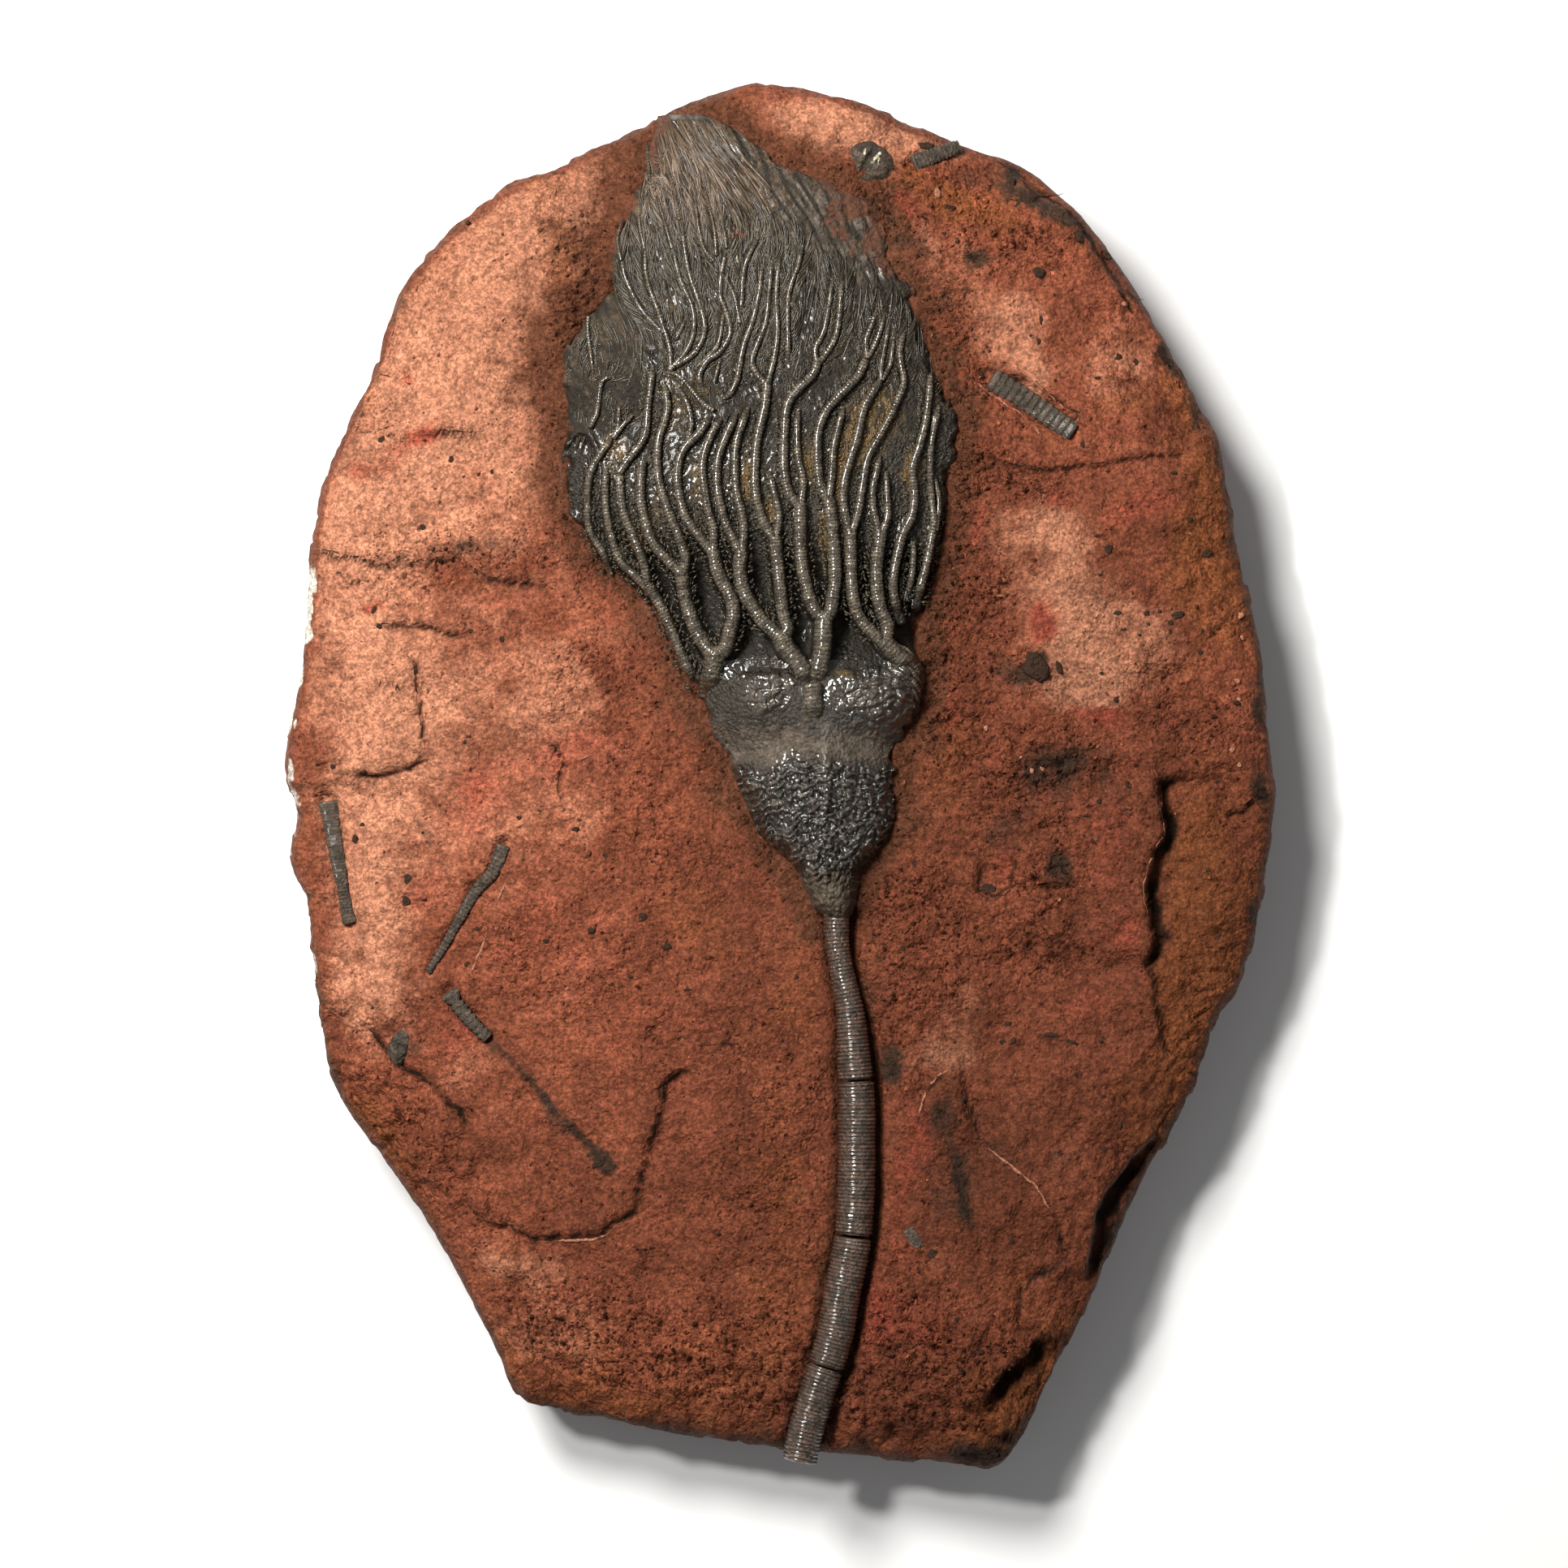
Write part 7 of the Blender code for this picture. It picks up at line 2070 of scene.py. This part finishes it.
class FOSSIL_OT_pinnules(bpy.types.Operator):
    """Strew the pinnules and beads between the arms"""

    bl_idname = "fossil.pinnules"
    bl_label = "Pinnules"

    def execute(self, context):
        settings = context.scene.fossil_settings
        material = stone("pinnule_stone", thread_recipe, settings)
        place("pinnule_beads", build_beads(settings), material, "arm_stone")
        place("side_branches", build_side_branches(settings), material, "arm_stone")
        place("tip_threads", build_tip_threads(settings), material, "crown_stone")
        return {"FINISHED"}


class FOSSIL_OT_stem(bpy.types.Operator):
    """Stack the discs of the stem"""

    bl_idname = "fossil.stem"
    bl_label = "Stem"

    def execute(self, context):
        settings = context.scene.fossil_settings
        material = stone("stem_surface", fossil_recipe, settings, settings.stem, settings.stem_light, 0.34,
                         0.26, 1.0)
        for number, (high, low) in enumerate(zip(STEM_STOPS, STEM_STOPS[1:])):
            name = f"stem_{number + 1}"
            place(name, build_stem_piece(name, low, high, settings), material, "stem_stone", [name])
        return {"FINISHED"}


class FOSSIL_OT_loose(bpy.types.Operator):
    """Set the loose stems, the shell and the chips"""

    bl_idname = "fossil.loose"
    bl_label = "Loose pieces"

    def execute(self, context):
        settings = context.scene.fossil_settings
        for number in range(len(FRAGMENTS)):
            name = f"stem_fragment_{number + 1}"
            place(name, build_fragment(number), loose_stone(settings), "fragment_stone", [name])
        for name, *form in STUDS:
            material = rock_stone(settings) if name == "stem_disc" else loose_stone(settings)
            place(name, build_stud(name, *form), material, "fragment_stone", [name])
        return {"FINISHED"}


def area_light(name, at, aim, size, power, colour):
    """A soft lamp that points at a place; lengths in metres."""
    data = bpy.data.lights.new(name, "AREA")
    data.shape = "DISK"
    data.size = size
    data.energy = power
    data.color = colour
    lamp = bpy.data.objects.new(name, data)
    lamp.location = at
    lamp.rotation_euler = (Vector(aim) - Vector(at)).to_track_quat("-Z", "Y").to_euler()
    bpy.context.scene.collection.objects.link(lamp)


class FOSSIL_OT_stage(bpy.types.Operator):
    """Lay the pale floor, and set the soft light and the camera"""

    bl_idname = "fossil.stage"
    bl_label = "Stage"

    def execute(self, context):
        scene = context.scene
        floor_mesh = bpy.data.meshes.new("floor")
        corners = [(-1, -1), (1, -1), (1, 1), (-1, 1)]
        floor_mesh.from_pydata([(x * FLOOR_HALF, y * FLOOR_HALF, 0) for x, y in corners], [], [(0, 1, 2, 3)])
        floor = bpy.data.objects.new("floor", floor_mesh)
        scene.collection.objects.link(floor)
        pale = bpy.data.materials.new("pale_floor")
        pale.use_nodes = True
        shader = pale.node_tree.nodes["Principled BSDF"]
        shader.inputs["Base Color"].default_value = (0.88, 0.88, 0.88, 1)
        shader.inputs["Roughness"].default_value = 0.9
        shader.inputs["Specular IOR Level"].default_value = 0.1
        floor_mesh.materials.append(pale)
        area_light("key_light", (-0.405, 0.550, 0.94), (0.0, 0.02, 0.04), 0.40, 18.4, (1.0, 0.985, 0.955))
        area_light("glint_light", (-0.48, 0.22, 0.95), (0.0, 0.02, 0.04), 0.11, 6.0, (1.0, 0.99, 0.97))
        area_light("fill_light", (0.9, -0.6, 1.6), (0.0, 0.0, 0.03), 1.2, 1.5, (0.97, 0.98, 1.0))
        world = bpy.data.worlds.new("studio")
        world.use_nodes = True
        background = world.node_tree.nodes["Background"]
        background.inputs["Color"].default_value = (1.0, 1.0, 1.0, 1)
        background.inputs["Strength"].default_value = 0.155
        scene.world = world
        scene.view_settings.view_transform = "Standard"
        camera_data = bpy.data.cameras.new("camera")
        camera_data.sensor_width = SENSOR
        camera_data.lens = LENS
        camera = bpy.data.objects.new("camera", camera_data)
        camera.location = (CAMERA_X * MM, CAMERA_Y * MM, FACE_Z * MM + FRAME_WIDTH * MM * LENS / SENSOR)
        scene.collection.objects.link(camera)
        scene.camera = camera
        return {"FINISHED"}


OPERATORS = [FOSSIL_OT_slab, FOSSIL_OT_face, FOSSIL_OT_crown_bed, FOSSIL_OT_calyx, FOSSIL_OT_arms,
             FOSSIL_OT_pinnules,
             FOSSIL_OT_stem, FOSSIL_OT_loose, FOSSIL_OT_stage]


class FOSSIL_PT_panel(bpy.types.Panel):
    """Lists the pieces of the fossil and its settings"""

    bl_idname = "FOSSIL_PT_panel"
    bl_label = "Crinoid fossil"
    bl_space_type = "VIEW_3D"
    bl_region_type = "UI"
    bl_category = "Fossil"

    def draw(self, context):
        for operator in OPERATORS:
            self.layout.operator(operator.bl_idname)
        for key in FOSSIL_PG_settings.__annotations__:
            self.layout.prop(context.scene.fossil_settings, key)


CLASSES = [FOSSIL_PG_settings] + OPERATORS + [FOSSIL_PT_panel]


def register():
    """Add the fossil's tools to Blender."""
    for item in CLASSES:
        bpy.utils.register_class(item)
    bpy.types.Scene.fossil_settings = bpy.props.PointerProperty(type=FOSSIL_PG_settings)


def unregister():
    """Take the fossil's tools out of Blender."""
    del bpy.types.Scene.fossil_settings
    for item in reversed(CLASSES):
        bpy.utils.unregister_class(item)


def main():
    """Build the fossil and its stage."""
    register()
    for operator in OPERATORS:
        group, action = operator.bl_idname.split(".")
        getattr(getattr(bpy.ops, group), action)()


if __name__ == "__main__":
    main()
